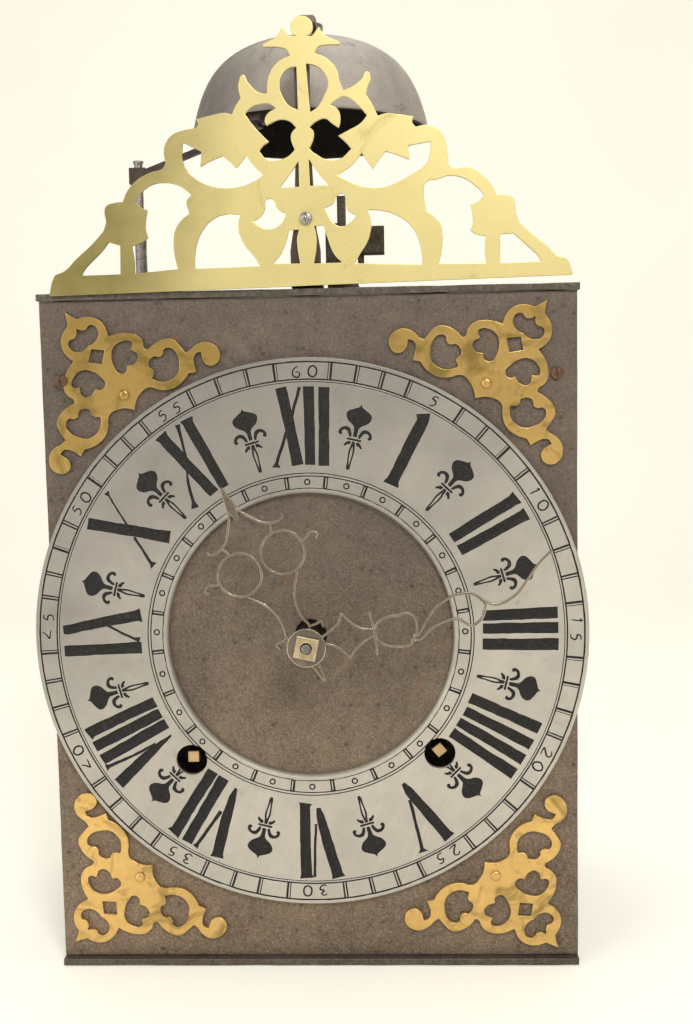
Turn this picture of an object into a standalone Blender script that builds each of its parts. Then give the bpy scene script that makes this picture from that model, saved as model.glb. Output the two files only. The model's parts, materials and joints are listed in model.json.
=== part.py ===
# Comtoise clock movement with iron cage, pewter chapter ring, brass pediment and bell.
# Metres, +Z up, dial facing -Y, origin at the middle of the footprint on the resting plane.

import math

import bmesh
import bpy
from mathutils import Matrix, Vector

# Overall layout
clearance = 0.0003
hands_reach = 0.032
plate_centre = 0.001

# Chapter ring
ring_radius = 0.125
ring_inner_radius = 0.0645
ring_thickness = 0.003
ring_overhang = 0.00575
ring_floor = 0.026
ring_headroom = 0.027
winding_hole_radius = 0.007
plate_winding_hole_radius = 0.0078

# Horizontal plates
bottom_thickness = 0.003
bottom_reach = 0.004
top_overhang = 0.00095
top_thickness = 0.003
top_reach = 0.0015
dial_width = (ring_radius - ring_overhang) * 2
bottom_width = dial_width
top_width = dial_width + top_overhang * 2
ring_height = bottom_thickness + ring_floor + ring_radius
top_underside = ring_height + ring_radius + ring_headroom
top_surface = top_underside + top_thickness

# Corner posts
post_size = 0.008
post_inset = 0.00905
post_spacing = dial_width - post_inset * 2
post_front_depth = 0.0023
post_back_room = 0.006

# Dial plate and its screws
dial_thickness = 0.002
centre_hole_radius = 0.0073
dial_screw_drops = (0.0354, 0.0362)
dial_screw_spots = (
    (plate_centre - post_spacing / 2, top_underside - dial_screw_drops[0]),
    (plate_centre + post_spacing / 2, top_underside - dial_screw_drops[1]),
)
dial_screw_reach = 0.0055
screw_head_radius = 0.0027
screw_head_height = 0.0014
screw_shank_radius = 0.0013
screw_slot_width = 0.0008
screw_slot_depth = 0.0006

# Corner pieces: name, direction and gap of the pin from the ring, direction of the cusp
corner_reach_share = 0.3608
corner_reach = ring_radius * corner_reach_share
corner_thickness = 0.0015
corner_places = (
    ("top_left", 126.416, 0.01144, 124.4),
    ("top_right", 54.428, 0.01269, 53.0),
    ("bottom_left", 234.078, 0.01392, 224.8),
    ("bottom_right", 306.311, 0.01449, 309.6),
)
corner_pin_radius = 0.001
corner_pin_head_radius = 0.0024
corner_pin_head_height = 0.0011

# Pediment
fret_half_width = 0.115
fret_thickness = 0.0016
fret_axis = 0.0022
fret_base_lift = 0.0009
fret_base_height = top_surface + fret_base_lift
fret_screw_x = 0.0020
fret_screw_rise = 0.029
fret_screw_height = fret_base_height + fret_screw_rise
fret_tilt = 1.1
fret_back_depth = -0.0018

# Bell and its stand
bell_depth = 0.080
bell_rim_lift = 0.083
bell_rim_height = top_surface + bell_rim_lift
bell_radius = 0.059
bell_height = 0.044
bell_wall = 0.003
bell_hole_radius = 0.0034
bell_bolt_radius = 0.003
bell_bolt_head_radius = 0.007
bell_bolt_head_height = 0.004
bell_bolt_rise = 0.0015
stand_thickness = 0.003
stand_foot_width = 0.0136
stand_neck_width = 0.010
stand_top_width = 0.0068
stand_foot_length = 0.020
stand_bend = 0.003
stand_x = 0.0014
stand_neck_lift = 0.026
stand_slim_lift = 0.061

# Bracket with a side arm, right of the bell stand
suspension_foot = (0.0100, 0.0240, 0.0150, 0.0300)
suspension_foot_height = 0.003
suspension_upright = (0.0148, 0.0185, 0.0190, 0.0250)
suspension_upright_lift = 0.043
suspension_cheek = (0.0092, 0.0160, 0.0200, 0.0270)
suspension_cheek_lifts = (0.013, 0.031)
suspension_arm = (0.0170, 0.0260, 0.0200, 0.0240)
suspension_arm_lifts = (0.020, 0.026)
suspension_block = (0.0245, 0.0360, 0.0170, 0.0270)
suspension_block_lifts = (0.017, 0.029)
suspension_spur_radius = 0.0014
suspension_spur_length = 0.006

# Train bars
bar_thickness = 0.004
bar_width = 0.020
centre_bar_width = 0.012
front_bar_depth = 0.018
pin_wheel_depth = 0.1030
pin_wheel_thickness = 0.0025
pin_wheel_room = 0.0125
back_bar_depth = pin_wheel_depth + pin_wheel_thickness + pin_wheel_room
cage_back_room = 0.018
cage_depth = back_bar_depth + bar_thickness + cage_back_room
dial_front = (hands_reach - cage_depth) / 2
post_back_depth = cage_depth - post_back_room - post_size

# Arbor positions in the front view
centre_spot = (0.0, ring_height)
going_barrel_x = 0.05765
going_barrel_drop = 0.0545
strike_barrel_x = -0.0555
strike_barrel_drop = 0.0567
going_barrel_spot = (going_barrel_x, ring_height - going_barrel_drop)
strike_barrel_spot = (strike_barrel_x, ring_height - strike_barrel_drop)

# Wheels
great_module = 0.0020
great_teeth = 42
great_pinion_teeth = 8
second_module = 0.00175
second_teeth = 36
second_pinion_teeth = 8
drive_module = 0.0021875
drive_teeth = 24
motion_module = 0.00156
minute_pinion_teeth = 10
intermediate_teeth = 30
intermediate_pinion_teeth = 8
hour_teeth = 32
locking_module = 0.0015
locking_teeth = 28
fly_pinion_teeth = 8
contrate_module = 0.00157
contrate_teeth = 28
crown_pinion_teeth = 8
intermediate_direction = 135.0
tooth_root_share = 0.25
tooth_tip_share = 0.10
tooth_rise_share = 0.85
tooth_fall_share = 1.20
rim_share = 2.6
pin_rim_share = 3.6
spoke_width = 0.0045
spoke_count = 4

# Depth layers behind the dial plate's front face
hour_wheel_depth = 0.0040
hour_wheel_thickness = 0.0025
snail_depth = 0.0069
snail_thickness = 0.0011
intermediate_pinion_depth = 0.0035
intermediate_pinion_thickness = 0.0056
minute_pinion_depth = 0.0086
minute_pinion_thickness = 0.0028
intermediate_wheel_depth = 0.0090
intermediate_wheel_thickness = 0.0020
drive_wheel_depth = 0.0130
drive_wheel_thickness = 0.0025
second_wheel_depth = 0.0245
second_wheel_thickness = 0.0025
third_pinion_depth = 0.0236
third_pinion_thickness = 0.0044
great_wheel_depth = 0.0300
great_wheel_thickness = 0.0035
great_pinion_depth = 0.0290
great_pinion_thickness = 0.0055
contrate_disc_depth = 0.0570
contrate_disc_thickness = 0.0018
contrate_band_width = 0.0040
locking_wheel_depth = 0.0600
locking_wheel_thickness = 0.0020
fly_pinion_depth = 0.0590
fly_pinion_thickness = 0.0040
locking_pinion_depth = 0.1020
locking_pinion_thickness = 0.0045

# Barrels
winding_square = 0.005
winding_square_depth = 0.002
winding_square_length = 0.015
barrel_arbor_radius = 0.005
barrel_radius = 0.024
barrel_flange_radius = 0.027
barrel_flange_thickness = 0.002
barrel_start_depth = 0.037
barrel_end_depth = 0.090
barrel_pivot_radius = 0.003
going_square_turn = 40.0
strike_square_turn = 0.0

# Arbors
arbor_radius = 0.0025
pivot_radius = 0.0018
pivot_tail = 0.0005
centre_arbor_radius = 0.0026
centre_thread_radius = 0.0020
hour_pipe_bore = 0.0030
hour_pipe_radius = 0.0044
stud_radius = 0.0020
stud_plate_height = 0.012
stud_plate_thickness = 0.003
stud_front_depth = 0.0028
intermediate_bore = 0.0023

# Hour snail
snail_radius = 0.0205
snail_step = 0.0011
snail_steps = 12
snail_hour_at_top = 11

# Strike rack and its guide
rack_width = 0.006
rack_rise = 0.130
rack_teeth_rise = 0.074
rack_foot_width = 0.003
rack_foot_height = 0.026
rack_top = ring_height + rack_rise
rack_tooth_depth = 0.0015
rack_teeth_start = ring_height + rack_teeth_rise
rack_foot_gap = 0.0006
guide_width = 0.014
guide_lifts = ((0.056, 0.063), (0.102, 0.109))
guide_front_depth = 0.0050
guide_back_thickness = 0.003

# Escapement
crown_radius = 0.018
crown_band = 0.0016
crown_disc_thickness = 0.0022
crown_disc_lift = 0.014
crown_root_lift = 0.006
crown_tooth_length = 0.006
crown_teeth = 15
crown_tip_share = 0.8
crown_arbor_radius = 0.0020
crown_pinion_length = 0.010
verge_rise = 0.0048
verge_radius = 0.0018
verge_front_depth = 0.0125
pallet_length = 0.0052
pallet_width = 0.005
pallet_thickness = 0.0012
crutch_width = 0.0024
crutch_thickness = 0.0018
crutch_length = 0.038
crutch_foot_length = 0.007
potence_depth = 0.092
potence_thickness = 0.004
potence_width = 0.010
potence_arm_thickness = 0.003
potence_drop = 0.0131
potence_rise = 0.0124
potence_arm_front = 0.0036

# Striking
pin_circle_radius = 0.028
pin_radius = 0.0014
pin_length = 0.010
pin_count = 8
fly_half_length = 0.020
fly_depth = 0.066
fly_length = 0.032
fly_thickness = 0.0009

# Hammer
hammer_x = -0.0868
hammer_shoulder_lift = 0.036
hammer_top_drop = 0.0125
hammer_hub_drop = 0.023
hammer_arm_drop = 0.0185
hammer_head_drop = 0.0025
hammer_tail_lift = 0.0022
hammer_depth = 0.075
hammer_lower_radius = 0.00295
hammer_upper_radius = 0.00215
hammer_shoulder_height = top_surface + hammer_shoulder_lift
hammer_top_height = bell_rim_height - hammer_top_drop
hammer_cap_radius = 0.0026
hammer_cap_height = 0.0012
hammer_tail_length = 0.0295
hammer_tail_width = 0.005
hammer_tail_thickness = 0.003
hammer_tail_turn = 45.0
hammer_hub_size = 0.0082
hammer_hub_base = bell_rim_height - hammer_hub_drop
hammer_hub_height = 0.0080
hammer_arm_base = bell_rim_height - hammer_arm_drop
hammer_arm_rise = 0.0150
hammer_arm_width = 0.0045
hammer_arm_thickness = 0.002
hammer_head_x = -0.021
hammer_head_depth = 0.038
hammer_head_length = 0.007
hammer_head_width = 0.011
hammer_head_height = 0.008
hammer_head_base = bell_rim_height - hammer_head_drop

# Side doors
door_thickness = 0.001
door_axis_inset = 0.00225
door_axis_room = 0.004
door_axis_offset = dial_width / 2 - door_axis_inset
door_axis_depth = cage_depth - door_axis_room
door_front_depth = 0.0035
door_roll_radius = 0.0022
door_pin_radius = 0.0012
door_pin_length = 0.002
door_foot_gap = 0.0015

# Hands
hour_hand_length = 0.0778
hour_hand_direction = 117.1
hour_hand_front_depth = -0.0276
minute_hand_length = 0.1128
minute_hand_direction = 21.2
minute_hand_front_depth = -0.0298
hand_thickness = 0.0014
hand_ring_thickness = 0.0016
hand_hub_thickness = 0.0018
hand_curl_thickness = 0.0012
hour_strip_width = 0.0016
minute_strip_width = 0.0016
nut_side = 0.0097
nut_turn = -12.0

# Roundness of the shapes
fine_steps = 64
bell_steps = 32
drum_steps = 20
arbor_steps = 10
hole_steps = 14
small_hole_steps = 10
outline_steps = 1
arc_steps = 4
stand_curve_steps = 8

# Pediment outline, right half, as shares of its half width: across, up, corner flag
fret_left_outer_shares = (
    (0.0, 0.998, 0), (0.018, 0.988, 0), (0.030, 0.96, 0), (0.020, 0.932, 0), (0.009, 0.926, 1),
    (0.035, 0.924, 1), (0.061, 0.962, 1), (0.08, 0.93, 0), (0.136, 0.9, 1), (0.136, 0.888, 1),
    (0.082, 0.886, 0), (0.05, 0.877, 0), (0.037, 0.856, 1), (0.084, 0.834, 0), (0.119, 0.79, 0),
    (0.129, 0.748, 0), (0.13, 0.718, 1), (0.162, 0.725, 0), (0.2, 0.765, 0), (0.218, 0.793, 0),
    (0.234, 0.767, 0), (0.236, 0.739, 0), (0.23, 0.709, 1), (0.251, 0.68, 0), (0.265, 0.65, 1),
    (0.299, 0.657, 0), (0.336, 0.652, 0), (0.405, 0.64, 1), (0.398, 0.621, 0), (0.408, 0.607, 1),
    (0.452, 0.601, 0), (0.497, 0.585, 0), (0.523, 0.554, 0), (0.531, 0.523, 0), (0.526, 0.479, 1),
    (0.54, 0.46, 0), (0.585, 0.449, 0), (0.638, 0.425, 0), (0.677, 0.386, 0), (0.698, 0.343, 1),
    (0.731, 0.34, 0), (0.763, 0.327, 0), (0.77, 0.304, 0), (0.766, 0.271, 0), (0.778, 0.238, 1),
    (0.825, 0.192, 0), (0.895, 0.134, 0), (0.934, 0.096, 0), (0.977, 0.078, 1), (0.99, 0.052, 0),
    (1.0, 0.014, 1), (1.0, 0.0, 1),
)
fret_left_window_shares = (
    (
        (0.014, 0.815, 1), (0.042, 0.81, 0), (0.07, 0.784, 0), (0.08, 0.742, 0), (0.07, 0.707, 0),
        (0.046, 0.672, 0), (0.014, 0.655, 1),
    ),
    (
        (0.215, 0.65, 1), (0.194, 0.672, 0), (0.156, 0.683, 0), (0.115, 0.678, 0), (0.097, 0.664, 1),
        (0.129, 0.645, 0), (0.14, 0.62, 0), (0.134, 0.602, 1), (0.108, 0.615, 0), (0.079, 0.622, 0),
        (0.049, 0.615, 0), (0.024, 0.589, 1), (0.04, 0.575, 0), (0.047, 0.552, 0), (0.034, 0.508, 1),
        (0.056, 0.487, 0), (0.093, 0.474, 0), (0.136, 0.476, 0), (0.165, 0.512, 1), (0.15, 0.53, 0),
        (0.128, 0.543, 1), (0.165, 0.584, 0), (0.195, 0.62, 0),
    ),
    (
        (0.02, 0.465, 1), (0.021, 0.37, 1), (0.098, 0.37, 1), (0.056, 0.418, 0),
    ),
    (
        (0.457, 0.555, 1), (0.387, 0.518, 1), (0.393, 0.462, 1), (0.352, 0.482, 0), (0.307, 0.498, 1),
        (0.279, 0.475, 0), (0.258, 0.452, 1), (0.235, 0.474, 0), (0.216, 0.498, 1), (0.188, 0.457, 0),
        (0.155, 0.422, 1), (0.183, 0.403, 0), (0.243, 0.384, 0), (0.316, 0.381, 0), (0.374, 0.396, 0),
        (0.417, 0.421, 0), (0.445, 0.451, 0), (0.46, 0.494, 0),
    ),
    (
        (0.201, 0.25, 1), (0.171, 0.267, 0), (0.155, 0.295, 0), (0.152, 0.327, 0), (0.135, 0.333, 0),
        (0.12, 0.323, 0), (0.111, 0.297, 0), (0.094, 0.282, 0), (0.076, 0.275, 1), (0.088, 0.247, 0),
        (0.111, 0.224, 0), (0.141, 0.217, 0), (0.173, 0.226, 0),
    ),
    (
        (0.135, 0.089, 1), (0.108, 0.117, 0), (0.082, 0.166, 0), (0.067, 0.212, 1), (0.029, 0.212, 1),
        (0.038, 0.182, 0), (0.039, 0.146, 0), (0.031, 0.084, 1),
    ),
    (
        (0.433, 0.082, 1), (0.431, 0.119, 0), (0.42, 0.177, 0), (0.397, 0.226, 0), (0.359, 0.264, 0),
        (0.306, 0.282, 0), (0.25, 0.278, 1), (0.259, 0.249, 0), (0.261, 0.21, 1), (0.239, 0.16, 0),
        (0.204, 0.117, 0), (0.183, 0.082, 1),
    ),
    (
        (0.651, 0.348, 1), (0.622, 0.38, 0), (0.58, 0.403, 0), (0.535, 0.408, 0), (0.488, 0.398, 0),
        (0.455, 0.378, 0), (0.434, 0.357, 1), (0.453, 0.337, 0), (0.445, 0.288, 1), (0.476, 0.266, 0),
        (0.502, 0.231, 0), (0.511, 0.188, 0), (0.509, 0.137, 0), (0.499, 0.082, 1), (0.668, 0.075, 1),
        (0.665, 0.122, 0), (0.67, 0.179, 1), (0.632, 0.19, 0), (0.607, 0.207, 1), (0.615, 0.236, 0),
        (0.614, 0.272, 0), (0.606, 0.309, 1), (0.636, 0.327, 0),
    ),
    (
        (0.76, 0.197, 1), (0.739, 0.19, 0), (0.716, 0.183, 1), (0.723, 0.075, 1), (0.87, 0.075, 1),
        (0.864, 0.09, 0), (0.832, 0.125, 0), (0.794, 0.16, 0),
    ),
)
fret_right_outer_shares = (
    (0.012, 0.999, 0), (0.04, 0.987, 0), (0.052, 0.959, 0), (0.041, 0.931, 0), (0.026, 0.926, 1),
    (0.048, 0.923, 1), (0.074, 0.958, 1), (0.093, 0.927, 0), (0.152, 0.899, 1), (0.152, 0.887, 1),
    (0.099, 0.888, 0), (0.07, 0.883, 0), (0.057, 0.862, 1), (0.102, 0.84, 0), (0.139, 0.794, 0),
    (0.147, 0.753, 0), (0.16, 0.719, 1), (0.184, 0.728, 0), (0.229, 0.758, 0), (0.25, 0.785, 0),
    (0.264, 0.759, 0), (0.252, 0.73, 0), (0.244, 0.7, 1), (0.27, 0.656, 0), (0.285, 0.619, 1),
    (0.319, 0.627, 0), (0.352, 0.623, 0), (0.418, 0.612, 1), (0.413, 0.59, 0), (0.425, 0.574, 1),
    (0.463, 0.578, 0), (0.509, 0.561, 0), (0.536, 0.519, 0), (0.541, 0.487, 0), (0.545, 0.434, 1),
    (0.559, 0.417, 0), (0.613, 0.418, 0), (0.661, 0.393, 0), (0.701, 0.349, 0), (0.722, 0.307, 1),
    (0.752, 0.307, 0), (0.779, 0.298, 0), (0.787, 0.275, 0), (0.793, 0.235, 0), (0.805, 0.202, 1),
    (0.846, 0.159, 0), (0.909, 0.104, 0), (0.942, 0.073, 0), (0.977, 0.064, 1), (0.99, 0.039, 0),
    (1.0, 0.007, 1), (1.0, 0.0, 1),
)
fret_right_window_shares = (
    (
        (0.022, 0.825, 1), (0.051, 0.819, 0), (0.089, 0.789, 0), (0.102, 0.747, 0), (0.088, 0.71, 0),
        (0.061, 0.665, 0), (0.032, 0.645, 1),
    ),
    (
        (0.246, 0.624, 1), (0.217, 0.659, 0), (0.164, 0.697, 0), (0.126, 0.684, 0), (0.107, 0.671, 1),
        (0.138, 0.648, 0), (0.144, 0.603, 0), (0.137, 0.583, 1), (0.112, 0.6, 0), (0.087, 0.619, 0),
        (0.056, 0.612, 0), (0.024, 0.589, 1), (0.039, 0.574, 0), (0.04, 0.552, 0), (0.021, 0.509, 1),
        (0.046, 0.488, 0), (0.089, 0.466, 0), (0.133, 0.467, 0), (0.181, 0.504, 1), (0.162, 0.528, 0),
        (0.134, 0.553, 1), (0.171, 0.571, 0), (0.222, 0.597, 0),
    ),
    (
        (0.019, 0.471, 1), (0.021, 0.371, 1), (0.092, 0.37, 1), (0.053, 0.419, 0),
    ),
    (
        (0.482, 0.516, 1), (0.394, 0.506, 1), (0.398, 0.453, 1), (0.356, 0.471, 0), (0.307, 0.487, 1),
        (0.279, 0.454, 0), (0.258, 0.424, 1), (0.237, 0.456, 0), (0.219, 0.487, 1), (0.18, 0.445, 0),
        (0.123, 0.409, 1), (0.155, 0.391, 0), (0.229, 0.362, 0), (0.301, 0.357, 0), (0.379, 0.385, 0),
        (0.425, 0.41, 0), (0.455, 0.429, 0), (0.473, 0.455, 0),
    ),
    (
        (0.192, 0.256, 1), (0.162, 0.272, 0), (0.15, 0.301, 0), (0.149, 0.334, 0), (0.132, 0.34, 0),
        (0.117, 0.33, 0), (0.106, 0.306, 0), (0.088, 0.295, 0), (0.07, 0.288, 1), (0.083, 0.259, 0),
        (0.107, 0.227, 0), (0.137, 0.217, 0), (0.166, 0.23, 0),
    ),
    (
        (0.131, 0.08, 1), (0.104, 0.109, 0), (0.079, 0.176, 0), (0.064, 0.226, 1), (0.029, 0.223, 1),
        (0.037, 0.191, 0), (0.037, 0.149, 0), (0.024, 0.081, 1),
    ),
    (
        (0.434, 0.061, 1), (0.434, 0.09, 0), (0.423, 0.152, 0), (0.401, 0.203, 0), (0.346, 0.25, 0),
        (0.284, 0.271, 0), (0.233, 0.275, 1), (0.242, 0.246, 0), (0.246, 0.209, 1), (0.231, 0.159, 0),
        (0.2, 0.111, 0), (0.179, 0.076, 1),
    ),
    (
        (0.675, 0.309, 1), (0.644, 0.344, 0), (0.591, 0.38, 0), (0.542, 0.388, 0), (0.498, 0.377, 0),
        (0.468, 0.374, 0), (0.45, 0.358, 1), (0.449, 0.306, 0), (0.457, 0.263, 1), (0.485, 0.24, 0),
        (0.508, 0.21, 0), (0.514, 0.173, 0), (0.512, 0.122, 0), (0.498, 0.062, 1), (0.679, 0.055, 1),
        (0.675, 0.101, 0), (0.679, 0.159, 1), (0.644, 0.167, 0), (0.619, 0.184, 1), (0.629, 0.199, 0),
        (0.629, 0.233, 0), (0.623, 0.276, 1), (0.659, 0.289, 0),
    ),
    (
        (0.782, 0.162, 1), (0.758, 0.162, 0), (0.732, 0.161, 1), (0.73, 0.054, 1), (0.88, 0.054, 1),
        (0.874, 0.069, 0), (0.844, 0.1, 0), (0.815, 0.128, 0),
    ),
)

# Corner piece outline, one half, as shares of its reach: out, across, corner flag
corner_outer_shares = (
    (1.0, 0.0, 1), (0.925, 0.03, 0), (0.87, 0.06, 1), (0.835, 0.15, 0), (0.76, 0.222, 0),
    (0.66, 0.245, 0), (0.555, 0.218, 1), (0.525, 0.315, 0), (0.47, 0.398, 0), (0.4, 0.452, 0),
    (0.32, 0.462, 0), (0.248, 0.44, 0), (0.222, 0.455, 1), (0.232, 0.545, 0), (0.212, 0.65, 0),
    (0.16, 0.718, 0), (0.075, 0.737, 0), (-0.018, 0.743, 1), (-0.024, 0.8, 0), (-0.014, 0.86, 0),
    (-0.036, 0.955, 0), (-0.095, 1.01, 0), (-0.17, 1.03, 0), (-0.25, 0.998, 0), (-0.286, 0.93, 0),
    (-0.262, 0.862, 0), (-0.195, 0.836, 0), (-0.13, 0.857, 0), (-0.1, 0.872, 1), (-0.088, 0.815, 0),
    (-0.125, 0.767, 0), (-0.24, 0.713, 1), (-0.205, 0.645, 1), (-0.23, 0.575, 0), (-0.24, 0.49, 0),
    (-0.218, 0.392, 0), (-0.16, 0.312, 0), (-0.095, 0.262, 0), (-0.072, 0.215, 0), (-0.08, 0.15, 0),
    (-0.11, 0.075, 0), (-0.18, 0.0, 1),
)
corner_middle_shares = (
    (
        (0.6, 0.0, 1), (0.59, 0.05, 0), (0.606, 0.12, 0), (0.65, 0.162, 0), (0.72, 0.16, 0),
        (0.748, 0.12, 0), (0.735, 0.07, 0), (0.755, 0.03, 0), (0.8, 0.0, 1),
    ),
    (
        (0.375, 0.0, 1), (0.467, 0.1, 1), (0.555, 0.0, 1),
    ),
)
corner_side_shares = (
    (
        (0.379, 0.368, 0), (0.435, 0.304, 0), (0.437, 0.198, 0), (0.375, 0.125, 0), (0.282, 0.088, 0),
        (0.196, 0.09, 0), (0.177, 0.155, 0), (0.217, 0.195, 1), (0.188, 0.259, 1), (0.208, 0.326, 0),
        (0.255, 0.348, 1), (0.322, 0.315, 1), (0.353, 0.362, 0),
    ),
    (
        (-0.073, 0.619, 0), (0.027, 0.665, 0), (0.108, 0.645, 0), (0.131, 0.59, 0), (0.1, 0.559, 1),
        (0.093, 0.512, 0), (0.131, 0.468, 0), (0.118, 0.4, 0), (0.075, 0.366, 1), (0.018, 0.379, 0),
        (-0.035, 0.322, 1), (-0.082, 0.35, 0), (-0.131, 0.41, 0), (-0.148, 0.49, 0), (-0.129, 0.563, 0),
    ),
)

# Bell profile as shares of its radius and height, from rim to crown
bell_shares = (
    (1.0, 0.0), (0.965, 0.2), (0.91, 0.42), (0.82, 0.63), (0.70, 0.79), (0.52, 0.92), (0.30, 0.985),
)

# Hour hand as shares of its length: along, across
hour_spear_shares = (
    (1.0, 0.0), (0.93, 0.012), (0.845, 0.032), (0.775, 0.075), (0.72, 0.12), (0.694, 0.18), (0.70, 0.225),
    (0.722, 0.232),
)
hour_ring_centre_shares = (0.527, 0.135)
hour_ring_radius_share = 0.121
hour_link_shares = ((0.645, 0.13), (0.705, 0.152))
hour_curl_shares = ((0.535, 0.252), (0.54, 0.285), (0.555, 0.321), (0.532, 0.353), (0.512, 0.333))
hour_lyre_shares = (
    (0.412, 0.155), (0.39, 0.15), (0.34, 0.11), (0.29, 0.08), (0.22, 0.06), (0.15, 0.06), (0.10, 0.07),
    (0.06, 0.05),
)
hour_scroll_shares = ((0.095, 0.066), (0.09, 0.105), (0.09, 0.137), (0.055, 0.136))
hour_tail_shares = ((-0.07, 0.024), (-0.084, 0.02), (-0.218, 0.004))
hour_hub_share = 0.1

# Minute hand as shares of its length: along, across towards the clockwise side
minute_strand_shares = (
    (
        (0.05, -0.01), (0.095, -0.023), (0.127, -0.034), (0.15, -0.044), (0.175, -0.077),
    ),
    (
        (0.05, 0.01), (0.079, 0.014), (0.111, 0.04), (0.131, 0.072), (0.143, 0.101),
    ),
    (
        (0.395, 0.106), (0.415, 0.112), (0.464, 0.073), (0.511, 0.04), (0.563, 0.025), (0.599, 0.022),
        (0.648, 0.033), (0.673, 0.054), (0.689, 0.081), (0.714, 0.104), (0.742, 0.117), (0.776, 0.116),
        (0.821, 0.103), (0.87, 0.072), (0.907, 0.046), (0.947, 0.022), (1.0, 0.0),
    ),
)
minute_curl_shares = (
    (
        (0.172, -0.074), (0.177, -0.07), (0.188, -0.043), (0.204, -0.013), (0.231, 0.012), (0.262, 0.026),
    ),
    (
        (0.275, -0.038), (0.267, 0.019), (0.262, 0.046), (0.255, 0.082), (0.24, 0.124),
    ),
    (
        (0.262, 0.05), (0.238, 0.053), (0.201, 0.062), (0.167, 0.077), (0.138, 0.098),
    ),
    (
        (0.38, 0.118), (0.418, 0.128), (0.473, 0.105), (0.523, 0.1), (0.565, 0.106), (0.588, 0.12),
    ),
    (
        (0.68, 0.06), (0.691, 0.095), (0.681, 0.119), (0.658, 0.143), (0.626, 0.155), (0.603, 0.145),
        (0.584, 0.117),
    ),
)
minute_ring_shares = (
    (0.273, 0.024), (0.305, 0.004), (0.342, 0.005), (0.37, 0.012), (0.4, 0.015), (0.424, 0.035),
    (0.427, 0.067), (0.401, 0.114), (0.358, 0.134), (0.288, 0.104), (0.266, 0.066),
)
minute_hub_share = 0.075


# Collections

parts = bpy.data.collections.new("comtoise_clock")
cutters = bpy.data.collections.new("comtoise_clock_cutters")


def clear_scene():
    for old in list(bpy.data.objects):
        bpy.data.objects.remove(old, do_unlink=True)
    bpy.context.scene.collection.children.link(parts)
    bpy.context.scene.collection.children.link(cutters)


# Materials

def material(name, colour, roughness, metallic):
    found = bpy.data.materials.get(name)
    if found:
        return found
    made = bpy.data.materials.new(name)
    made.use_nodes = True
    shader = made.node_tree.nodes["Principled BSDF"]
    shader.inputs["Base Color"].default_value = (colour[0], colour[1], colour[2], 1.0)
    shader.inputs["Roughness"].default_value = roughness
    shader.inputs["Metallic"].default_value = metallic
    made.diffuse_color = (colour[0], colour[1], colour[2], 1.0)
    return made


def coated(obj, colour, roughness, metallic):
    obj.data.materials.clear()
    obj.data.materials.append(material(obj.name + "_finish", colour, roughness, metallic))
    return obj


def pitted_iron(obj):
    return coated(obj, (0.115, 0.078, 0.055), 0.75, 0.6)


def black_iron(obj):
    return coated(obj, (0.045, 0.038, 0.034), 0.6, 0.8)


def brown_iron(obj):
    return coated(obj, (0.16, 0.09, 0.055), 0.65, 0.6)


def pale_steel(obj):
    return coated(obj, (0.42, 0.39, 0.35), 0.35, 0.95)


def blued_steel(obj):
    return coated(obj, (0.09, 0.075, 0.06), 0.4, 0.9)


def pewter(obj):
    return coated(obj, (0.50, 0.46, 0.38), 0.5, 0.7)


def worked_brass(obj):
    return coated(obj, (0.45, 0.29, 0.11), 0.45, 0.9)


def wheel_brass(obj):
    return coated(obj, (0.52, 0.36, 0.14), 0.4, 0.9)


def bell_metal(obj):
    return coated(obj, (0.10, 0.09, 0.08), 0.55, 0.70)


# Shape helpers

def spot(x, depth, height):
    return Vector((x, dial_front + depth, height))


def new_object(name, mesh, location, collection):
    obj = bpy.data.objects.new(name, mesh)
    obj.location = location
    collection.objects.link(obj)
    if collection == cutters:
        obj.hide_render = True
        obj.display_type = 'WIRE'
    return obj


def mesh_from(name, bm):
    bmesh.ops.recalc_face_normals(bm, faces=bm.faces)
    mesh = bpy.data.meshes.new(name)
    bm.to_mesh(mesh)
    bm.free()
    return mesh


def box(name, across, depths, heights, collection=cutters, origin=None):
    low = spot(across[0], depths[0], heights[0])
    high = spot(across[1], depths[1], heights[1])
    middle = (low + high) / 2
    size = high - low
    if origin is None:
        origin = middle
    bm = bmesh.new()
    bmesh.ops.create_cube(bm, size=1.0)
    bmesh.ops.transform(bm, matrix=Matrix.Diagonal((size.x, size.y, size.z, 1.0)), verts=bm.verts)
    bmesh.ops.translate(bm, vec=middle - origin, verts=bm.verts)
    return new_object(name, mesh_from(name, bm), origin, collection)


def turned_box(name, size, centre, turn, collection=cutters):
    bm = bmesh.new()
    bmesh.ops.create_cube(bm, size=1.0)
    bmesh.ops.transform(bm, matrix=Matrix.Diagonal((size[0], size[1], size[2], 1.0)), verts=bm.verts)
    bmesh.ops.transform(bm, matrix=turn, verts=bm.verts)
    return new_object(name, mesh_from(name, bm), centre, collection)


def drill(name, x, height, radius, depths, steps=small_hole_steps):
    length = depths[1] - depths[0]
    middle = (depths[0] + depths[1]) / 2
    bm = bmesh.new()
    bmesh.ops.create_cone(
        bm, cap_ends=True, segments=steps, radius1=radius, radius2=radius, depth=length,
        matrix=Matrix.Rotation(math.pi / 2, 4, 'X'),
    )
    return new_object(name, mesh_from(name, bm), spot(x, middle, height), cutters)


def upright_drill(name, x, depth, radius, heights, steps=small_hole_steps):
    length = heights[1] - heights[0]
    middle = (heights[0] + heights[1]) / 2
    bm = bmesh.new()
    bmesh.ops.create_cone(bm, cap_ends=True, segments=steps, radius1=radius, radius2=radius, depth=length)
    return new_object(name, mesh_from(name, bm), spot(x, depth, middle), cutters)


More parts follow.
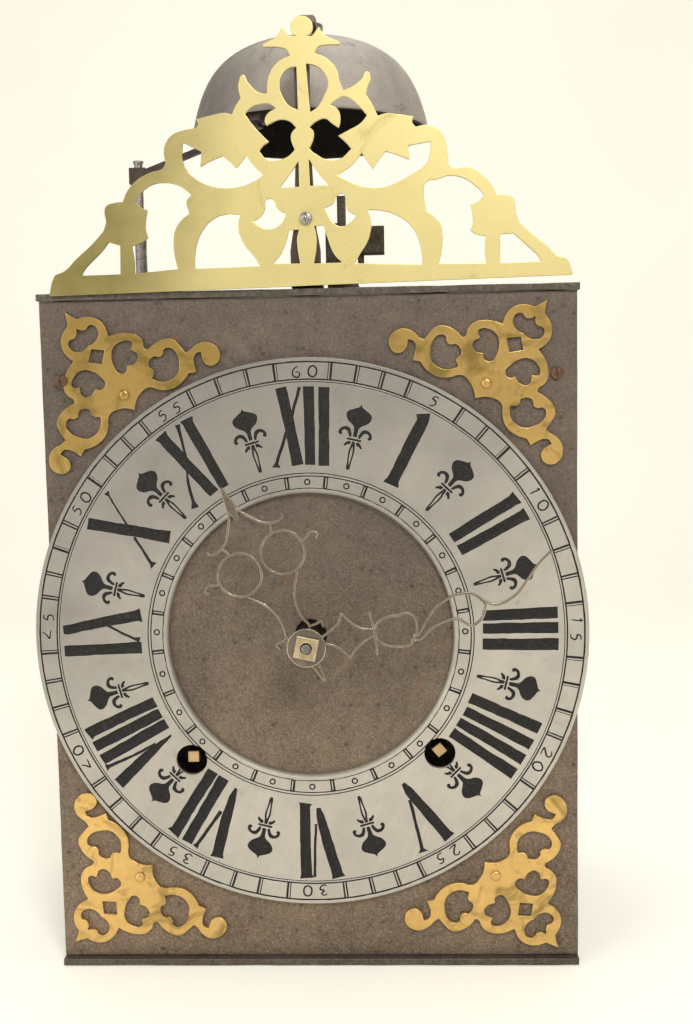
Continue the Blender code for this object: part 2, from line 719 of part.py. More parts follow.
def turned(name, profile, location, along_depth=True, steps=arbor_steps, closed=False, collection=parts):
    points = [(radius, 0.0, reach) for radius, reach in reversed(profile)]
    edges = [(i, i + 1) for i in range(len(points) - 1)]
    if closed:
        edges.append((len(points) - 1, 0))
    mesh = bpy.data.meshes.new(name)
    mesh.from_pydata(points, edges, [])
    obj = new_object(name, mesh, location, collection)
    if along_depth:
        obj.rotation_euler = (-math.pi / 2, 0.0, 0.0)
    screw = obj.modifiers.new("Turn", 'SCREW')
    screw.axis = 'Z'
    screw.angle = 2 * math.pi
    screw.steps = steps
    screw.render_steps = steps
    screw.use_merge_vertices = True
    screw.merge_threshold = clearance / 100
    screw.use_smooth_shade = True
    return obj


def stepped(sections, end):
    profile = [(0.0, sections[0][0])]
    for i, (start, radius) in enumerate(sections):
        stop = sections[i + 1][0] if i + 1 < len(sections) else end
        profile.append((radius, start))
        profile.append((radius, stop))
    profile.append((0.0, end))
    return profile


def arbor(name, place, sections, end, steps=arbor_steps, collection=parts):
    return turned(name, stepped(sections, end), spot(place[0], 0.0, place[1]), True, steps, False, collection)


def rod(name, x, depth, sections, end, steps=arbor_steps, collection=parts):
    return turned(name, stepped(sections, end), spot(x, depth, 0.0), False, steps, False, collection)


def mesh_of(curve_object, name, collection):
    graph = bpy.context.evaluated_depsgraph_get()
    mesh = bpy.data.meshes.new_from_object(curve_object.evaluated_get(graph))
    mesh.name = name
    bm = bmesh.new()
    bm.from_mesh(mesh)
    bmesh.ops.remove_doubles(bm, verts=bm.verts, dist=clearance / 100)
    bmesh.ops.recalc_face_normals(bm, faces=bm.faces)
    bm.to_mesh(mesh)
    bm.free()
    bpy.data.objects.remove(curve_object, do_unlink=True)
    return new_object(name, mesh, Vector((0.0, 0.0, 0.0)), collection)


def add_smooth_loop(curve, loop):
    spline = curve.splines.new('BEZIER')
    spline.bezier_points.add(len(loop) - 1)
    spline.use_cyclic_u = True
    for point, (x, y, corner) in zip(spline.bezier_points, loop):
        point.co = (x, y, 0.0)
        kind = 'VECTOR' if corner else 'AUTO'
        point.handle_left_type = kind
        point.handle_right_type = kind


def add_straight_loop(curve, loop):
    spline = curve.splines.new('POLY')
    spline.points.add(len(loop) - 1)
    spline.use_cyclic_u = True
    for point, (x, y) in zip(spline.points, loop):
        point.co = (x, y, 0.0, 1.0)


def flat(name, loops, thickness, location, turn=0.0, upright=True, collection=parts):
    curve = bpy.data.curves.new(name, 'CURVE')
    curve.dimensions = '2D'
    curve.fill_mode = 'BOTH'
    curve.extrude = thickness / 2
    curve.resolution_u = outline_steps
    for loop in loops:
        if len(loop[0]) > 2:
            add_smooth_loop(curve, loop)
        else:
            add_straight_loop(curve, loop)
    drawn = new_object(name, curve, Vector((0.0, 0.0, 0.0)), cutters)
    bpy.context.view_layer.update()
    obj = mesh_of(drawn, name, collection)
    obj.location = location
    if upright:
        obj.rotation_euler = (math.pi / 2, -math.radians(turn), 0.0)
    else:
        obj.rotation_euler = (0.0, 0.0, math.radians(turn))
    return obj


def combine(base, tool, operation):
    step = base.modifiers.new(operation.title(), 'BOOLEAN')
    step.operation = operation
    step.solver = 'EXACT'
    step.object = tool


def cut(base, *tools):
    for tool in tools:
        combine(base, tool, 'DIFFERENCE')
    return base


def join(base, *tools):
    for tool in tools:
        combine(base, tool, 'UNION')
    return base


# Outline helpers

def circle(radius, steps=hole_steps, centre=(0.0, 0.0)):
    loop = []
    for i in range(steps):
        angle = 2 * math.pi * i / steps
        loop.append((centre[0] + radius * math.cos(angle), centre[1] + radius * math.sin(angle)))
    return loop


def gear(teeth, module, phase):
    pitch = 2 * math.pi / teeth
    radius = teeth * module / 2
    root = radius - tooth_fall_share * module
    tip = radius + tooth_rise_share * module
    loop = []
    for i in range(teeth):
        middle = phase + i * pitch
        corners = ((-tooth_root_share, root), (-tooth_tip_share, tip), (tooth_tip_share, tip),
                   (tooth_root_share, root))
        for share, reach in corners:
            angle = middle + share * pitch
            loop.append((reach * math.cos(angle), reach * math.sin(angle)))
    return loop


def windows(inner, outer, phase):
    loops = []
    for i in range(spoke_count):
        start = phase + 2 * math.pi * i / spoke_count
        stop = start + 2 * math.pi / spoke_count
        loop = []
        for radius, forward in ((outer, True), (inner, False)):
            slant = math.asin(spoke_width / 2 / radius)
            first = start + slant
            last = stop - slant
            for k in range(arc_steps):
                share = k / (arc_steps - 1)
                if not forward:
                    share = 1 - share
                angle = first + (last - first) * share
                loop.append((radius * math.cos(angle), radius * math.sin(angle)))
        loops.append(loop)
    return loops


def crossed_gear(teeth, module, phase, hub, rim_width=rim_share):
    rim = teeth * module / 2 - rim_width * module
    return [gear(teeth, module, phase)] + windows(hub, rim, phase)


def meshed_phase(teeth, phase, direction, follower_teeth):
    pitch = 2 * math.pi / teeth
    follower_pitch = 2 * math.pi / follower_teeth
    return direction + math.pi - follower_pitch * (0.5 - (direction - phase) / pitch)


def direction_between(start, end):
    return math.atan2(end[1] - start[1], end[0] - start[0])


def meeting_spot(first, first_reach, second, second_reach):
    gap = math.dist(first, second)
    along = (first_reach ** 2 - second_reach ** 2 + gap ** 2) / (2 * gap)
    aside = math.sqrt(first_reach ** 2 - along ** 2)
    ux = (second[0] - first[0]) / gap
    uz = (second[1] - first[1]) / gap
    return (first[0] + along * ux - aside * uz, first[1] + along * uz + aside * ux)


def shifted(points, scale, shift, side=1.0):
    moved = [(side * x * scale + shift[0], y * scale + shift[1], corner) for x, y, corner in points]
    return moved if side > 0 else moved[::-1]


def mirrored_across(half, scale):
    upper = [(x * scale, y * scale, corner) for x, y, corner in half]
    lower = [(x * scale, -y * scale, corner) for x, y, corner in reversed(half) if y > 0]
    return upper + lower


def strip(points, length, width, side=1.0):
    spots = [Vector((x * length, -side * y * length)) for x, y in points]
    left = []
    right = []
    for i, here in enumerate(spots):
        before = spots[max(i - 1, 0)]
        after = spots[min(i + 1, len(spots) - 1)]
        along = (after - before).normalized()
        across = Vector((-along.y, along.x)) * width / 2
        left.append(tuple(here + across))
        right.append(tuple(here - across))
    return left + right[::-1]


# Derived positions

great_reach = (great_teeth + great_pinion_teeth) * great_module / 2
drive_reach = drive_teeth * drive_module
second_reach = (second_teeth + second_pinion_teeth) * second_module / 2
motion_reach = (intermediate_teeth + minute_pinion_teeth) * motion_module / 2
locking_reach = (locking_teeth + fly_pinion_teeth) * locking_module / 2
corner_spots = []
for corner_name, pin_direction, ring_gap, cusp_direction in corner_places:
    pin_reach = ring_radius + ring_gap
    pin_angle = math.radians(pin_direction)
    corner_spots.append((corner_name, pin_reach * math.cos(pin_angle),
                         ring_height + pin_reach * math.sin(pin_angle), cusp_direction))
second_spot = meeting_spot(centre_spot, drive_reach, going_barrel_spot, great_reach)
going_bar_x = (going_barrel_spot[0] + second_spot[0]) / 2
contrate_aside = going_bar_x - second_spot[0]
contrate_spot = (going_bar_x, second_spot[1] + math.sqrt(second_reach ** 2 - contrate_aside ** 2))
intermediate_spot = (
    centre_spot[0] + motion_reach * math.cos(math.radians(intermediate_direction)),
    centre_spot[1] + motion_reach * math.sin(math.radians(intermediate_direction)),
)
pin_wheel_spot = (strike_barrel_spot[0], strike_barrel_spot[1] + great_reach)
locking_spot = (pin_wheel_spot[0], pin_wheel_spot[1] + second_reach)
fly_spot = (locking_spot[0], locking_spot[1] + locking_reach)
bar_floor = bottom_thickness + clearance
bar_ceiling = top_underside - clearance
back_pivot_end = back_bar_depth + bar_thickness + pivot_tail
contrate_radius = contrate_teeth * contrate_module / 2
crown_pinion_radius = crown_pinion_teeth * contrate_module / 2
contrate_pitch_depth = contrate_disc_depth + contrate_disc_thickness * 2 + contrate_module
crown_depth = contrate_pitch_depth + crown_pinion_radius
crown_pinion_height = contrate_spot[1] + contrate_radius
potence_low_height = crown_pinion_height - potence_drop
potence_high_height = crown_pinion_height + potence_rise
crown_disc_height = potence_high_height + crown_disc_lift
crown_root_height = crown_disc_height + crown_root_lift
crown_tip_height = crown_root_height + crown_tooth_length
verge_height = crown_tip_height + verge_rise
hammer_tail_height = pin_wheel_spot[1] + pin_circle_radius + hammer_tail_lift
hammer_direction = math.atan2(hammer_head_depth - hammer_depth, hammer_head_x - hammer_x)
hammer_reach = math.hypot(hammer_head_depth - hammer_depth, hammer_head_x - hammer_x)
bell_top = bell_rim_height + bell_height
stand_top = bell_top + bell_bolt_head_height + stand_thickness

# Phases of the meshed wheels, as angles of one tooth in the front view

second_phase = 0.0
great_pinion_phase = 0.0
to_going_barrel = direction_between(second_spot, going_barrel_spot)
going_great_phase = meshed_phase(great_pinion_teeth, great_pinion_phase, to_going_barrel, great_teeth)
to_contrate = direction_between(second_spot, contrate_spot)
contrate_pinion_phase = meshed_phase(second_teeth, second_phase, to_contrate, second_pinion_teeth)
to_centre = direction_between(second_spot, centre_spot)
drive_phase = 0.0
minute_drive_phase = meshed_phase(drive_teeth, drive_phase, to_centre, drive_teeth)
to_intermediate = direction_between(centre_spot, intermediate_spot)
minute_pinion_phase = 0.0
intermediate_phase = meshed_phase(minute_pinion_teeth, minute_pinion_phase, to_intermediate, intermediate_teeth)
from_intermediate = direction_between(intermediate_spot, centre_spot)
intermediate_pinion_phase = 0.0
hour_phase = meshed_phase(intermediate_pinion_teeth, intermediate_pinion_phase, from_intermediate, hour_teeth)
straight_up = math.pi / 2
contrate_phase = straight_up + math.pi / contrate_teeth
pin_pinion_phase = 0.0
strike_great_phase = meshed_phase(great_pinion_teeth, pin_pinion_phase, -straight_up, great_teeth)
pin_wheel_phase = 0.0
locking_pinion_phase = meshed_phase(second_teeth, pin_wheel_phase, straight_up, second_pinion_teeth)
locking_phase = 0.0
fly_pinion_phase = meshed_phase(locking_teeth, locking_phase, straight_up, fly_pinion_teeth)


# Cage

def plate_outline(width):
    return (plate_centre - width / 2, plate_centre + width / 2)


def bottom_plate():
    plate = box("bottom_plate", plate_outline(bottom_width), (-bottom_reach, cage_depth),
                (0.0, bottom_thickness), parts)
    for side in (-1, 1):
        x = plate_centre + side * door_axis_offset
        heights = (bottom_thickness - door_pin_length - clearance, bottom_thickness + clearance)
        cut(plate, upright_drill("bottom_plate_door_hole", x, door_axis_depth,
                                 door_pin_radius + clearance, heights))
    pivot = (bottom_thickness - door_pin_length - clearance, bottom_thickness + clearance)
    cut(plate, upright_drill("bottom_plate_hammer_hole", hammer_x, hammer_depth,
                             hammer_upper_radius + clearance, pivot))
    return pitted_iron(plate)


def top_plate():
    plate = box("top_plate", plate_outline(top_width), (-top_reach, cage_depth),
                (top_underside, top_surface), parts)
    for side in (-1, 1):
        x = plate_centre + side * door_axis_offset
        heights = (top_underside - clearance, top_underside + door_pin_length + clearance)
        cut(plate, upright_drill("top_plate_door_hole", x, door_axis_depth,
                                 door_pin_radius + clearance, heights))
    through = (top_underside - clearance, top_surface + clearance)
    cut(plate, upright_drill("top_plate_hammer_hole", hammer_x, hammer_depth,
                             hammer_lower_radius + clearance, through, hole_steps))
    return pitted_iron(plate)


def posts():
    for side_name, side in (("left", -1), ("right", 1)):
        x = plate_centre + side * post_spacing / 2
        across = (x - post_size / 2, x + post_size / 2)
        for place, depth in (("front", post_front_depth), ("back", post_back_depth)):
            post = box("post_" + place + "_" + side_name, across, (depth, depth + post_size),
                       (bar_floor, bar_ceiling), parts)
            if place == "front":
                screw_x, screw_height = dial_screw_spots[0] if side < 0 else dial_screw_spots[1]
                depths = (post_front_depth - clearance, post_front_depth + dial_screw_reach)
                cut(post, drill("post_screw_hole", screw_x, screw_height,
                                screw_shank_radius + clearance, depths))
            black_iron(post)


def train_bars():
    bars = (
        ("going_front_bar", going_bar_x, front_bar_depth, bar_width),
        ("going_back_bar", going_bar_x, back_bar_depth, bar_width),
        ("strike_front_bar", strike_barrel_spot[0], front_bar_depth, bar_width),
        ("strike_back_bar", strike_barrel_spot[0], back_bar_depth, bar_width),
        ("centre_bar", centre_spot[0], front_bar_depth, centre_bar_width),
    )
    holes = {
        "going_front_bar": (
            (going_barrel_spot, barrel_arbor_radius), (second_spot, arbor_radius),
            (contrate_spot, pivot_radius), ((going_bar_x, verge_height), verge_radius),
        ),
        "going_back_bar": (
            (going_barrel_spot, barrel_pivot_radius), (second_spot, pivot_radius), (contrate_spot, pivot_radius),
        ),
        "strike_front_bar": (
            (strike_barrel_spot, barrel_arbor_radius), (pin_wheel_spot, pivot_radius),
            (locking_spot, pivot_radius), (fly_spot, pivot_radius),
        ),
        "strike_back_bar": (
            (strike_barrel_spot, barrel_pivot_radius), (pin_wheel_spot, pivot_radius),
            (locking_spot, pivot_radius), (fly_spot, pivot_radius),
        ),
        "centre_bar": ((centre_spot, centre_arbor_radius),),
    }
    for name, x, depth, width in bars:
        bar = box(name, (x - width / 2, x + width / 2), (depth, depth + bar_thickness),
                  (bar_floor, bar_ceiling), parts)
        for place, radius in holes[name]:
            depths = (depth - clearance, depth + bar_thickness + clearance)
            cut(bar, drill(name + "_hole", place[0], place[1], radius + clearance, depths, hole_steps))
        black_iron(bar)


# Dial

def winding_holes(base, radius, depths):
    for place in (going_barrel_spot, strike_barrel_spot):
        cut(base, drill(base.name + "_winding_hole", place[0], place[1], radius, depths, drum_steps))


def dial_plate():
    plate = box("dial_plate", plate_outline(dial_width), (0.0, dial_thickness), (bar_floor, bar_ceiling), parts)
    through = (-clearance, dial_thickness + clearance)
    cut(plate, drill("dial_centre_hole", centre_spot[0], centre_spot[1], centre_hole_radius,
                     through, drum_steps))
    winding_holes(plate, plate_winding_hole_radius, through)
    for x, height in dial_screw_spots:
        cut(plate, drill("dial_screw_hole", x, height, screw_shank_radius + clearance, through))
    for name, x, height, direction in corner_spots:
        cut(plate, drill("dial_pin_hole", x, height, corner_pin_radius + clearance, through))
    return pitted_iron(plate)


def chapter_ring():
    back = -clearance
    front = back - ring_thickness
    profile = [
        (ring_inner_radius, front), (ring_radius, front), (ring_radius, back), (ring_inner_radius, back),
    ]
    ring = turned("chapter_ring", profile, spot(centre_spot[0], 0.0, centre_spot[1]), True, fine_steps, True)
    winding_holes(ring, winding_hole_radius, (front - clearance, back + clearance))
    return pewter(ring)


def screw(name, x, height, head_back, reach, slot_turn):
    front = head_back - screw_head_height
    sections = [(front, screw_head_radius), (head_back, screw_shank_radius)]
    made = arbor(name, (x, height), sections, reach, hole_steps)
    slot_size = (screw_head_radius * 3, screw_slot_depth * 2, screw_slot_width)
    slot = turned_box(name + "_slot", slot_size, spot(x, front, height), Matrix.Rotation(slot_turn, 4, 'Y'))
    return blued_steel(cut(made, slot))


def dial_screws():
    end = post_front_depth + dial_screw_reach - clearance
    over_corner = -clearance - corner_thickness - clearance
    screw("dial_screw_left", dial_screw_spots[0][0], dial_screw_spots[0][1], over_corner, end, straight_up)
    screw("dial_screw_right", dial_screw_spots[1][0], dial_screw_spots[1][1], -clearance, end, straight_up / 3)


def corner_pieces():
    loops = [mirrored_across(corner_outer_shares, corner_reach)]
    for half in corner_middle_shares:
        loops.append(mirrored_across(half, corner_reach))
    for window in corner_side_shares:
        loops.append([(x * corner_reach, y * corner_reach, corner) for x, y, corner in window])
        loops.append([(x * corner_reach, -y * corner_reach, corner) for x, y, corner in reversed(window)])
    loops.append([(x, y, False) for x, y in circle(corner_pin_radius + clearance, small_hole_steps)])
    middle = -clearance - corner_thickness / 2
    for name, x, height, direction in corner_spots:
        piece = flat("corner_" + name, loops, corner_thickness, spot(x, middle, height), direction)
        worked_brass(piece)
        head_back = -clearance - corner_thickness - clearance
        head_front = head_back - corner_pin_head_height
        sections = [(head_front, corner_pin_head_radius), (head_back, corner_pin_radius)]
        pin = arbor("corner_pin_" + name, (x, height), sections, dial_thickness - clearance, small_hole_steps)
        worked_brass(pin)


# Pediment, bell and their stand

def fret():
    shift = (fret_axis - fret_screw_x, fret_base_height - fret_screw_height)
    right = shifted(fret_right_outer_shares, fret_half_width, shift)
    loops = [right + shifted(fret_left_outer_shares, fret_half_width, shift, -1.0)[:-1]]
    loops += [shifted(window, fret_half_width, shift) for window in fret_right_window_shares]
    loops += [shifted(window, fret_half_width, shift, -1.0) for window in fret_left_window_shares]
    loops.append([(x, y, False) for x, y in circle(screw_shank_radius + clearance, small_hole_steps)])
    middle = fret_back_depth - fret_thickness / 2
    place = spot(fret_screw_x, middle, fret_screw_height)
    return worked_brass(flat("fret", loops, fret_thickness, place, fret_tilt))


def fret_screw():
    head_back = fret_back_depth - fret_thickness - clearance
    reach = fret_back_depth + clearance + stand_thickness
    return screw("fret_screw", fret_screw_x, fret_screw_height, head_back, reach, straight_up)


def bell_stand():
    front = fret_back_depth + clearance
    line = front + stand_thickness / 2
    foot_level = top_surface + clearance + stand_thickness / 2
    path = [
        (line + stand_foot_length, foot_level, stand_foot_width),
        (line + stand_bend, foot_level, stand_foot_width),
        (line, foot_level + stand_bend, stand_foot_width),
        (line, fret_screw_height - stand_foot_width, stand_foot_width),
        (line, top_surface + stand_neck_lift, stand_neck_width),
        (line, top_surface + stand_slim_lift, stand_top_width),
        (line, bell_rim_height, stand_top_width),
    ]
    middle_top = bell_top + bell_bolt_head_height + stand_thickness / 2
    pad_depth = bell_depth - bell_bolt_head_radius - stand_thickness
    for k in range(1, stand_curve_steps + 1):
        angle = straight_up * k / stand_curve_steps
        depth = pad_depth + (line - pad_depth) * math.cos(angle)
        height = bell_rim_height + (middle_top - bell_rim_height) * math.sin(angle)
        path.append((depth, height, stand_top_width))
    path.append((bell_depth + bell_bolt_head_radius, middle_top, stand_top_width))
    bm = bmesh.new()
    rows = []
    for i, (depth, height, width) in enumerate(path):
        before = path[max(i - 1, 0)]
        after = path[min(i + 1, len(path) - 1)]
        along = Vector((after[0] - before[0], after[1] - before[1])).normalized()
        out = Vector((-along.y, along.x)) * stand_thickness / 2
        row = []
        for x, side in ((-width / 2, 1), (width / 2, 1), (width / 2, -1), (-width / 2, -1)):
            row.append(bm.verts.new(spot(stand_x + x, depth + side * out.x, height + side * out.y)))
        rows.append(row)
    for row, after in zip(rows, rows[1:]):
        for k in range(len(row)):
            following = (k + 1) % len(row)
            bm.faces.new((row[k], row[following], after[following], after[k]))
    bm.faces.new(rows[0])
    bm.faces.new(rows[-1][::-1])
    stand = new_object("bell_stand", mesh_from("bell_stand", bm), Vector((0.0, 0.0, 0.0)), parts)
    cut(stand, drill("stand_screw_hole", fret_screw_x, fret_screw_height, screw_shank_radius + clearance,
                     (front - clearance, front + stand_thickness + clearance)))
    cut(stand, upright_drill("stand_bolt_hole", 0.0, bell_depth, bell_bolt_radius + clearance,
                             (bell_top + clearance, stand_top + clearance), hole_steps))
    return brown_iron(stand)


def bell():
    outer = [(bell_hole_radius, bell_top)]
    inner = []
    for across, up in reversed(bell_shares):
        outer.append((across * bell_radius, bell_rim_height + up * bell_height))
    inner_radius = bell_radius - bell_wall
    inner_height = bell_height - bell_wall
    for across, up in bell_shares:
        inner.append((across * inner_radius, bell_rim_height + up * inner_height))
    inner.append((bell_hole_radius, bell_rim_height + inner_height))
    profile = (outer + inner)[::-1]
    made = turned("bell", profile, spot(0.0, bell_depth, 0.0), False, bell_steps, True)
    return bell_metal(made)


def bell_bolt():
    inside_top = bell_rim_height + bell_height - bell_wall - clearance
    collar_base = bell_top + clearance
    collar_top = bell_top + bell_bolt_head_height - clearance
    nut_base = stand_top + clearance
    nut_top = nut_base + bell_bolt_head_height / 2
    sections = [
        (inside_top - bell_bolt_head_height, bell_bolt_head_radius), (inside_top, bell_bolt_radius),
        (collar_base, bell_bolt_head_radius), (collar_top, bell_bolt_radius),
        (nut_base, bell_bolt_head_radius), (nut_top, bell_bolt_radius),
    ]
    return blued_steel(rod("bell_bolt", 0.0, bell_depth, sections, nut_top + bell_bolt_rise, hole_steps))


def suspension_bracket():
    base_height = top_surface + clearance
    foot = suspension_foot
    foot_span = (base_height, base_height + suspension_foot_height)
    made = box("suspension_bracket", foot[:2], foot[2:], foot_span, parts)
    upright = suspension_upright
    arm = suspension_arm
    cheek = suspension_cheek
    block = suspension_block
    upright_top = top_surface + suspension_upright_lift
    cheek_span = [top_surface + lift for lift in suspension_cheek_lifts]
    arm_span = [top_surface + lift for lift in suspension_arm_lifts]
    block_span = [top_surface + lift for lift in suspension_block_lifts]
    join(
        made,
        box("suspension_upright", upright[:2], upright[2:], (base_height + clearance, upright_top)),
        box("suspension_cheek", cheek[:2], cheek[2:], cheek_span),
        box("suspension_arm", arm[:2], arm[2:], arm_span),
        box("suspension_block", block[:2], block[2:], block_span),
        rod("suspension_spur", (arm[1] + block[0]) / 2, (arm[2] + arm[3]) / 2,
            [(block_span[0] - suspension_spur_length, suspension_spur_radius)],
            arm_span[1] - clearance, small_hole_steps, cutters),
    )
    return black_iron(made)


# Going train

def wheel_at(name, place, depth, thickness, loops):
    return flat(name, loops, thickness, spot(place[0], depth + thickness / 2, place[1]), 0.0, True, cutters)


def barrel(name, place, square_turn):
    flange = barrel_flange_thickness
    sections = [
        (winding_square_length, barrel_arbor_radius),
        (barrel_start_depth, barrel_flange_radius), (barrel_start_depth + flange, barrel_radius),
        (barrel_end_depth - flange, barrel_flange_radius), (barrel_end_depth, barrel_arbor_radius),
        (back_bar_depth - clearance, barrel_pivot_radius),
    ]
    drum = arbor(name, place, sections, back_pivot_end, drum_steps)
    middle = (winding_square_depth + winding_square_length + clearance) / 2
    size = (winding_square, winding_square_length + clearance - winding_square_depth, winding_square)
    turn = Matrix.Rotation(-math.radians(square_turn), 4, 'Y')
    join(drum, turned_box(name + "_square", size, spot(place[0], middle, place[1]), turn))
    return pale_steel(drum)


def great_wheel(name, place, phase):
    loops = crossed_gear(great_teeth, great_module, phase, barrel_arbor_radius * 2)
    loops.append(circle(barrel_arbor_radius + clearance, drum_steps))
    middle = great_wheel_depth + great_wheel_thickness / 2
    return wheel_brass(flat(name, loops, great_wheel_thickness, spot(place[0], middle, place[1])))


def barrels():
    barrel("going_barrel", going_barrel_spot, going_square_turn)
    barrel("strike_barrel", strike_barrel_spot, strike_square_turn)
    great_wheel("going_great_wheel", going_barrel_spot, going_great_phase)
    great_wheel("strike_great_wheel", strike_barrel_spot, strike_great_phase)


def second_wheel():
    front = drive_wheel_depth - drive_wheel_thickness / 2
    sections = [(front, arbor_radius), (back_bar_depth - clearance, pivot_radius)]
    made = arbor("second_wheel", second_spot, sections, back_pivot_end)
    wheel = wheel_at("second_wheel_disc", second_spot, second_wheel_depth, second_wheel_thickness,
                     crossed_gear(second_teeth, second_module, second_phase, arbor_radius * 3))
    pinion = wheel_at("second_wheel_pinion", second_spot, great_pinion_depth, great_pinion_thickness,
                      [gear(great_pinion_teeth, great_module, great_pinion_phase)])
    return wheel_brass(join(made, wheel, pinion))


def motion_drive_wheel():
    loops = crossed_gear(drive_teeth, drive_module, drive_phase, arbor_radius * 3)
    loops.append(circle(arbor_radius + clearance))
    middle = drive_wheel_depth + drive_wheel_thickness / 2
    made = flat("motion_drive_wheel", loops, drive_wheel_thickness, spot(second_spot[0], middle, second_spot[1]))
    return wheel_brass(made)


def toothed_band(name, inner, outer, floor, crest, place):
    bm = bmesh.new()
    rows = []
    for angle, height in crest:
        row = []
        for radius, level in ((outer, floor), (outer, height), (inner, height), (inner, floor)):
            row.append(bm.verts.new((radius * math.cos(angle), radius * math.sin(angle), level)))
        rows.append(row)
    for i, row in enumerate(rows):
        after = rows[(i + 1) % len(rows)]
        for k in range(len(row)):
            following = (k + 1) % len(row)
            bm.faces.new((row[k], after[k], after[following], row[following]))
    bmesh.ops.triangulate(bm, faces=bm.faces)
    return new_object(name, mesh_from(name, bm), place, cutters)


def contrate_wheel():
    sections = [(front_bar_depth - pivot_tail, pivot_radius)]
    made = arbor("contrate_wheel", contrate_spot, sections, back_pivot_end)
    pinion = wheel_at("contrate_pinion", contrate_spot, third_pinion_depth, third_pinion_thickness,
                      [gear(second_pinion_teeth, second_module, contrate_pinion_phase)])
    band_inner = contrate_radius - contrate_band_width / 2
    band_outer = contrate_radius + contrate_band_width / 2
    loops = [circle(contrate_radius, drum_steps)] + windows(arbor_radius * 3, band_inner - clearance, 0.0)
    disc = wheel_at("contrate_disc", contrate_spot, contrate_disc_depth, contrate_disc_thickness, loops)
    root = contrate_pitch_depth - tooth_fall_share * contrate_module - contrate_disc_depth
    tip = contrate_pitch_depth + tooth_rise_share * contrate_module - contrate_disc_depth
    pitch = 2 * math.pi / contrate_teeth
    crest = []
    for i in range(contrate_teeth):
        middle = -contrate_phase + i * pitch
        crest.append((middle - tooth_root_share * pitch, root))
        crest.append((middle - tooth_tip_share * pitch, tip))
        crest.append((middle + tooth_tip_share * pitch, tip))
        crest.append((middle + tooth_root_share * pitch, root))
    band = toothed_band("contrate_band", band_inner, band_outer, clearance, crest,
                        spot(contrate_spot[0], contrate_disc_depth, contrate_spot[1]))
    band.rotation_euler = (-straight_up, 0.0, 0.0)
    return wheel_brass(join(made, pinion, disc, band))


def crown_wheel():
    x = contrate_spot[0]
    low = potence_low_height
    sections = [(low - pivot_tail, crown_arbor_radius)]
    made = rod("crown_wheel", x, crown_depth, sections, crown_disc_height + crown_disc_thickness + arbor_radius)
    leaves = flat("crown_pinion", [gear(crown_pinion_teeth, contrate_module, 0.0)], crown_pinion_length,
                  spot(x, crown_depth, crown_pinion_height), 0.0, False, cutters)
    rim = crown_radius - crown_band / 2
    loops = [circle(rim, drum_steps)] + windows(arbor_radius * 2, crown_radius - crown_band - clearance, 0.0)
    disc = flat("crown_disc", loops, crown_disc_thickness,
                spot(x, crown_depth, crown_disc_height + crown_disc_thickness / 2), 0.0, False, cutters)
    pitch = 2 * math.pi / crown_teeth
    floor = crown_disc_height + clearance
    crest = []
    for i in range(crown_teeth):
        start = i * pitch
        crest.append((start, crown_root_height - floor))
        crest.append((start + crown_tip_share * pitch, crown_tip_height - floor))
    band = toothed_band("crown_band", crown_radius - crown_band, crown_radius, 0.0, crest,
                        spot(x, crown_depth, floor))
    return wheel_brass(join(made, leaves, disc, band))


def crown_wheel_bracket():
    x = contrate_spot[0]
    across = (x - potence_width / 2, x + potence_width / 2)
    depths = (potence_depth, potence_depth + potence_thickness)
    made = box("crown_wheel_bracket", across, depths, (potence_low_height, bar_ceiling), parts)
    arms = (potence_low_height, potence_high_height)
    for level in arms:
        front = crown_depth - potence_arm_front
        arm_depths = (front, potence_depth + potence_thickness / 2)
        arm_across = (across[0] + clearance, across[1] - clearance)
        arm_heights = (level + clearance, level + potence_arm_thickness)
        join(made, box("potence_arm", arm_across, arm_depths, arm_heights))
    for level in arms:
        heights = (level - clearance, level + potence_arm_thickness + clearance)
        cut(made, upright_drill("potence_hole", x, crown_depth, crown_arbor_radius + clearance, heights))
    cut(made, drill("potence_verge_hole", x, verge_height, verge_radius + clearance,
                    (depths[0] - clearance, depths[1] + clearance)))
    return black_iron(made)


def verge():
    x = contrate_spot[0]
    end = potence_depth + potence_thickness + pivot_tail
    made = arbor("verge", (x, verge_height), [(verge_front_depth, verge_radius)], end)
    for side in (-1, 1):
        depth = crown_depth + side * (crown_radius - crown_band / 2)
        turn = Matrix.Rotation(side * math.pi / 4, 4, 'Y')
        reach = turn @ Vector((0.0, 0.0, -pallet_length / 2))
        size = (pallet_thickness, pallet_width, pallet_length)
        join(made, turned_box("verge_pallet", size, spot(x, depth, verge_height) + reach, turn))
    back = verge_front_depth + clearance + crutch_thickness
    join(made, box("verge_crutch", (x - crutch_width / 2, x + crutch_width / 2),
                   (verge_front_depth + clearance, back), (verge_height - crutch_length, verge_height)))
    foot_low = verge_height - crutch_length
    join(made, box("crutch_foot", (x - crutch_thickness / 2, x + crutch_thickness / 2),
                   (verge_front_depth - crutch_foot_length, back - clearance),
                   (foot_low + clearance, foot_low + crutch_width)))
    return pale_steel(made)


# Motion work behind the dial

def minute_arbor():
    sections = [
        (-hands_reach, centre_thread_radius),
        (minute_hand_front_depth + hand_hub_thickness, centre_arbor_radius),
    ]
    end = front_bar_depth + bar_thickness + pivot_tail * 2
    made = arbor("minute_arbor", centre_spot, sections, end, hole_steps)
    pinion = wheel_at("minute_pinion", centre_spot, minute_pinion_depth, minute_pinion_thickness,
                      [gear(minute_pinion_teeth, motion_module, minute_pinion_phase)])
    return pale_steel(join(made, pinion))


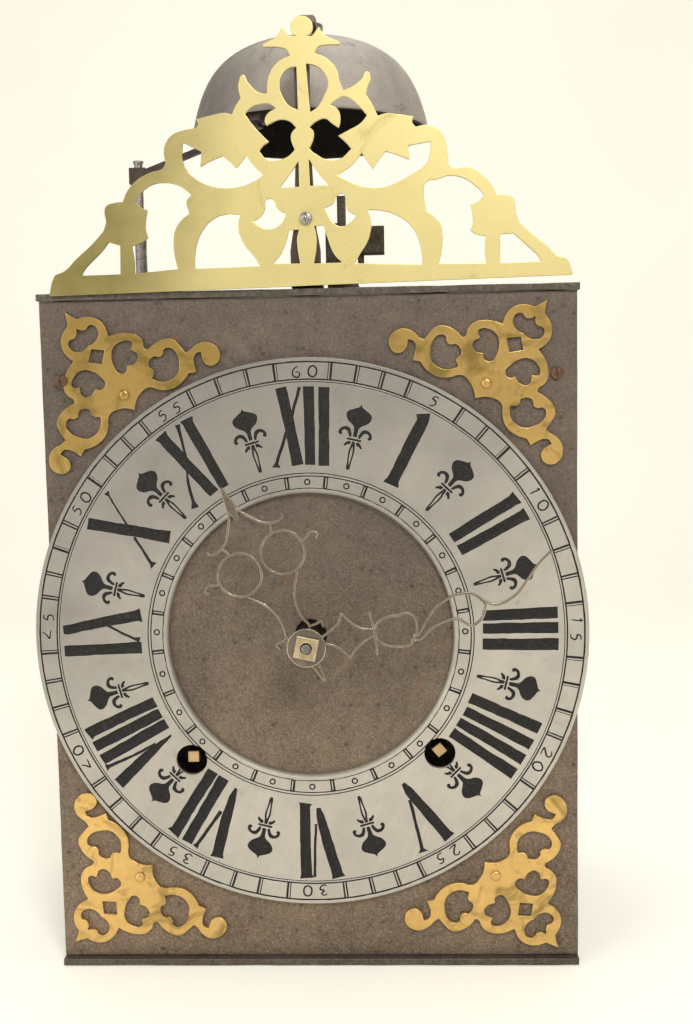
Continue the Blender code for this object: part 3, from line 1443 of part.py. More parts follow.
def minute_drive_wheel():
    loops = crossed_gear(drive_teeth, drive_module, minute_drive_phase, arbor_radius * 3)
    loops.append(circle(centre_arbor_radius + clearance))
    middle = drive_wheel_depth + drive_wheel_thickness / 2
    made = flat("minute_drive_wheel", loops, drive_wheel_thickness, spot(centre_spot[0], middle, centre_spot[1]))
    return wheel_brass(made)


def hour_wheel():
    front = hour_hand_front_depth - clearance
    back = snail_depth + snail_thickness + clearance
    profile = [(hour_pipe_bore, front), (hour_pipe_radius, front), (hour_pipe_radius, back), (hour_pipe_bore, back)]
    made = turned("hour_wheel", profile, spot(centre_spot[0], 0.0, centre_spot[1]), True, hole_steps, True)
    loops = crossed_gear(hour_teeth, motion_module, hour_phase, hour_pipe_radius * 2)
    loops.append(circle((hour_pipe_bore + hour_pipe_radius) / 2, hole_steps))
    join(made, wheel_at("hour_wheel_disc", centre_spot, hour_wheel_depth, hour_wheel_thickness, loops))
    return wheel_brass(made)


def hour_snail():
    step_angle = 2 * math.pi / snail_steps
    loop = []
    for k in range(snail_steps):
        hour = k + 1
        radius = snail_radius - hour * snail_step
        middle = straight_up + (snail_hour_at_top - hour) * step_angle
        for share in (0.5, 0.0, -0.5):
            angle = middle + share * step_angle
            loop.append((radius * math.cos(angle), radius * math.sin(angle)))
    loops = [loop, circle(hour_pipe_radius + clearance)]
    middle = snail_depth + snail_thickness / 2
    made = flat("hour_snail", loops, snail_thickness, spot(centre_spot[0], middle, centre_spot[1]))
    return pale_steel(made)


def intermediate_wheel():
    pinion_loops = [gear(intermediate_pinion_teeth, motion_module, intermediate_pinion_phase),
                    circle(intermediate_bore)]
    middle = intermediate_pinion_depth + intermediate_pinion_thickness / 2
    made = flat("intermediate_wheel", pinion_loops, intermediate_pinion_thickness,
                spot(intermediate_spot[0], middle, intermediate_spot[1]))
    loops = crossed_gear(intermediate_teeth, motion_module, intermediate_phase, intermediate_bore * 3)
    loops.append(circle(intermediate_bore + clearance))
    join(made, wheel_at("intermediate_disc", intermediate_spot, intermediate_wheel_depth,
                        intermediate_wheel_thickness, loops))
    return wheel_brass(made)


def motion_stud():
    back = front_bar_depth + bar_thickness + clearance
    x = intermediate_spot[0]
    half = stud_plate_height / 2
    made = box("motion_stud", (x - half, centre_spot[0] + centre_bar_width / 2), (back, back + stud_plate_thickness),
               (intermediate_spot[1] - half, intermediate_spot[1] + half), parts)
    stud = arbor("motion_stud_pin", intermediate_spot, [(stud_front_depth, stud_radius)],
                 back + stud_plate_thickness - clearance, small_hole_steps, cutters)
    return pale_steel(join(made, stud))


def strike_rack():
    half = rack_width / 2
    foot = rack_foot_width / 2
    low = centre_spot[1] + snail_radius - snail_step + rack_foot_gap
    shoulder = low + rack_foot_height
    loop = [(-foot, low), (foot, low), (foot, shoulder), (half, shoulder + half)]
    for k in range(snail_steps):
        start = rack_teeth_start + k * snail_step
        loop.append((half, start))
        loop.append((half + rack_tooth_depth, start + snail_step))
    loop.append((half, rack_teeth_start + snail_steps * snail_step))
    loop.append((half, rack_top))
    loop.append((-half, rack_top))
    loop.append((-half, shoulder + half))
    loop.append((-foot, shoulder))
    middle = snail_depth + snail_thickness / 2
    made = flat("strike_rack", [loop], snail_thickness, spot(centre_spot[0], middle, 0.0))
    return pale_steel(made)


def rack_guide():
    x = centre_spot[0]
    half = guide_width / 2
    back = front_bar_depth - clearance
    guide_spans = [(ring_height + low, ring_height + high) for low, high in guide_lifts]
    lowest = guide_spans[0][0]
    highest = guide_spans[-1][1]
    made = box("rack_guide", (x - centre_bar_width / 2, x + centre_bar_width / 2),
               (back - guide_back_thickness, back), (lowest - clearance, highest + clearance), parts)
    for low, high in guide_spans:
        arm_depths = (guide_front_depth, back - clearance)
        join(made, box("rack_guide_arm", (x - half, x + half), arm_depths, (low, high)))
    slot_across = (x - rack_width / 2 - clearance, x + rack_width / 2 + rack_tooth_depth + clearance)
    slot_depths = (snail_depth - clearance, snail_depth + snail_thickness + clearance)
    cut(made, box("rack_guide_slot", slot_across, slot_depths, (lowest - half, highest + half)))
    return black_iron(made)


# Striking train

def pin_wheel():
    sections = [
        (front_bar_depth - pivot_tail, pivot_radius),
        (front_bar_depth + bar_thickness + clearance, arbor_radius),
        (back_bar_depth - clearance, pivot_radius),
    ]
    made = arbor("pin_wheel", pin_wheel_spot, sections, back_pivot_end)
    pinion = wheel_at("pin_wheel_pinion", pin_wheel_spot, great_pinion_depth, great_pinion_thickness,
                      [gear(great_pinion_teeth, great_module, pin_pinion_phase)])
    wheel = wheel_at("pin_wheel_disc", pin_wheel_spot, pin_wheel_depth, pin_wheel_thickness,
                     crossed_gear(second_teeth, second_module, pin_wheel_phase, arbor_radius * 3, pin_rim_share))
    pins = []
    for k in range(pin_count):
        angle = 2 * math.pi * k / pin_count + math.pi / pin_count
        middle = (pin_circle_radius * math.cos(angle), pin_circle_radius * math.sin(angle))
        pins.append(circle(pin_radius, small_hole_steps, middle))
    pin_set = wheel_at("pin_wheel_pins", pin_wheel_spot, pin_wheel_depth - pin_length,
                       pin_length + pin_wheel_thickness / 2, pins)
    return wheel_brass(join(made, pinion, wheel, pin_set))


def locking_wheel():
    sections = [
        (front_bar_depth - pivot_tail, pivot_radius),
        (front_bar_depth + bar_thickness + clearance, arbor_radius),
        (back_bar_depth - clearance, pivot_radius),
    ]
    made = arbor("locking_wheel", locking_spot, sections, back_pivot_end)
    pinion = wheel_at("locking_pinion", locking_spot, locking_pinion_depth, locking_pinion_thickness,
                      [gear(second_pinion_teeth, second_module, locking_pinion_phase)])
    wheel = wheel_at("locking_disc", locking_spot, locking_wheel_depth, locking_wheel_thickness,
                     crossed_gear(locking_teeth, locking_module, locking_phase, arbor_radius * 3))
    return wheel_brass(join(made, pinion, wheel))


def fly_arbor():
    sections = [(front_bar_depth - pivot_tail, pivot_radius)]
    made = arbor("fly_arbor", fly_spot, sections, back_pivot_end)
    pinion = wheel_at("fly_pinion", fly_spot, fly_pinion_depth, fly_pinion_thickness,
                      [gear(fly_pinion_teeth, locking_module, fly_pinion_phase)])
    return pale_steel(join(made, pinion))


def fly_vane():
    hub = pivot_radius + arbor_radius
    bore = pivot_radius + clearance
    end = fly_depth + fly_length
    profile = [(bore, fly_depth), (hub, fly_depth), (hub, end), (bore, end)]
    made = turned("fly_vane", profile, spot(fly_spot[0], 0.0, fly_spot[1]), True, arbor_steps, True)
    depths = (fly_depth + clearance, end - clearance)
    x = fly_spot[0]
    join(
        made,
        box("fly_blade_low", (x - fly_thickness / 2, x + fly_thickness / 2), depths,
            (fly_spot[1] - fly_half_length, fly_spot[1] - (hub + bore) / 2)),
        box("fly_blade_high", (x - fly_thickness / 2, x + fly_thickness / 2), depths,
            (fly_spot[1] + (hub + bore) / 2, fly_spot[1] + fly_half_length)),
    )
    return wheel_brass(made)


# Hammer

def hammer_arbor():
    sections = [
        (bottom_thickness - door_pin_length, hammer_upper_radius), (bottom_thickness + clearance, hammer_lower_radius),
        (hammer_shoulder_height, hammer_upper_radius), (hammer_top_height, hammer_cap_radius),
    ]
    made = rod("hammer_arbor", hammer_x, hammer_depth, sections, hammer_top_height + hammer_cap_height, hole_steps)
    turn = Matrix.Rotation(math.radians(hammer_tail_turn), 4, 'Z')
    reach = turn @ Vector((hammer_tail_length / 2, 0.0, hammer_tail_thickness / 2))
    size = (hammer_tail_length, hammer_tail_width, hammer_tail_thickness)
    join(made, turned_box("hammer_tail", size, spot(hammer_x, hammer_depth, hammer_tail_height) + reach, turn))
    return black_iron(made)


def hammer_arm():
    half = hammer_hub_size / 2
    made = box("hammer_arm", (hammer_x - half, hammer_x + half), (hammer_depth - half, hammer_depth + half),
               (hammer_hub_base, hammer_hub_base + hammer_hub_height), parts,
               spot(hammer_x, hammer_depth, hammer_hub_base))
    slope = math.atan2(hammer_arm_rise, hammer_reach)
    length = (hammer_reach - hammer_upper_radius - clearance) / math.cos(slope)
    turn = Matrix.Rotation(hammer_direction, 4, 'Z') @ Matrix.Rotation(-slope, 4, 'Y')
    size = (length, hammer_arm_width, hammer_arm_thickness)
    start = spot(hammer_x, hammer_depth, hammer_arm_base)
    reach = turn @ Vector((hammer_upper_radius + clearance + length / 2, 0.0, 0.0))
    join(made, turned_box("hammer_arm_bar", size, start + reach, turn))
    cut(made, upright_drill("hammer_arm_hole", hammer_x, hammer_depth, hammer_upper_radius + clearance,
                            (hammer_hub_base - clearance, hammer_hub_base + hammer_hub_height + clearance),
                            hole_steps))
    slot_size = (hammer_head_length + clearance * 2, hammer_head_width, hammer_head_height + clearance * 2)
    centre = spot(hammer_head_x, hammer_head_depth, hammer_head_base + hammer_head_height / 2)
    cut(made, turned_box("hammer_arm_end", slot_size, centre, Matrix.Rotation(hammer_direction, 4, 'Z')))
    return blued_steel(made)


def hammer_head():
    axis = spot(hammer_x, hammer_depth, hammer_head_base)
    turn = Matrix.Rotation(hammer_direction, 4, 'Z')
    size = (hammer_head_length, hammer_head_width, hammer_head_height)
    centre = spot(hammer_head_x, hammer_head_depth, hammer_head_base + hammer_head_height / 2)
    made = turned_box("hammer_head", size, centre, turn, parts)
    made.data.transform(Matrix.Translation(centre - axis))
    made.location = axis
    return black_iron(made)


# Side doors

def doors():
    low = bottom_thickness + clearance
    high = top_underside - clearance
    for name, side in (("left_door", -1), ("right_door", 1)):
        x = plate_centre + side * door_axis_offset
        sections = [
            (low + clearance - door_pin_length, door_pin_radius), (low + door_foot_gap, door_roll_radius),
            (high - door_foot_gap, door_pin_radius),
        ]
        made = rod(name, x, door_axis_depth, sections, high - clearance + door_pin_length)
        sheet = box(name + "_sheet", (x - door_thickness / 2, x + door_thickness / 2),
                    (door_front_depth, door_axis_depth), (low + door_foot_gap * 2, high - door_foot_gap * 2))
        pitted_iron(join(made, sheet))


# Hands

def hand_piece(name, points, length, width, thickness, front, direction, side=1.0):
    loop = strip(points, length, width, side)
    return flat(name, [loop], thickness, spot(centre_spot[0], front + thickness / 2, centre_spot[1]),
                direction, True, cutters)


def hour_hand():
    length = hour_hand_length
    front = hour_hand_front_depth
    hub_loops = [circle(hour_hub_share * length, drum_steps), circle(hour_pipe_radius + clearance)]
    made = flat("hour_hand", hub_loops, hand_hub_thickness,
                spot(centre_spot[0], front + hand_hub_thickness / 2, centre_spot[1]), hour_hand_direction)
    strands = (
        (hour_spear_shares, hand_thickness), (hour_lyre_shares, hand_thickness),
        (hour_tail_shares, hand_thickness), (hour_link_shares, hand_curl_thickness),
        (hour_curl_shares, hand_curl_thickness), (hour_scroll_shares, hand_curl_thickness),
    )
    for side in (1.0, -1.0):
        centre = (hour_ring_centre_shares[0] * length, -side * hour_ring_centre_shares[1] * length)
        radius = hour_ring_radius_share * length
        ring_loops = [circle(radius + hour_strip_width / 2, hole_steps, centre),
                      circle(radius - hour_strip_width / 2, hole_steps, centre)]
        join(made, flat("hour_hand_ring", ring_loops, hand_ring_thickness,
                        spot(centre_spot[0], front + hand_ring_thickness / 2, centre_spot[1]),
                        hour_hand_direction, True, cutters))
        for points, thickness in strands:
            join(made, hand_piece("hour_hand_strand", points, length, hour_strip_width, thickness, front,
                                  hour_hand_direction, side))
    return pale_steel(made)


def minute_hand():
    length = minute_hand_length
    front = minute_hand_front_depth
    hub_loops = [circle(minute_hub_share * length, drum_steps), circle(centre_thread_radius + clearance)]
    made = flat("minute_hand", hub_loops, hand_hub_thickness,
                spot(centre_spot[0], front + hand_hub_thickness / 2, centre_spot[1]), minute_hand_direction)
    for points in minute_strand_shares:
        join(made, hand_piece("minute_hand_strand", points, length, minute_strip_width, hand_thickness, front,
                              minute_hand_direction))
    for points in minute_curl_shares:
        join(made, hand_piece("minute_hand_curl", points, length, minute_strip_width, hand_curl_thickness, front,
                              minute_hand_direction))
    join(made, minute_ring(length, front))
    return pale_steel(made)


def minute_ring(length, front):
    centre_x = sum(x for x, y in minute_ring_shares) / len(minute_ring_shares)
    centre_y = sum(y for x, y in minute_ring_shares) / len(minute_ring_shares)
    loops = []
    for side in (1, -1):
        loop = []
        for x, y in minute_ring_shares:
            out = Vector((x - centre_x, y - centre_y))
            grown = out * length + out.normalized() * side * minute_strip_width / 2
            loop.append((centre_x * length + grown.x, -(centre_y * length + grown.y)))
        loops.append(loop)
    return flat("minute_hand_ring", loops, hand_ring_thickness,
                spot(centre_spot[0], front + hand_ring_thickness / 2, centre_spot[1]),
                minute_hand_direction, True, cutters)


def hand_nut():
    half = nut_side / 2
    back = minute_hand_front_depth - clearance
    front = -hands_reach + pivot_tail
    loops = [[(-half, -half), (half, -half), (half, half), (-half, half)],
             circle(centre_thread_radius + clearance, hole_steps)]
    made = flat("hand_nut", loops, back - front, spot(centre_spot[0], (front + back) / 2, centre_spot[1]), nut_turn)
    return blued_steel(made)


def main():
    clear_scene()
    bottom_plate()
    top_plate()
    posts()
    train_bars()
    dial_plate()
    chapter_ring()
    dial_screws()
    corner_pieces()
    fret()
    fret_screw()
    bell_stand()
    bell()
    bell_bolt()
    suspension_bracket()
    barrels()
    second_wheel()
    motion_drive_wheel()
    contrate_wheel()
    crown_wheel()
    crown_wheel_bracket()
    verge()
    minute_arbor()
    minute_drive_wheel()
    hour_wheel()
    hour_snail()
    intermediate_wheel()
    motion_stud()
    strike_rack()
    rack_guide()
    pin_wheel()
    locking_wheel()
    fly_arbor()
    fly_vane()
    hammer_arbor()
    hammer_arm()
    hammer_head()
    doors()
    hour_hand()
    minute_hand()
    hand_nut()


main()
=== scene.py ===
"""Looks of a comtoise clock movement: iron cage, engraved pewter chapter ring, brass pediment and corners,
scrolled steel hands, bell and hammer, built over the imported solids."""

import json
import math

import bmesh
import bpy
from bpy.props import FloatProperty, FloatVectorProperty, PointerProperty
from mathutils import Matrix, Vector, noise
from mathutils.geometry import delaunay_2d_cdt

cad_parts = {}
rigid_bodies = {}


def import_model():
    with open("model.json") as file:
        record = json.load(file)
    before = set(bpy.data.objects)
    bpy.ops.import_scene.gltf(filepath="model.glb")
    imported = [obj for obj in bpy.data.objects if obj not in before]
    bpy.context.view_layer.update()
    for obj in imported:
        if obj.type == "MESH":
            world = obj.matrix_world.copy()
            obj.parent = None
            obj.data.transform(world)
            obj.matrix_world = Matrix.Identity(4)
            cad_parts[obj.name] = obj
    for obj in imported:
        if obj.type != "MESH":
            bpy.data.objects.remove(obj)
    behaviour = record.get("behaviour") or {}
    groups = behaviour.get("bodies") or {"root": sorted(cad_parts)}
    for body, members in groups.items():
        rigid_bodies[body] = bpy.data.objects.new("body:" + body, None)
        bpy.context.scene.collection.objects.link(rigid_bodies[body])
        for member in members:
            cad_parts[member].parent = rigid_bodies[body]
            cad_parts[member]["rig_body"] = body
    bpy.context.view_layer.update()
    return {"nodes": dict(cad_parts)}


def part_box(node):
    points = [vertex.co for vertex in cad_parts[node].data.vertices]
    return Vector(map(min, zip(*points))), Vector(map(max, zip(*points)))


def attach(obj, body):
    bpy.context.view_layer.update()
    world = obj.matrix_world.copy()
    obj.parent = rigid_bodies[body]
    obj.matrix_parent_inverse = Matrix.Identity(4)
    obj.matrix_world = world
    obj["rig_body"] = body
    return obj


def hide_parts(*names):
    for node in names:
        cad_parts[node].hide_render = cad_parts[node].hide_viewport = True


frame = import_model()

bl_info = {
    "name": "Comtoise clock looks",
    "version": (1, 0, 0),
    "blender": (4, 5, 0),
    "location": "3D View > Sidebar > Clock",
    "description": "Builds the finished surfaces of an iron-caged comtoise clock movement over its solids",
    "category": "Object",
}

ring_low, ring_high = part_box("chapter_ring")
ring_centre = (ring_low + ring_high) / 2
ring_radius = (ring_high.x - ring_low.x) / 2
ring_front = ring_low.y
ring_back = ring_high.y
ring_spot = (ring_centre.x, ring_centre.z)

# Metres in a millimetre
MM = 0.001


def srgb(red, green, blue):
    """Linear colour of a swatch given in eight-bit display values."""
    return tuple(((c / 255 + 0.055) / 1.055) ** 2.4 for c in (red, green, blue))


def length(name, description, default):
    return FloatProperty(name=name, description=description, default=default, unit="LENGTH", min=0.0,
                         precision=5)


def colour(name, description, default):
    return FloatVectorProperty(name=name, description=description, default=srgb(*default), subtype="COLOR",
                               min=0.0, max=1.0, size=3)


# Sizes and colours that a user may change

class ClockSizes(bpy.types.PropertyGroup):
    """Sizes of the finished surfaces"""
    groove: length("Engraved line", "Width of the thin lines cut in the chapter ring", 0.00072)
    relief: length("Ring relief", "Depth of the engraving's floor under the ring's face", 0.0009)
    wax_drop: length("Wax level", "How far the black wax lies under the ring's face", 0.00010)
    wobble: length("Hand wobble", "How far a hand-cut line strays from its course", 0.00022)
    ring_bore: length("Ring bore", "Inner radius of the chapter ring", 0.0645)
    rim_line: length("Rim line radius", "Outer radius of the minute track", 0.1229)
    minute_line: length("Minute line radius", "Inner radius of the minute track", 0.1152)
    quarter_line: length("Quarter line radius", "Outer radius of the quarter track", 0.0735)
    inner_line: length("Inner line radius", "Inner radius of the quarter track", 0.0669)
    double_gap: length("Double line", "Distance between the two lines of a double circle", 0.0011)
    figure_stroke: length("Figure stroke", "Width of the strokes of the minute figures", 0.00085)
    sheet_edge: length("Filed edge", "Chamfer along the edges of the brass sheets", 0.00018)
    forged_edge: length("Forged edge", "Rounding along the edges of the iron sheets and bars", 0.0004)
    hammered: length("Hammered wave", "Height of the waves left in the iron by hammering", 0.00016)
    hand_strip: length("Hand strip", "Width of the strips of the two hands", 0.00115)
    bell_wall: length("Bell wall", "Thickness of the bell at its rim", 0.003)


class ClockFinishes(bpy.types.PropertyGroup):
    """Colours of the finished surfaces"""
    pediment_brass: colour("Pediment brass", "Pale scraped brass of the pediment", (238, 220, 152))
    corner_brass: colour("Corner brass", "Golden brass of the corner pieces", (232, 190, 116))
    tarnish: colour("Tarnish", "Greenish-brown tarnish on the brass", (120, 102, 52))
    wheel_brass: colour("Wheel brass", "Aged brass of the wheels", (176, 140, 74))
    pewter: colour("Pewter", "Grey metal of the chapter ring", (199, 192, 180))
    wax: colour("Wax", "Black wax in the engraving", (24, 22, 21))
    dial_iron: colour("Dial iron", "Brown-grey iron of the dial plate", (137, 115, 92))
    rust: colour("Rust", "Small rust spots on the iron", (140, 98, 62))
    cage_iron: colour("Cage iron", "Dark iron of the plates, posts and bars", (100, 90, 79))
    hand_steel: colour("Hand steel", "Grey-brown steel of the hands", (128, 115, 99))
    screw_brown: colour("Screw brown", "Browned steel of the dial screws", (118, 88, 66))
    bell_skin: colour("Bell skin", "Dark grey cast skin of the bell", (190, 180, 170))
    backdrop: colour("Backdrop", "Pale floor and backdrop", (249, 246, 235))


# Building blocks for node trees

def add(tree, kind, settings=None, at=(), **inputs):
    node = tree.nodes.new(kind)
    for name, value in (settings or {}).items():
        setattr(node, name, value)
    pairs = [(node.inputs[i], value) for i, value in enumerate(at) if value is not None]
    pairs += [(node.inputs[name.replace("_", " ")], value) for name, value in inputs.items()]
    for socket, value in pairs:
        if isinstance(value, bpy.types.NodeSocket):
            tree.links.new(value, socket)
        else:
            socket.default_value = value
    return node


def calc(tree, operation, *values):
    return add(tree, "ShaderNodeMath", {"operation": operation}, values).outputs[0]


def product(tree, first, second):
    return calc(tree, "MULTIPLY", first, second)


def dot(tree, first, second):
    node = add(tree, "ShaderNodeVectorMath", {"operation": "DOT_PRODUCT"}, (first, second))
    return node.outputs["Value"]


def ramp(tree, value, low, high, start=0.0, end=1.0):
    return add(tree, "ShaderNodeMapRange", None, (value, low, high, start, end)).outputs[0]


# Places of the factor, the two colours and the mixed colour among the Mix node's sockets
MIX_INPUTS = (0, 6, 7)
MIX_RESULT = 2


def blend(tree, factor, first, second):
    node = add(tree, "ShaderNodeMix", {"data_type": "RGBA"})
    for index, value in zip(MIX_INPUTS, (factor, first, second)):
        if isinstance(value, bpy.types.NodeSocket):
            tree.links.new(value, node.inputs[index])
        elif index == MIX_INPUTS[0]:
            node.inputs[index].default_value = value
        else:
            node.inputs[index].default_value = (*value, 1.0)
    return node.outputs[MIX_RESULT]


def film_over(tree, tint, mask, amount, film):
    """Lays a colour over another where a mask is, by an amount of it."""
    return blend(tree, product(tree, mask, amount), tint, film)


def start_group(name, kind, inputs, outputs):
    tree = bpy.data.node_groups.new(name, kind)
    for label, socket_type, default in inputs:
        socket = tree.interface.new_socket(label, in_out="INPUT", socket_type=socket_type)
        if default is not None:
            socket.default_value = default
    for label, socket_type in outputs:
        tree.interface.new_socket(label, in_out="OUTPUT", socket_type=socket_type)
    return tree, add(tree, "NodeGroupInput").outputs, add(tree, "NodeGroupOutput").inputs


def noise_of(tree, vector, scale, detail=4.0, roughness=0.55, distortion=0.0):
    return add(tree, "ShaderNodeTexNoise", None, Vector=vector, Scale=scale, Detail=detail,
               Roughness=roughness, Distortion=distortion).outputs[0]


# Effects that several finishes share

FLOAT = "NodeSocketFloat"
VECTOR = "NodeSocketVector"
GEOMETRY = "NodeSocketGeometry"
OBJECT = "NodeSocketObject"
MATERIAL = "NodeSocketMaterial"

# Scales of a metal's finer noises, as shares of its broad scale or of its grain's
MIDDLE_SCALE = 8.0
PATCH_SCALE = 2.3
SPECK_SCALE = 0.22
PIT_SCALE = 0.2
SAND_SCALE = 1.15

# Scale of the clouds in a film of tarnish and painted shade, and how much finer file marks are across than
# along
CLOUD_SCALE = 26.0
LINE_STRETCH = 0.018

# How much of each noise goes into a metal's tone and into its height
WIDE_IN_TONE, MIDDLE_IN_TONE = 0.6, 0.4
FINE_IN_HEIGHT, MIDDLE_IN_HEIGHT, PITS_IN_HEIGHT = 0.7, 0.3, 0.5

# Where a mask starts in its noise, how far a full setting lowers that, and how wide its soft edge is
STAIN_MASK = (0.70, 0.32, 0.14)
RUST_MASK = (0.74, 0.26, 0.10)

# Parts of a noise's span that become the whole of a tone or a mask
TONE_SPAN = (0.36, 0.64)
PITTED_SPAN = (0.45, 0.60)
LINE_SPAN = (0.32, 0.68)
SCRATCH_SPAN = (0.70, 0.76)
EDGE_SPAN = (0.995, 0.90)
PATINA_AND_SHADE_SPAN = (0.55, 1.5)

# Distances from a pit's middle, in cells: its edge at a full setting, and its flat floor's
PIT_WIDTH, PIT_FLOOR = 0.34, 0.02

# How strongly each effect covers the metal
STAIN_COVER, RUST_COVER, PIT_COVER = 0.75, 0.8, 0.8
LINE_COVER, SCRATCH_COVER = 0.35, 0.5

# Brightness of the dark speckles, pits and file marks, as shares of the metal's dark tone
GRIT_SHADE, PIT_SHADE, LINE_SHADE = 0.35, 0.25, 0.55

# How much clouds break up a film of tarnish and painted shade, file marks add to the height, and rust adds to
# the roughness
CLOUD_AMOUNT = 0.9
LINE_RELIEF = 1.6
RUST_ROUGHNESS = 0.2


def skin_group():
    """Broad tone, stains, rust spots, pits and grain of an old metal surface."""
    tree, given, out = start_group("Metal skin", "ShaderNodeTree", (
        ("Vector", VECTOR, None), ("Broad", FLOAT, 14.0), ("Grain", FLOAT, 900.0),
        ("Stain", FLOAT, 0.4), ("Rust", FLOAT, 0.4), ("Pits", FLOAT, 0.4)),
        [(name, FLOAT) for name in ("Tone", "Stain", "Rust", "Pits", "Speckle", "Height")])
    place, broad, grain = given["Vector"], given["Broad"], given["Grain"]

    def mask(level, amount, limits):
        start, fall, soft = limits
        edge = calc(tree, "SUBTRACT", start, product(tree, amount, fall))
        return ramp(tree, level, edge, calc(tree, "ADD", edge, soft))

    wide = noise_of(tree, place, broad, detail=5.0, roughness=0.6, distortion=0.5)
    middle = noise_of(tree, place, product(tree, broad, MIDDLE_SCALE), detail=6.0, roughness=0.6)
    fine = noise_of(tree, place, grain, detail=4.0, roughness=0.65)
    patches = noise_of(tree, place, product(tree, broad, PATCH_SCALE), detail=8.0, roughness=0.62,
                       distortion=1.4)
    specks = noise_of(tree, place, product(tree, grain, SPECK_SCALE), detail=3.0, roughness=0.6,
                      distortion=0.4)
    sand = noise_of(tree, place, product(tree, grain, SAND_SCALE), detail=3.0, roughness=0.8)
    cells = add(tree, "ShaderNodeTexVoronoi", None, Vector=place,
                Scale=product(tree, grain, PIT_SCALE)).outputs["Distance"]
    tone = calc(tree, "ADD", product(tree, wide, WIDE_IN_TONE), product(tree, middle, MIDDLE_IN_TONE))
    rise = calc(tree, "ADD", product(tree, fine, FINE_IN_HEIGHT), product(tree, middle, MIDDLE_IN_HEIGHT))
    pits = product(tree, ramp(tree, cells, product(tree, given["Pits"], PIT_WIDTH), PIT_FLOOR),
                   ramp(tree, middle, *PITTED_SPAN))
    results = {
        "Tone": ramp(tree, tone, *TONE_SPAN),
        "Stain": mask(patches, given["Stain"], STAIN_MASK),
        "Rust": mask(specks, given["Rust"], RUST_MASK),
        "Pits": pits,
        "Speckle": ramp(tree, sand, *TONE_SPAN),
        "Height": calc(tree, "SUBTRACT", rise, product(tree, pits, PITS_IN_HEIGHT)),
    }
    for name, value in results.items():
        tree.links.new(value, out[name])


def brush_group():
    """Fine parallel lines and a few deeper scratches left by a file or a scraper."""
    tree, given, out = start_group("File marks", "ShaderNodeTree", (
        ("Vector", VECTOR, None), ("Turn", FLOAT, 0.0), ("Fineness", FLOAT, 1600.0)),
        (("Lines", FLOAT), ("Scratches", FLOAT)))
    turned = add(tree, "ShaderNodeVectorRotate", {"rotation_type": "Y_AXIS"}, Vector=given["Vector"],
                 Angle=given["Turn"]).outputs[0]
    parts = add(tree, "ShaderNodeSeparateXYZ", None, (turned,)).outputs
    along = product(tree, parts["X"], product(tree, given["Fineness"], LINE_STRETCH))
    depth = product(tree, parts["Y"], given["Fineness"])
    across = product(tree, parts["Z"], given["Fineness"])
    laid = add(tree, "ShaderNodeCombineXYZ", None, (along, depth, across)).outputs[0]
    lines = noise_of(tree, laid, 1.0, detail=3.0, roughness=0.7)
    sparse = noise_of(tree, laid, 0.35, detail=2.0, roughness=0.5, distortion=0.3)
    tree.links.new(ramp(tree, lines, *LINE_SPAN), out["Lines"])
    tree.links.new(ramp(tree, sparse, *SCRATCH_SPAN), out["Scratches"])


def edge_group():
    """Rounded normal and mask along the edges of a piece."""
    tree, given, out = start_group("Edge wear", "ShaderNodeTree", (("Radius", FLOAT, 0.0005),),
                                   (("Edge", FLOAT), ("Normal", VECTOR)))
    soft = add(tree, "ShaderNodeBevel", {"samples": 6}, Radius=given["Radius"]).outputs[0]
    facing = add(tree, "ShaderNodeNewGeometry").outputs["Normal"]
    tree.links.new(ramp(tree, dot(tree, soft, facing), *EDGE_SPAN), out["Edge"])
    tree.links.new(soft, out["Normal"])


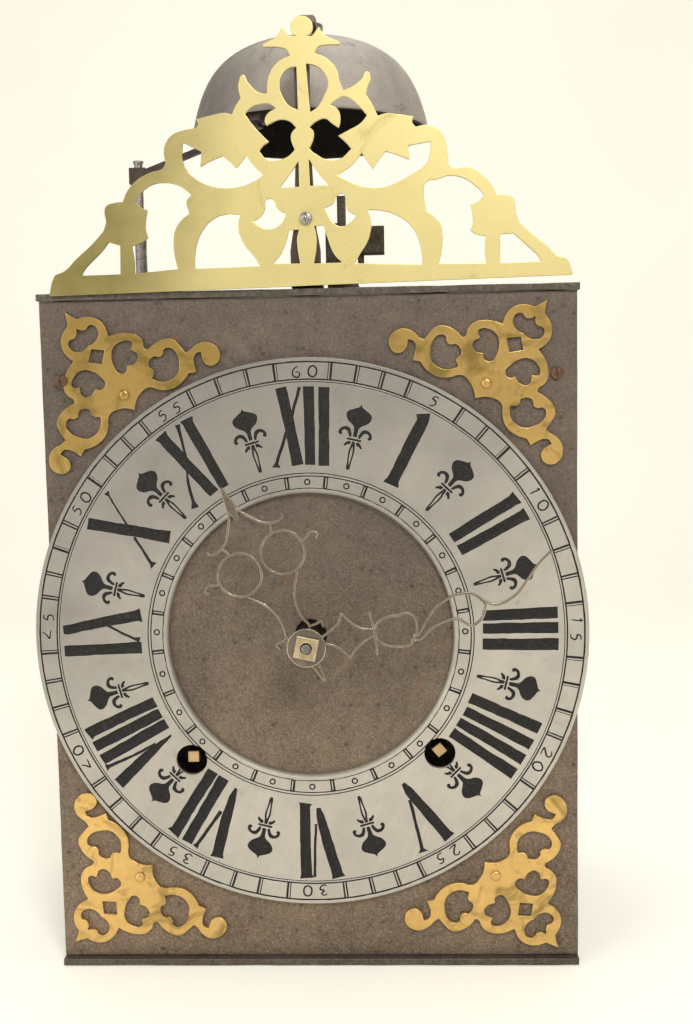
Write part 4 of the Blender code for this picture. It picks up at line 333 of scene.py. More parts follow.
def old_metal(name, light, dark, stain, rust, wear, rough, metallic=0.6, broad=14.0, grain=900.0,
              relief=0.0001, stains=0.3, rusts=0.2, pits=0.2, marks=0.0, turn=0.0, fineness=1600.0,
              worn=0.3, radius=0.0005, speckle=0.0, patina_and_shade=None, gloss=0.5):
    """Metal with its own tone, stains, rust, pits, file marks and worn edges.

    A film of tarnish and painted shade thickens along a direction, from where it is clear to where it is
    full.
    """
    groups = bpy.data.node_groups
    material = bpy.data.materials.new(name)
    material.use_nodes = True
    tree = material.node_tree
    shader = tree.nodes["Principled BSDF"]
    place = add(tree, "ShaderNodeTexCoord").outputs["Object"]
    skin = add(tree, "ShaderNodeGroup", {"node_tree": groups["Metal skin"]}, Vector=place, Broad=broad,
               Grain=grain, Stain=stains, Rust=rusts, Pits=pits).outputs
    edge = add(tree, "ShaderNodeGroup", {"node_tree": groups["Edge wear"]}, Radius=radius).outputs
    tint = blend(tree, skin["Tone"], light, dark)
    if speckle:
        hollows = calc(tree, "POWER", calc(tree, "SUBTRACT", 1.0, skin["Speckle"]), 2.0)
        grain_glints = calc(tree, "POWER", skin["Speckle"], 3.0)
        tint = film_over(tree, tint, hollows, speckle, shade_of(dark, GRIT_SHADE))
        # Light sand grains in the wear colour, partly painted glints of light on the grainy surface
        tint = film_over(tree, tint, grain_glints, speckle, wear)
    tint = film_over(tree, tint, skin["Stain"], STAIN_COVER, stain)
    # Film along a direction: the metal's own colour on some pieces, painted shade on one side of others
    if patina_and_shade:
        spread = ramp(tree, dot(tree, place, patina_and_shade["direction"]), patina_and_shade["clear"], patina_and_shade["full"])
        clouds = product(tree, noise_of(tree, place, CLOUD_SCALE, detail=5.0, roughness=0.6), CLOUD_AMOUNT)
        cover = ramp(tree, calc(tree, "ADD", spread, clouds), *PATINA_AND_SHADE_SPAN)
        tint = film_over(tree, tint, cover, patina_and_shade["amount"], patina_and_shade["film"])
    tint = film_over(tree, tint, skin["Rust"], RUST_COVER, rust)
    tint = film_over(tree, tint, skin["Pits"], PIT_COVER, shade_of(dark, PIT_SHADE))
    height = skin["Height"]
    if marks:
        brush = add(tree, "ShaderNodeGroup", {"node_tree": groups["File marks"]}, Vector=place,
                    Turn=math.radians(turn), Fineness=fineness).outputs
        lines = product(tree, brush["Lines"], marks)
        tint = film_over(tree, tint, lines, LINE_COVER, shade_of(dark, LINE_SHADE))
        tint = film_over(tree, tint, brush["Scratches"], marks * SCRATCH_COVER, wear)
        height = calc(tree, "ADD", height, product(tree, brush["Lines"], marks * LINE_RELIEF))
    tint = film_over(tree, tint, edge["Edge"], worn, wear)
    roughness = ramp(tree, skin["Tone"], 0.0, 1.0, *rough)
    roughness = calc(tree, "ADD", roughness, product(tree, skin["Rust"], RUST_ROUGHNESS))
    bump = add(tree, "ShaderNodeBump", None, Strength=1.0, Distance=relief, Height=height,
               Normal=edge["Normal"]).outputs[0]
    tree.links.new(tint, shader.inputs["Base Color"])
    tree.links.new(roughness, shader.inputs["Roughness"])
    tree.links.new(bump, shader.inputs["Normal"])
    shader.inputs["Metallic"].default_value = metallic
    shader.inputs["Specular IOR Level"].default_value = gloss


def shade_of(tint, amount):
    return tuple(c * amount for c in tint)


def make_finishes(finishes):
    """Every finish of the clock, by name."""
    skin_group()
    brush_group()
    edge_group()
    brass, golden, tarnish = finishes.pediment_brass, finishes.corner_brass, finishes.tarnish
    iron, rust = finishes.dial_iron, finishes.rust
    # The pediment's film darkens it towards the left
    old_metal(
        "pediment_brass", brass, shade_of(brass, 0.86), stain=shade_of(tarnish, 1.9),
        rust=shade_of(tarnish, 0.8), wear=srgb(250, 238, 182), metallic=0.75, rough=(0.34, 0.46), broad=9.0,
        grain=700.0, relief=0.00003, stains=0.28, rusts=0.05, pits=0.10, marks=0.30, turn=35.0,
        fineness=1500.0, worn=0.35, radius=0.0003,
        patina_and_shade=dict(film=srgb(112, 100, 46), amount=0.85, direction=(1.0, 0.0, 0.0), clear=-0.025,
                    full=-0.085))
    # The corner pieces' film darkens them towards the upper left
    old_metal(
        "corner_brass", golden, shade_of(golden, 0.80), stain=shade_of(tarnish, 1.2),
        rust=shade_of(tarnish, 0.55), wear=srgb(246, 220, 146), metallic=0.75, rough=(0.30, 0.46),
        broad=26.0, grain=700.0, relief=0.00004, stains=0.62, rusts=0.12, pits=0.15, marks=0.25, turn=10.0,
        fineness=1300.0, worn=0.45, radius=0.0004,
        patina_and_shade=dict(film=srgb(128, 106, 44), amount=0.75, direction=(-0.4, 0.0, 1.0), clear=0.08, full=0.34))
    old_metal(
        "wheel_brass", finishes.wheel_brass, shade_of(finishes.wheel_brass, 0.6), stain=tarnish,
        rust=shade_of(tarnish, 0.5), wear=srgb(222, 190, 120), metallic=0.8, rough=(0.32, 0.5), broad=30.0,
        grain=800.0, relief=0.00004, stains=0.5, rusts=0.1, pits=0.15, marks=0.3, fineness=1300.0, worn=0.5,
        radius=0.0003)
    # Near-black brass: painted shade for the hour wheel deep in the hole behind the dial
    old_metal(
        "oiled_brass", srgb(40, 35, 27), srgb(20, 18, 15), stain=srgb(58, 47, 30),
        rust=shade_of(tarnish, 0.4), wear=srgb(88, 74, 46), metallic=0.4, rough=(0.5, 0.7), broad=30.0,
        grain=800.0, relief=0.00004, stains=0.5, rusts=0.1, pits=0.15)
    # The ring's film is painted shade: it greys the ring towards the upper left, as if less light fell there
    old_metal(
        "pewter", finishes.pewter, shade_of(finishes.pewter, 0.84), stain=shade_of(finishes.pewter, 0.66),
        rust=srgb(140, 124, 104), wear=srgb(232, 228, 218), metallic=0.55, rough=(0.40, 0.52), broad=16.0,
        grain=800.0, relief=0.00002, rusts=0.10, pits=0.12, marks=0.35, turn=70.0, fineness=1100.0,
        worn=0.55, radius=0.00025,
        patina_and_shade=dict(film=srgb(118, 114, 110), amount=0.80, direction=(-0.45, 0.0, 1.0), clear=0.05,
                    full=0.30))
    old_metal(
        "black_wax", finishes.wax, shade_of(finishes.wax, 1.8), stain=srgb(62, 58, 55),
        rust=srgb(84, 68, 56), wear=srgb(96, 92, 88), metallic=0.0, rough=(0.50, 0.70), broad=60.0,
        grain=1100.0, relief=0.00012, rusts=0.35, worn=0.2, radius=0.0002, speckle=0.22, gloss=0.25)
    # The plate's film darkens it towards the top, partly painted shade for the shadows of the hands and of
    # the parts above
    old_metal(
        "dial_iron", iron, shade_of(iron, 0.56), stain=shade_of(iron, 1.5), rust=rust,
        wear=srgb(178, 166, 152), metallic=0.30, rough=(0.50, 0.66), grain=1150.0, relief=0.00050,
        rusts=0.34, pits=0.95, worn=0.25, radius=0.0006, speckle=0.46,
        patina_and_shade=dict(film=srgb(74, 67, 66), amount=0.6, direction=(0.0, 0.0, 1.0), clear=0.02, full=0.22))
    old_metal(
        "cage_iron", finishes.cage_iron, shade_of(finishes.cage_iron, 0.5), stain=srgb(84, 66, 54),
        rust=shade_of(rust, 0.6), wear=srgb(140, 132, 124), metallic=0.45, rough=(0.42, 0.62), broad=22.0,
        grain=620.0, relief=0.00024, stains=0.35, rusts=0.3, pits=0.6, worn=0.4, radius=0.0006, speckle=0.35)
    brown = dict(
        light=srgb(84, 70, 60), dark=srgb(48, 41, 37), stain=srgb(110, 84, 66), rust=shade_of(rust, 0.7),
        wear=srgb(150, 136, 122), metallic=0.5, rough=(0.38, 0.58), broad=30.0, grain=600.0, relief=0.00018,
        stains=0.45, rusts=0.35, pits=0.4, marks=0.2, turn=90.0, fineness=900.0, worn=0.4)
    old_metal("brown_iron", **brown)
    old_metal(
        "barrel_iron", **brown,
        patina_and_shade=dict(film=srgb(214, 178, 132), amount=1.0, direction=(0.0, -1.0, 0.0), clear=0.0495,
                    full=0.0515))
    # Its near-white worn edges and scratches are partly a painted glint along the hand's edges
    old_metal(
        "hand_steel", finishes.hand_steel, shade_of(finishes.hand_steel, 0.6), stain=srgb(112, 94, 76),
        rust=srgb(122, 92, 70), wear=srgb(255, 250, 240), rough=(0.30, 0.46), broad=60.0, grain=1200.0,
        relief=0.00003, stains=0.45, pits=0.1, marks=0.2, turn=20.0, fineness=2000.0, worn=0.5,
        radius=0.00022)
    # Bright finish of the hands' filed edges: partly bright filing, partly a painted glint
    old_metal(
        "hand_edge", srgb(206, 192, 170), srgb(140, 124, 104), stain=srgb(122, 100, 78),
        rust=srgb(122, 92, 70), wear=srgb(255, 250, 240), metallic=0.85, rough=(0.22, 0.36), broad=90.0,
        grain=1200.0, relief=0.00002, stains=0.4, pits=0.1, radius=0.0002)
    old_metal(
        "nut_steel", srgb(202, 188, 160), srgb(160, 138, 104), stain=srgb(150, 112, 66),
        rust=srgb(122, 88, 58), wear=srgb(250, 246, 236), metallic=0.8, rough=(0.26, 0.42), broad=90.0,
        grain=1300.0, relief=0.00003, stains=0.5, pits=0.1, marks=0.35, turn=78.0, worn=0.7, radius=0.0004)
    old_metal(
        "train_steel", srgb(150, 146, 140), srgb(104, 98, 92), stain=srgb(112, 96, 80),
        rust=srgb(112, 80, 58), wear=srgb(214, 210, 204), metallic=0.85, rough=(0.28, 0.44), broad=60.0,
        grain=1000.0, relief=0.00003, stains=0.4, pits=0.15, marks=0.25, fineness=1500.0, worn=0.5,
        radius=0.0003)
    old_metal(
        "screw_brown", finishes.screw_brown, shade_of(finishes.screw_brown, 0.5), stain=srgb(140, 104, 66),
        rust=rust, wear=srgb(196, 180, 162), rough=(0.34, 0.52), broad=160.0, grain=1400.0, stains=0.5,
        rusts=0.5, pits=0.35, marks=0.5, turn=80.0, fineness=1300.0, worn=0.5, radius=0.0003)
    old_metal(
        "screw_steel", srgb(190, 184, 178), srgb(112, 102, 96), stain=srgb(96, 82, 74),
        rust=srgb(110, 84, 66), wear=srgb(236, 232, 226), metallic=0.85, rough=(0.26, 0.42), broad=160.0,
        grain=1400.0, relief=0.00008, stains=0.5, rusts=0.3, pits=0.3, marks=0.4, fineness=1300.0, worn=0.6,
        radius=0.0003)
    # The bell's film is painted shadow: it darkens the bell towards the left, where the pediment shades it
    old_metal(
        "bell_skin", finishes.bell_skin, shade_of(finishes.bell_skin, 0.72), stain=srgb(104, 88, 74),
        rust=srgb(120, 84, 64), wear=srgb(178, 170, 158), metallic=0.35, rough=(0.52, 0.66), broad=16.0,
        grain=1300.0, relief=0.00030, stains=0.32, rusts=0.22, pits=0.45, worn=0.5, radius=0.0006,
        speckle=0.30,
        patina_and_shade=dict(film=srgb(66, 63, 58), amount=0.7, direction=(1.0, 0.0, 0.0), clear=0.0, full=-0.045),
        gloss=0.35)
    # Near-black finish of the bell's inside: painted shade under the bell's dome
    old_metal(
        "bell_soot", srgb(52, 47, 43), srgb(26, 23, 21), stain=srgb(66, 56, 48), rust=srgb(84, 62, 50),
        wear=srgb(90, 84, 78), metallic=0.1, rough=(0.66, 0.8), broad=20.0, grain=700.0, relief=0.00020,
        rusts=0.25, pits=0.3, gloss=0.2)
    old_metal(
        "door_iron", srgb(92, 80, 72), srgb(52, 46, 42), stain=srgb(112, 88, 70), rust=rust,
        wear=srgb(150, 140, 130), metallic=0.45, rough=(0.42, 0.62), broad=18.0, grain=520.0, relief=0.0002,
        stains=0.4, rusts=0.35, pits=0.5, worn=0.4)


# Making pieces

# Distances under which points are one: in a finished mesh, and in a copied solid
SAME_POINT = 1e-7
SAME_CORNER = 1e-6

# Angles between faces of a solid: faces under the first are joined, edges over the second are rounded
FLAT_ANGLE = math.radians(1.0)
BROKEN_ANGLE = math.radians(40.0)

# Waves to the metre that hammering leaves
HAMMER_WAVES = 55.0


def body_of(node):
    return frame["nodes"][node]["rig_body"]


def middle_of(node):
    """Middle of a solid's box in the dial's plane."""
    low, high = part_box(node)
    return (low.x + high.x) / 2, (low.z + high.z) / 2


def dressed(obj, finish, *nodes):
    """Gives a piece its finish, its body and the solids that it stands for."""
    obj.data.materials.clear()
    obj.data.materials.append(bpy.data.materials[finish])
    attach(obj, body_of(nodes[0]))
    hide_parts(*nodes)
    return obj


def linked(name, data):
    obj = bpy.data.objects.new(name, data)
    bpy.context.scene.collection.objects.link(obj)
    return obj


def object_from(name, bm, sharp=30.0):
    """Object of a finished mesh, with its faces turned outwards and smooth where it is round."""
    bmesh.ops.remove_doubles(bm, verts=bm.verts, dist=SAME_POINT)
    bmesh.ops.recalc_face_normals(bm, faces=bm.faces)
    mesh = bpy.data.meshes.new(name)
    bm.to_mesh(mesh)
    bm.free()
    if "custom_normal" in mesh.attributes:
        mesh.attributes.remove(mesh.attributes["custom_normal"])
    mesh.shade_smooth()
    mesh.set_sharp_from_angle(angle=math.radians(sharp))
    return linked(name, mesh)


def evaluated_mesh(obj):
    """Plain mesh of an object with its modifiers applied."""
    bpy.context.view_layer.update()
    graph = bpy.context.evaluated_depsgraph_get()
    return bpy.data.meshes.new_from_object(obj.evaluated_get(graph))


def settled(obj):
    """Leaves an object as a plain mesh with its modifiers applied."""
    mesh = evaluated_mesh(obj)
    obj.modifiers.clear()
    obj.data = mesh
    return obj


def bored(obj, *tools):
    """Cuts tools out of a piece and clears them away."""
    for tool in tools:
        step = obj.modifiers.new("Bore", "BOOLEAN")
        step.operation = "DIFFERENCE"
        step.solver = "EXACT"
        step.object = tool
    settled(obj)
    for tool in tools:
        bpy.data.objects.remove(tool)
    return obj


def standing(front, centre):
    """Turn and move that stand a drawing on XY up in the dial's plane, its +Z side forward."""
    return Matrix.Translation((centre[0], front, centre[1])) @ Matrix.Rotation(math.pi / 2, 4, "X")


def upright(bm, front, centre):
    """Stands a mesh drawn flat on XY up in the dial's plane."""
    bmesh.ops.transform(bm, matrix=standing(front, centre), verts=bm.verts)


def kept_within(bm, low, high):
    """Pulls the points of a mesh back into a box."""
    for vert in bm.verts:
        for axis in range(3):
            vert.co[axis] = min(max(vert.co[axis], low[axis]), high[axis])


def curve_of(name, loops, flat_fill=False):
    """Curve object of closed outlines; a third number of a point marks a corner of a smooth one."""
    curve = bpy.data.curves.new(name, "CURVE")
    curve.dimensions = "2D" if flat_fill else "3D"
    for loop in loops:
        smooth = len(loop[0]) > 2
        spline = curve.splines.new("BEZIER" if smooth else "POLY")
        points = spline.bezier_points if smooth else spline.points
        points.add(len(loop) - 1)
        spline.use_cyclic_u = True
        for point, spot in zip(points, loop):
            if smooth:
                point.co = (spot[0], spot[1], 0.0)
                kind = "VECTOR" if spot[2] else "AUTO"
                point.handle_left_type = kind
                point.handle_right_type = kind
            else:
                point.co = (spot[0], spot[1], 0.0, 1.0)
    return linked(name, curve)


def cut_sheet(name, loops, front, back, edge, steps=8):
    """Closed sheet in the dial's plane with chamfered edges, from outlines in the front view."""
    drawn = curve_of(name, loops, True)
    curve = drawn.data
    curve.fill_mode = "BOTH"
    curve.extrude = (back - front) / 2 - edge
    curve.bevel_depth = edge
    curve.bevel_resolution = 1
    curve.offset = -edge
    curve.resolution_u = steps
    mesh = evaluated_mesh(drawn)
    bpy.data.objects.remove(drawn)
    bm = bmesh.new()
    bm.from_mesh(mesh)
    upright(bm, (front + back) / 2, (0.0, 0.0))
    return object_from(name, bm, 22.0)


def revolved(bm, profile, steps, closed=False):
    """Adds a body turned about Z to a mesh, from (radius, level) pairs."""
    turns = [2 * math.pi * i / steps for i in range(steps)]
    rings = []
    for radius, level in profile:
        if radius < SAME_POINT:
            rings.append([bm.verts.new((0.0, 0.0, level))])
        else:
            rings.append([bm.verts.new((radius * math.cos(a), radius * math.sin(a), level)) for a in turns])
    for first, second in zip(rings, rings[1:] + (rings[:1] if closed else [])):
        for i in range(steps):
            j = (i + 1) % steps
            if len(first) == 1:
                bm.faces.new((first[0], second[i], second[j]))
            elif len(second) == 1:
                bm.faces.new((first[i], first[j], second[0]))
            else:
                bm.faces.new((first[i], first[j], second[j], second[i]))


def lofted(bm, rows, closed=False):
    """Skins a line of like sections; the ends are filled unless the line is closed."""
    count = len(rows[0])
    for first, second in zip(rows, rows[1:] + (rows[:1] if closed else [])):
        for k in range(count):
            j = (k + 1) % count
            bm.faces.new((first[k], first[j], second[j], second[k]))
    if not closed:
        bm.faces.new(rows[0])
        bm.faces.new(rows[-1][::-1])


def circle(radius, steps, centre=(0.0, 0.0)):
    turns = [2 * math.pi * i / steps for i in range(steps)]
    return [(centre[0] + radius * math.cos(a), centre[1] + radius * math.sin(a)) for a in turns]


def turned_loop(loop, degrees, shift=(0.0, 0.0)):
    """An outline turned counter-clockwise about the origin and then moved."""
    c, s = math.cos(math.radians(degrees)), math.sin(math.radians(degrees))
    return [(shift[0] + p[0] * c - p[1] * s, shift[1] + p[0] * s + p[1] * c, *p[2:]) for p in loop]


# Seed of the strays of hand-cut outlines
DRIFT_SEED = 3


def drifted(loop, reach, amount, seed):
    """An outline whose points stray a little, as a hand-cut one does."""
    noise.seed_set(DRIFT_SEED)
    moved = []
    for p in loop:
        stray = noise.noise_vector(Vector((p[0] / reach, p[1] / reach, seed))) * amount
        moved.append((p[0] + stray.x, p[1] + stray.y, *p[2:]))
    return moved


def rise_at(spot, waves, octaves):
    """Height of a rough surface at a place, from about -1 to 1, with so many waves to the metre."""
    return noise.fractal(spot * waves, 1.0, 2.0, octaves)


def forged(node, name, finish, edge, wave, step):
    """Copy of a solid with rounded edges and a hammered surface, kept inside the solid's box."""
    low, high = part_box(node)
    bm = bmesh.new()
    bm.from_mesh(frame["nodes"][node].data)
    bmesh.ops.remove_doubles(bm, verts=bm.verts, dist=SAME_CORNER)
    bmesh.ops.dissolve_limit(bm, angle_limit=FLAT_ANGLE, verts=bm.verts, edges=bm.edges)
    sharp = [e for e in bm.edges if len(e.link_faces) == 2 and e.calc_face_angle(0.0) > BROKEN_ANGLE]
    bmesh.ops.bevel(bm, geom=sharp, offset=edge, segments=2, profile=0.7, affect="EDGES", clamp_overlap=True)
    for axis in range(3):
        normal = Vector((0.0, 0.0, 0.0))
        normal[axis] = 1.0
        count = int((high[axis] - low[axis]) / step)
        for i in range(1, count):
            spot = Vector((0.0, 0.0, 0.0))
            spot[axis] = low[axis] + (high[axis] - low[axis]) * i / count
            bmesh.ops.bisect_plane(bm, geom=bm.verts[:] + bm.edges[:] + bm.faces[:], dist=SAME_CORNER,
                                   plane_co=spot, plane_no=normal)
    bm.normal_update()
    for vert in bm.verts:
        vert.co += vert.normal * (rise_at(vert.co, HAMMER_WAVES, 3) * wave)
    kept_within(bm, low, high)
    dressed(object_from(name, bm, 24.0), finish, node)


# Chapter ring

# Strokes of the hour numerals: outlines joined where they cross, as centre lines of
# (degrees clockwise from noon, radius in millimetres, width in millimetres)
NUMERALS = (
    (((-5.5, 112.3, 5.0), (-4.3, 95.0, 4.9), (-2.9, 77.3, 5.2)),
     ((-1.2, 111.8, 1.5), (-2.6, 104.0, 1.4), (-4.0, 97.0, 1.6)),
     ((-4.9, 94.0, 1.5), (-7.6, 85.0, 1.5), (-9.7, 79.2, 1.6), (-10.1, 77.4, 4.4)),
     ((0.8, 112.0, 5.0), (1.0, 95.0, 4.7), (1.2, 77.3, 4.5)),
     ((4.3, 112.0, 5.0), (4.9, 95.0, 4.8), (5.7, 77.1, 4.8))),
    (((27.7, 111.9, 6.2), (28.4, 109.5, 5.4), (28.5, 95.0, 5.6), (28.7, 80.0, 5.4), (28.8, 77.3, 7.6)),),
    (((56.6, 111.6, 6.4), (56.7, 109.0, 5.2), (56.3, 95.0, 5.0), (55.8, 77.3, 5.0)),
     ((61.0, 111.3, 6.2), (61.0, 109.0, 5.2), (60.9, 95.0, 5.0), (60.7, 77.3, 5.0))),
    (((85.1, 111.4, 5.6), (84.6, 95.0, 5.2), (83.8, 78.0, 4.8)),
     ((88.6, 111.2, 5.2), (88.4, 95.0, 5.0), (88.1, 77.6, 4.8)),
     ((92.5, 111.4, 5.6), (92.9, 95.0, 5.4), (93.3, 77.4, 5.2))),
    (((112.9, 111.6, 5.4), (112.5, 95.0, 4.9), (112.0, 77.2, 4.9)),
     ((117.2, 111.4, 5.2), (117.0, 95.0, 4.8), (116.8, 77.4, 4.5)),
     ((121.2, 111.5, 5.2), (121.1, 95.0, 4.8), (121.0, 77.2, 4.5)),
     ((125.2, 111.6, 5.6), (125.3, 95.0, 4.9), (125.3, 77.3, 4.7))),
    (((146.7, 112.3, 5.9), (146.9, 110.0, 5.0), (147.9, 95.0, 4.8), (148.9, 84.0, 4.2), (149.2, 79.5, 1.6)),
     ((153.8, 112.2, 5.0), (153.7, 110.6, 1.6), (152.0, 99.0, 1.4), (150.1, 87.5, 1.6))),
    (((174.6, 113.0, 6.4), (174.8, 111.0, 5.1), (176.6, 95.0, 4.9), (178.2, 83.0, 3.6), (178.5, 79.6, 1.8)),
     ((180.1, 112.2, 1.4), (180.0, 101.0, 1.2), (179.5, 87.0, 1.2)),
     ((182.0, 112.8, 6.4), (182.1, 110.5, 5.2), (182.6, 95.0, 4.9), (183.0, 79.0, 4.8), (182.9, 77.4, 6.0))),
    (((203.8, 112.3, 6.2), (204.0, 110.0, 5.0), (205.5, 95.0, 4.9), (206.6, 83.0, 3.4), (206.8, 78.4, 1.2)),
     ((209.5, 112.2, 3.0), (209.3, 110.0, 1.6), (208.5, 99.0, 1.5), (207.9, 91.5, 1.9)),
     ((211.8, 112.0, 5.2), (212.0, 95.0, 5.0), (212.2, 77.0, 5.0)),
     ((215.6, 112.1, 7.0), (215.4, 110.0, 5.2), (215.9, 95.0, 5.0), (216.5, 77.1, 5.1))),
    (((232.9, 112.2, 5.6), (233.1, 109.0, 5.3), (234.2, 95.0, 4.8), (234.9, 84.0, 2.4), (235.0, 78.8, 0.9)),
     ((237.8, 112.4, 3.4), (237.6, 110.6, 1.7), (236.6, 99.0, 1.3), (235.7, 87.0, 1.4)),
     ((239.8, 112.0, 5.0), (239.6, 95.0, 5.0), (239.4, 77.3, 5.0)),
     ((243.3, 112.0, 5.0), (243.3, 95.0, 5.0), (243.4, 77.3, 4.8)),
     ((246.6, 112.1, 6.2), (246.9, 110.0, 5.2), (247.2, 95.0, 4.9), (247.6, 77.3, 4.9))),
    (((267.1, 112.2, 5.0), (267.0, 95.0, 5.0), (266.8, 76.8, 5.4)),
     ((272.1, 112.4, 3.8), (272.2, 110.6, 4.4), (273.7, 100.0, 4.6), (275.3, 90.0, 4.8), (277.4, 79.5, 5.0),
      (277.9, 77.2, 6.4)),
     ((274.0, 93.0, 1.2), (272.4, 88.0, 1.1), (270.0, 80.4, 1.2), (269.4, 77.4, 2.6))),
    (((297.9, 112.3, 5.4), (300.1, 100.2, 5.1), (302.4, 90.3, 5.1), (304.8, 81.8, 5.3), (306.4, 77.2, 6.0)),
     ((306.3, 112.2, 2.8), (306.0, 110.2, 0.9), (303.7, 101.0, 0.9), (301.8, 94.5, 1.0)),
     ((300.4, 91.0, 1.2), (298.2, 84.5, 1.3), (295.7, 79.2, 1.4), (295.2, 77.3, 4.0))),
    (((324.6, 112.3, 6.6), (324.7, 110.0, 5.1), (325.6, 95.0, 4.9), (327.5, 77.5, 5.0)),
     ((329.3, 112.0, 2.4), (328.9, 109.8, 1.5), (327.1, 100.5, 1.3), (326.6, 98.0, 1.4)),
     ((324.8, 93.0, 0.5), (322.8, 88.0, 1.5), (320.3, 80.2, 1.5), (319.4, 77.4, 3.8)),
     ((331.6, 112.2, 6.6), (331.5, 110.0, 5.0), (331.5, 95.0, 4.8), (331.5, 77.3, 4.5))),
)

# Dividers of the minute track and of the quarter track, in degrees clockwise from noon
MINUTE_BARS = (
    -12.5, -6.3, 5.4, 11.1, 16.6, 22.5, 34.7, 40.9, 46.9, 53.1, 64.9, 71.3, 77.5, 83.5, 95.5, 101.3,
    107.4, 113.2, 125.3, 131.5, 137.6, 143.6, 155.9, 161.6, 167.4, 173.4, 186.0, 192.5, 198.5, 205.3,
    217.8, 223.8, 229.8, 235.9, 248.5, 254.7, 260.7, 267.1, 279.2, 284.4, 290.2, 295.9, 306.9, 312.4,
    317.8, 322.9, 334.8, 341.1,
)
QUARTER_BARS = (
    -7.4, 6.8, 21.3, 36.2, 51.5, 65.7, 81.1, 96.5, 111.5, 128.2, 141.6, 156.6, 172.8, 187.8, 202.9,
    218.5, 232.6, 248.6, 264.7, 279.4, 293.8, 308.8, 321.8, 336.5,
)
# Minute figures: where each pair stands, in degrees clockwise from noon
FIGURE_SPOTS = (28.5, 59.4, 88.9, 119.1, 149.1, 180.0, 211.5, 242.5, 272.9, 301.1, 329.2, 359.9)

# Strokes of the minute figures, in millimetres on a face 4 wide and 5 high
FIGURES = {
    "0": ((0.1, 2.4), (0.7, 4.2), (2.1, 4.9), (3.4, 4.1), (3.9, 2.5), (3.4, 0.8), (2.0, 0.1), (0.6, 0.8)),
    "1": ((1.2, 3.9), (2.1, 4.9), (2.2, 2.5), (2.1, 0.1)),
    "2": ((0.5, 3.9), (1.6, 4.9), (3.1, 4.5), (3.2, 3.2), (1.8, 1.7), (0.4, 0.3), (2.0, 0.2), (3.8, 0.5)),
    "3": ((0.6, 4.5), (2.2, 4.9), (3.3, 4.0), (1.9, 2.8), (3.5, 2.0), (3.1, 0.7), (1.6, 0.1), (0.4, 0.7)),
    "4": ((2.6, 5.0), (1.5, 3.2), (0.2, 1.5), (2.0, 1.4), (4.0, 1.4)),
    "5": ((3.7, 4.7), (1.9, 4.6), (1.2, 3.1), (2.7, 2.9), (3.4, 1.8), (2.5, 0.4), (0.8, 0.3)),
    "6": ((3.2, 4.8), (1.7, 4.4), (0.6, 3.0), (0.5, 1.3), (1.8, 0.1), (3.4, 0.8), (3.3, 2.2), (1.8, 2.6)),
}

# Half-hour fleur-de-lis, right half of each part, in millimetres outwards from its band
FLEUR_BULB = ((0.0, 15.6, 1), (0.7, 14.2, 0), (2.6, 13.2, 0), (5.2, 11.6, 0), (5.7, 9.6, 0), (4.4, 7.4, 0),
              (2.2, 5.9, 0), (1.15, 4.6, 0), (0.95, 2.2, 0), (0.9, 0.75, 1))
FLEUR_HOOK = ((1.5, 0.65, 1), (1.7, 2.2, 0), (2.9, 4.3, 0), (5.0, 4.7, 0), (7.0, 3.5, 0), (7.6, 1.5, 0),
              (6.6, 0.5, 0), (5.5, 1.2, 1), (6.1, 2.2, 0), (5.2, 3.1, 0), (3.8, 2.7, 0), (2.9, 1.3, 0),
              (2.3, 0.2, 1))
FLEUR_BAND = ((3.3, 0.0, 1), (3.3, -1.0, 1))
FLEUR_PETAL = ((1.1, -1.4, 1), (2.6, -1.5, 0), (4.1, -3.3, 0), (3.6, -4.1, 1), (2.6, -3.2, 0),
               (1.4, -2.9, 1))
FLEUR_TAIL = ((0.7, -1.3, 1), (1.0, -3.6, 0), (1.35, -6.0, 0), (1.0, -10.0, 0), (0.85, -13.2, 0),
              (0.5, -14.2, 1))
FLEUR_CORE = ((0.0, -3.6, 1), (0.45, -5.6, 0), (0.42, -8.4, 0), (0.0, -12.0, 1))
FLEUR_SPOTS = (13.7, 43.1, 73.1, 104.1, 134.5, 164.4, 194.3, 224.5, 254.6, 284.5, 314.7, 344.4)
FLEUR_PAD = ((0.0, 35.2, 1), (5.5, 31.0, 1), (7.0, 26.5, 1), (8.3, 18.0, 1), (8.3, 16.0, 1), (5.2, 13.0, 1),
             (2.4, 10.0, 1), (2.2, 3.2, 1))

# How far outside the quarter line the band of each fleur-de-lis lies, in metres
FLEUR_BAND_RISE = 0.0176

# Minute figures: radius of their band in metres, then in millimetres their pitch and the middle of a figure,
# in degrees how far they swing from upright, and how much narrower a stroke is at its ends
FIGURE_BAND = 0.1189
FIGURE_PITCH = 7.4
FIGURE_MIDDLE = (2.0, 2.5)
FIGURE_SWING = 8.0
FIGURE_TAPER = 0.35

# Dividers of the tracks: room on each side of the line in metres, and half their own width in degrees
MINUTE_BAR_ROOM = 0.00028
QUARTER_BAR_ROOM = 0.00075
MINUTE_BAR_HALF = 0.12
QUARTER_BAR_HALF = 0.20

# How far instances round the ring lean by chance, in radians, and the seed of that chance
TRACK_SLIP = 0.008
TRACK_SEED = 4

# Eyes of the quarter track: turn from their divider in degrees, outer and inner radius
EYE_TURN = 7.6
EYE_OUTER, EYE_INNER = 0.0015, 0.0008

# Wax: its depth under wide and narrow strokes, and the greatest and mean width in millimetres of a wide one
DEEP_WAX, SHALLOW_WAX = 0.0008, 0.00042
WIDE_STROKE, WIDE_AVERAGE = 4.5, 3.0

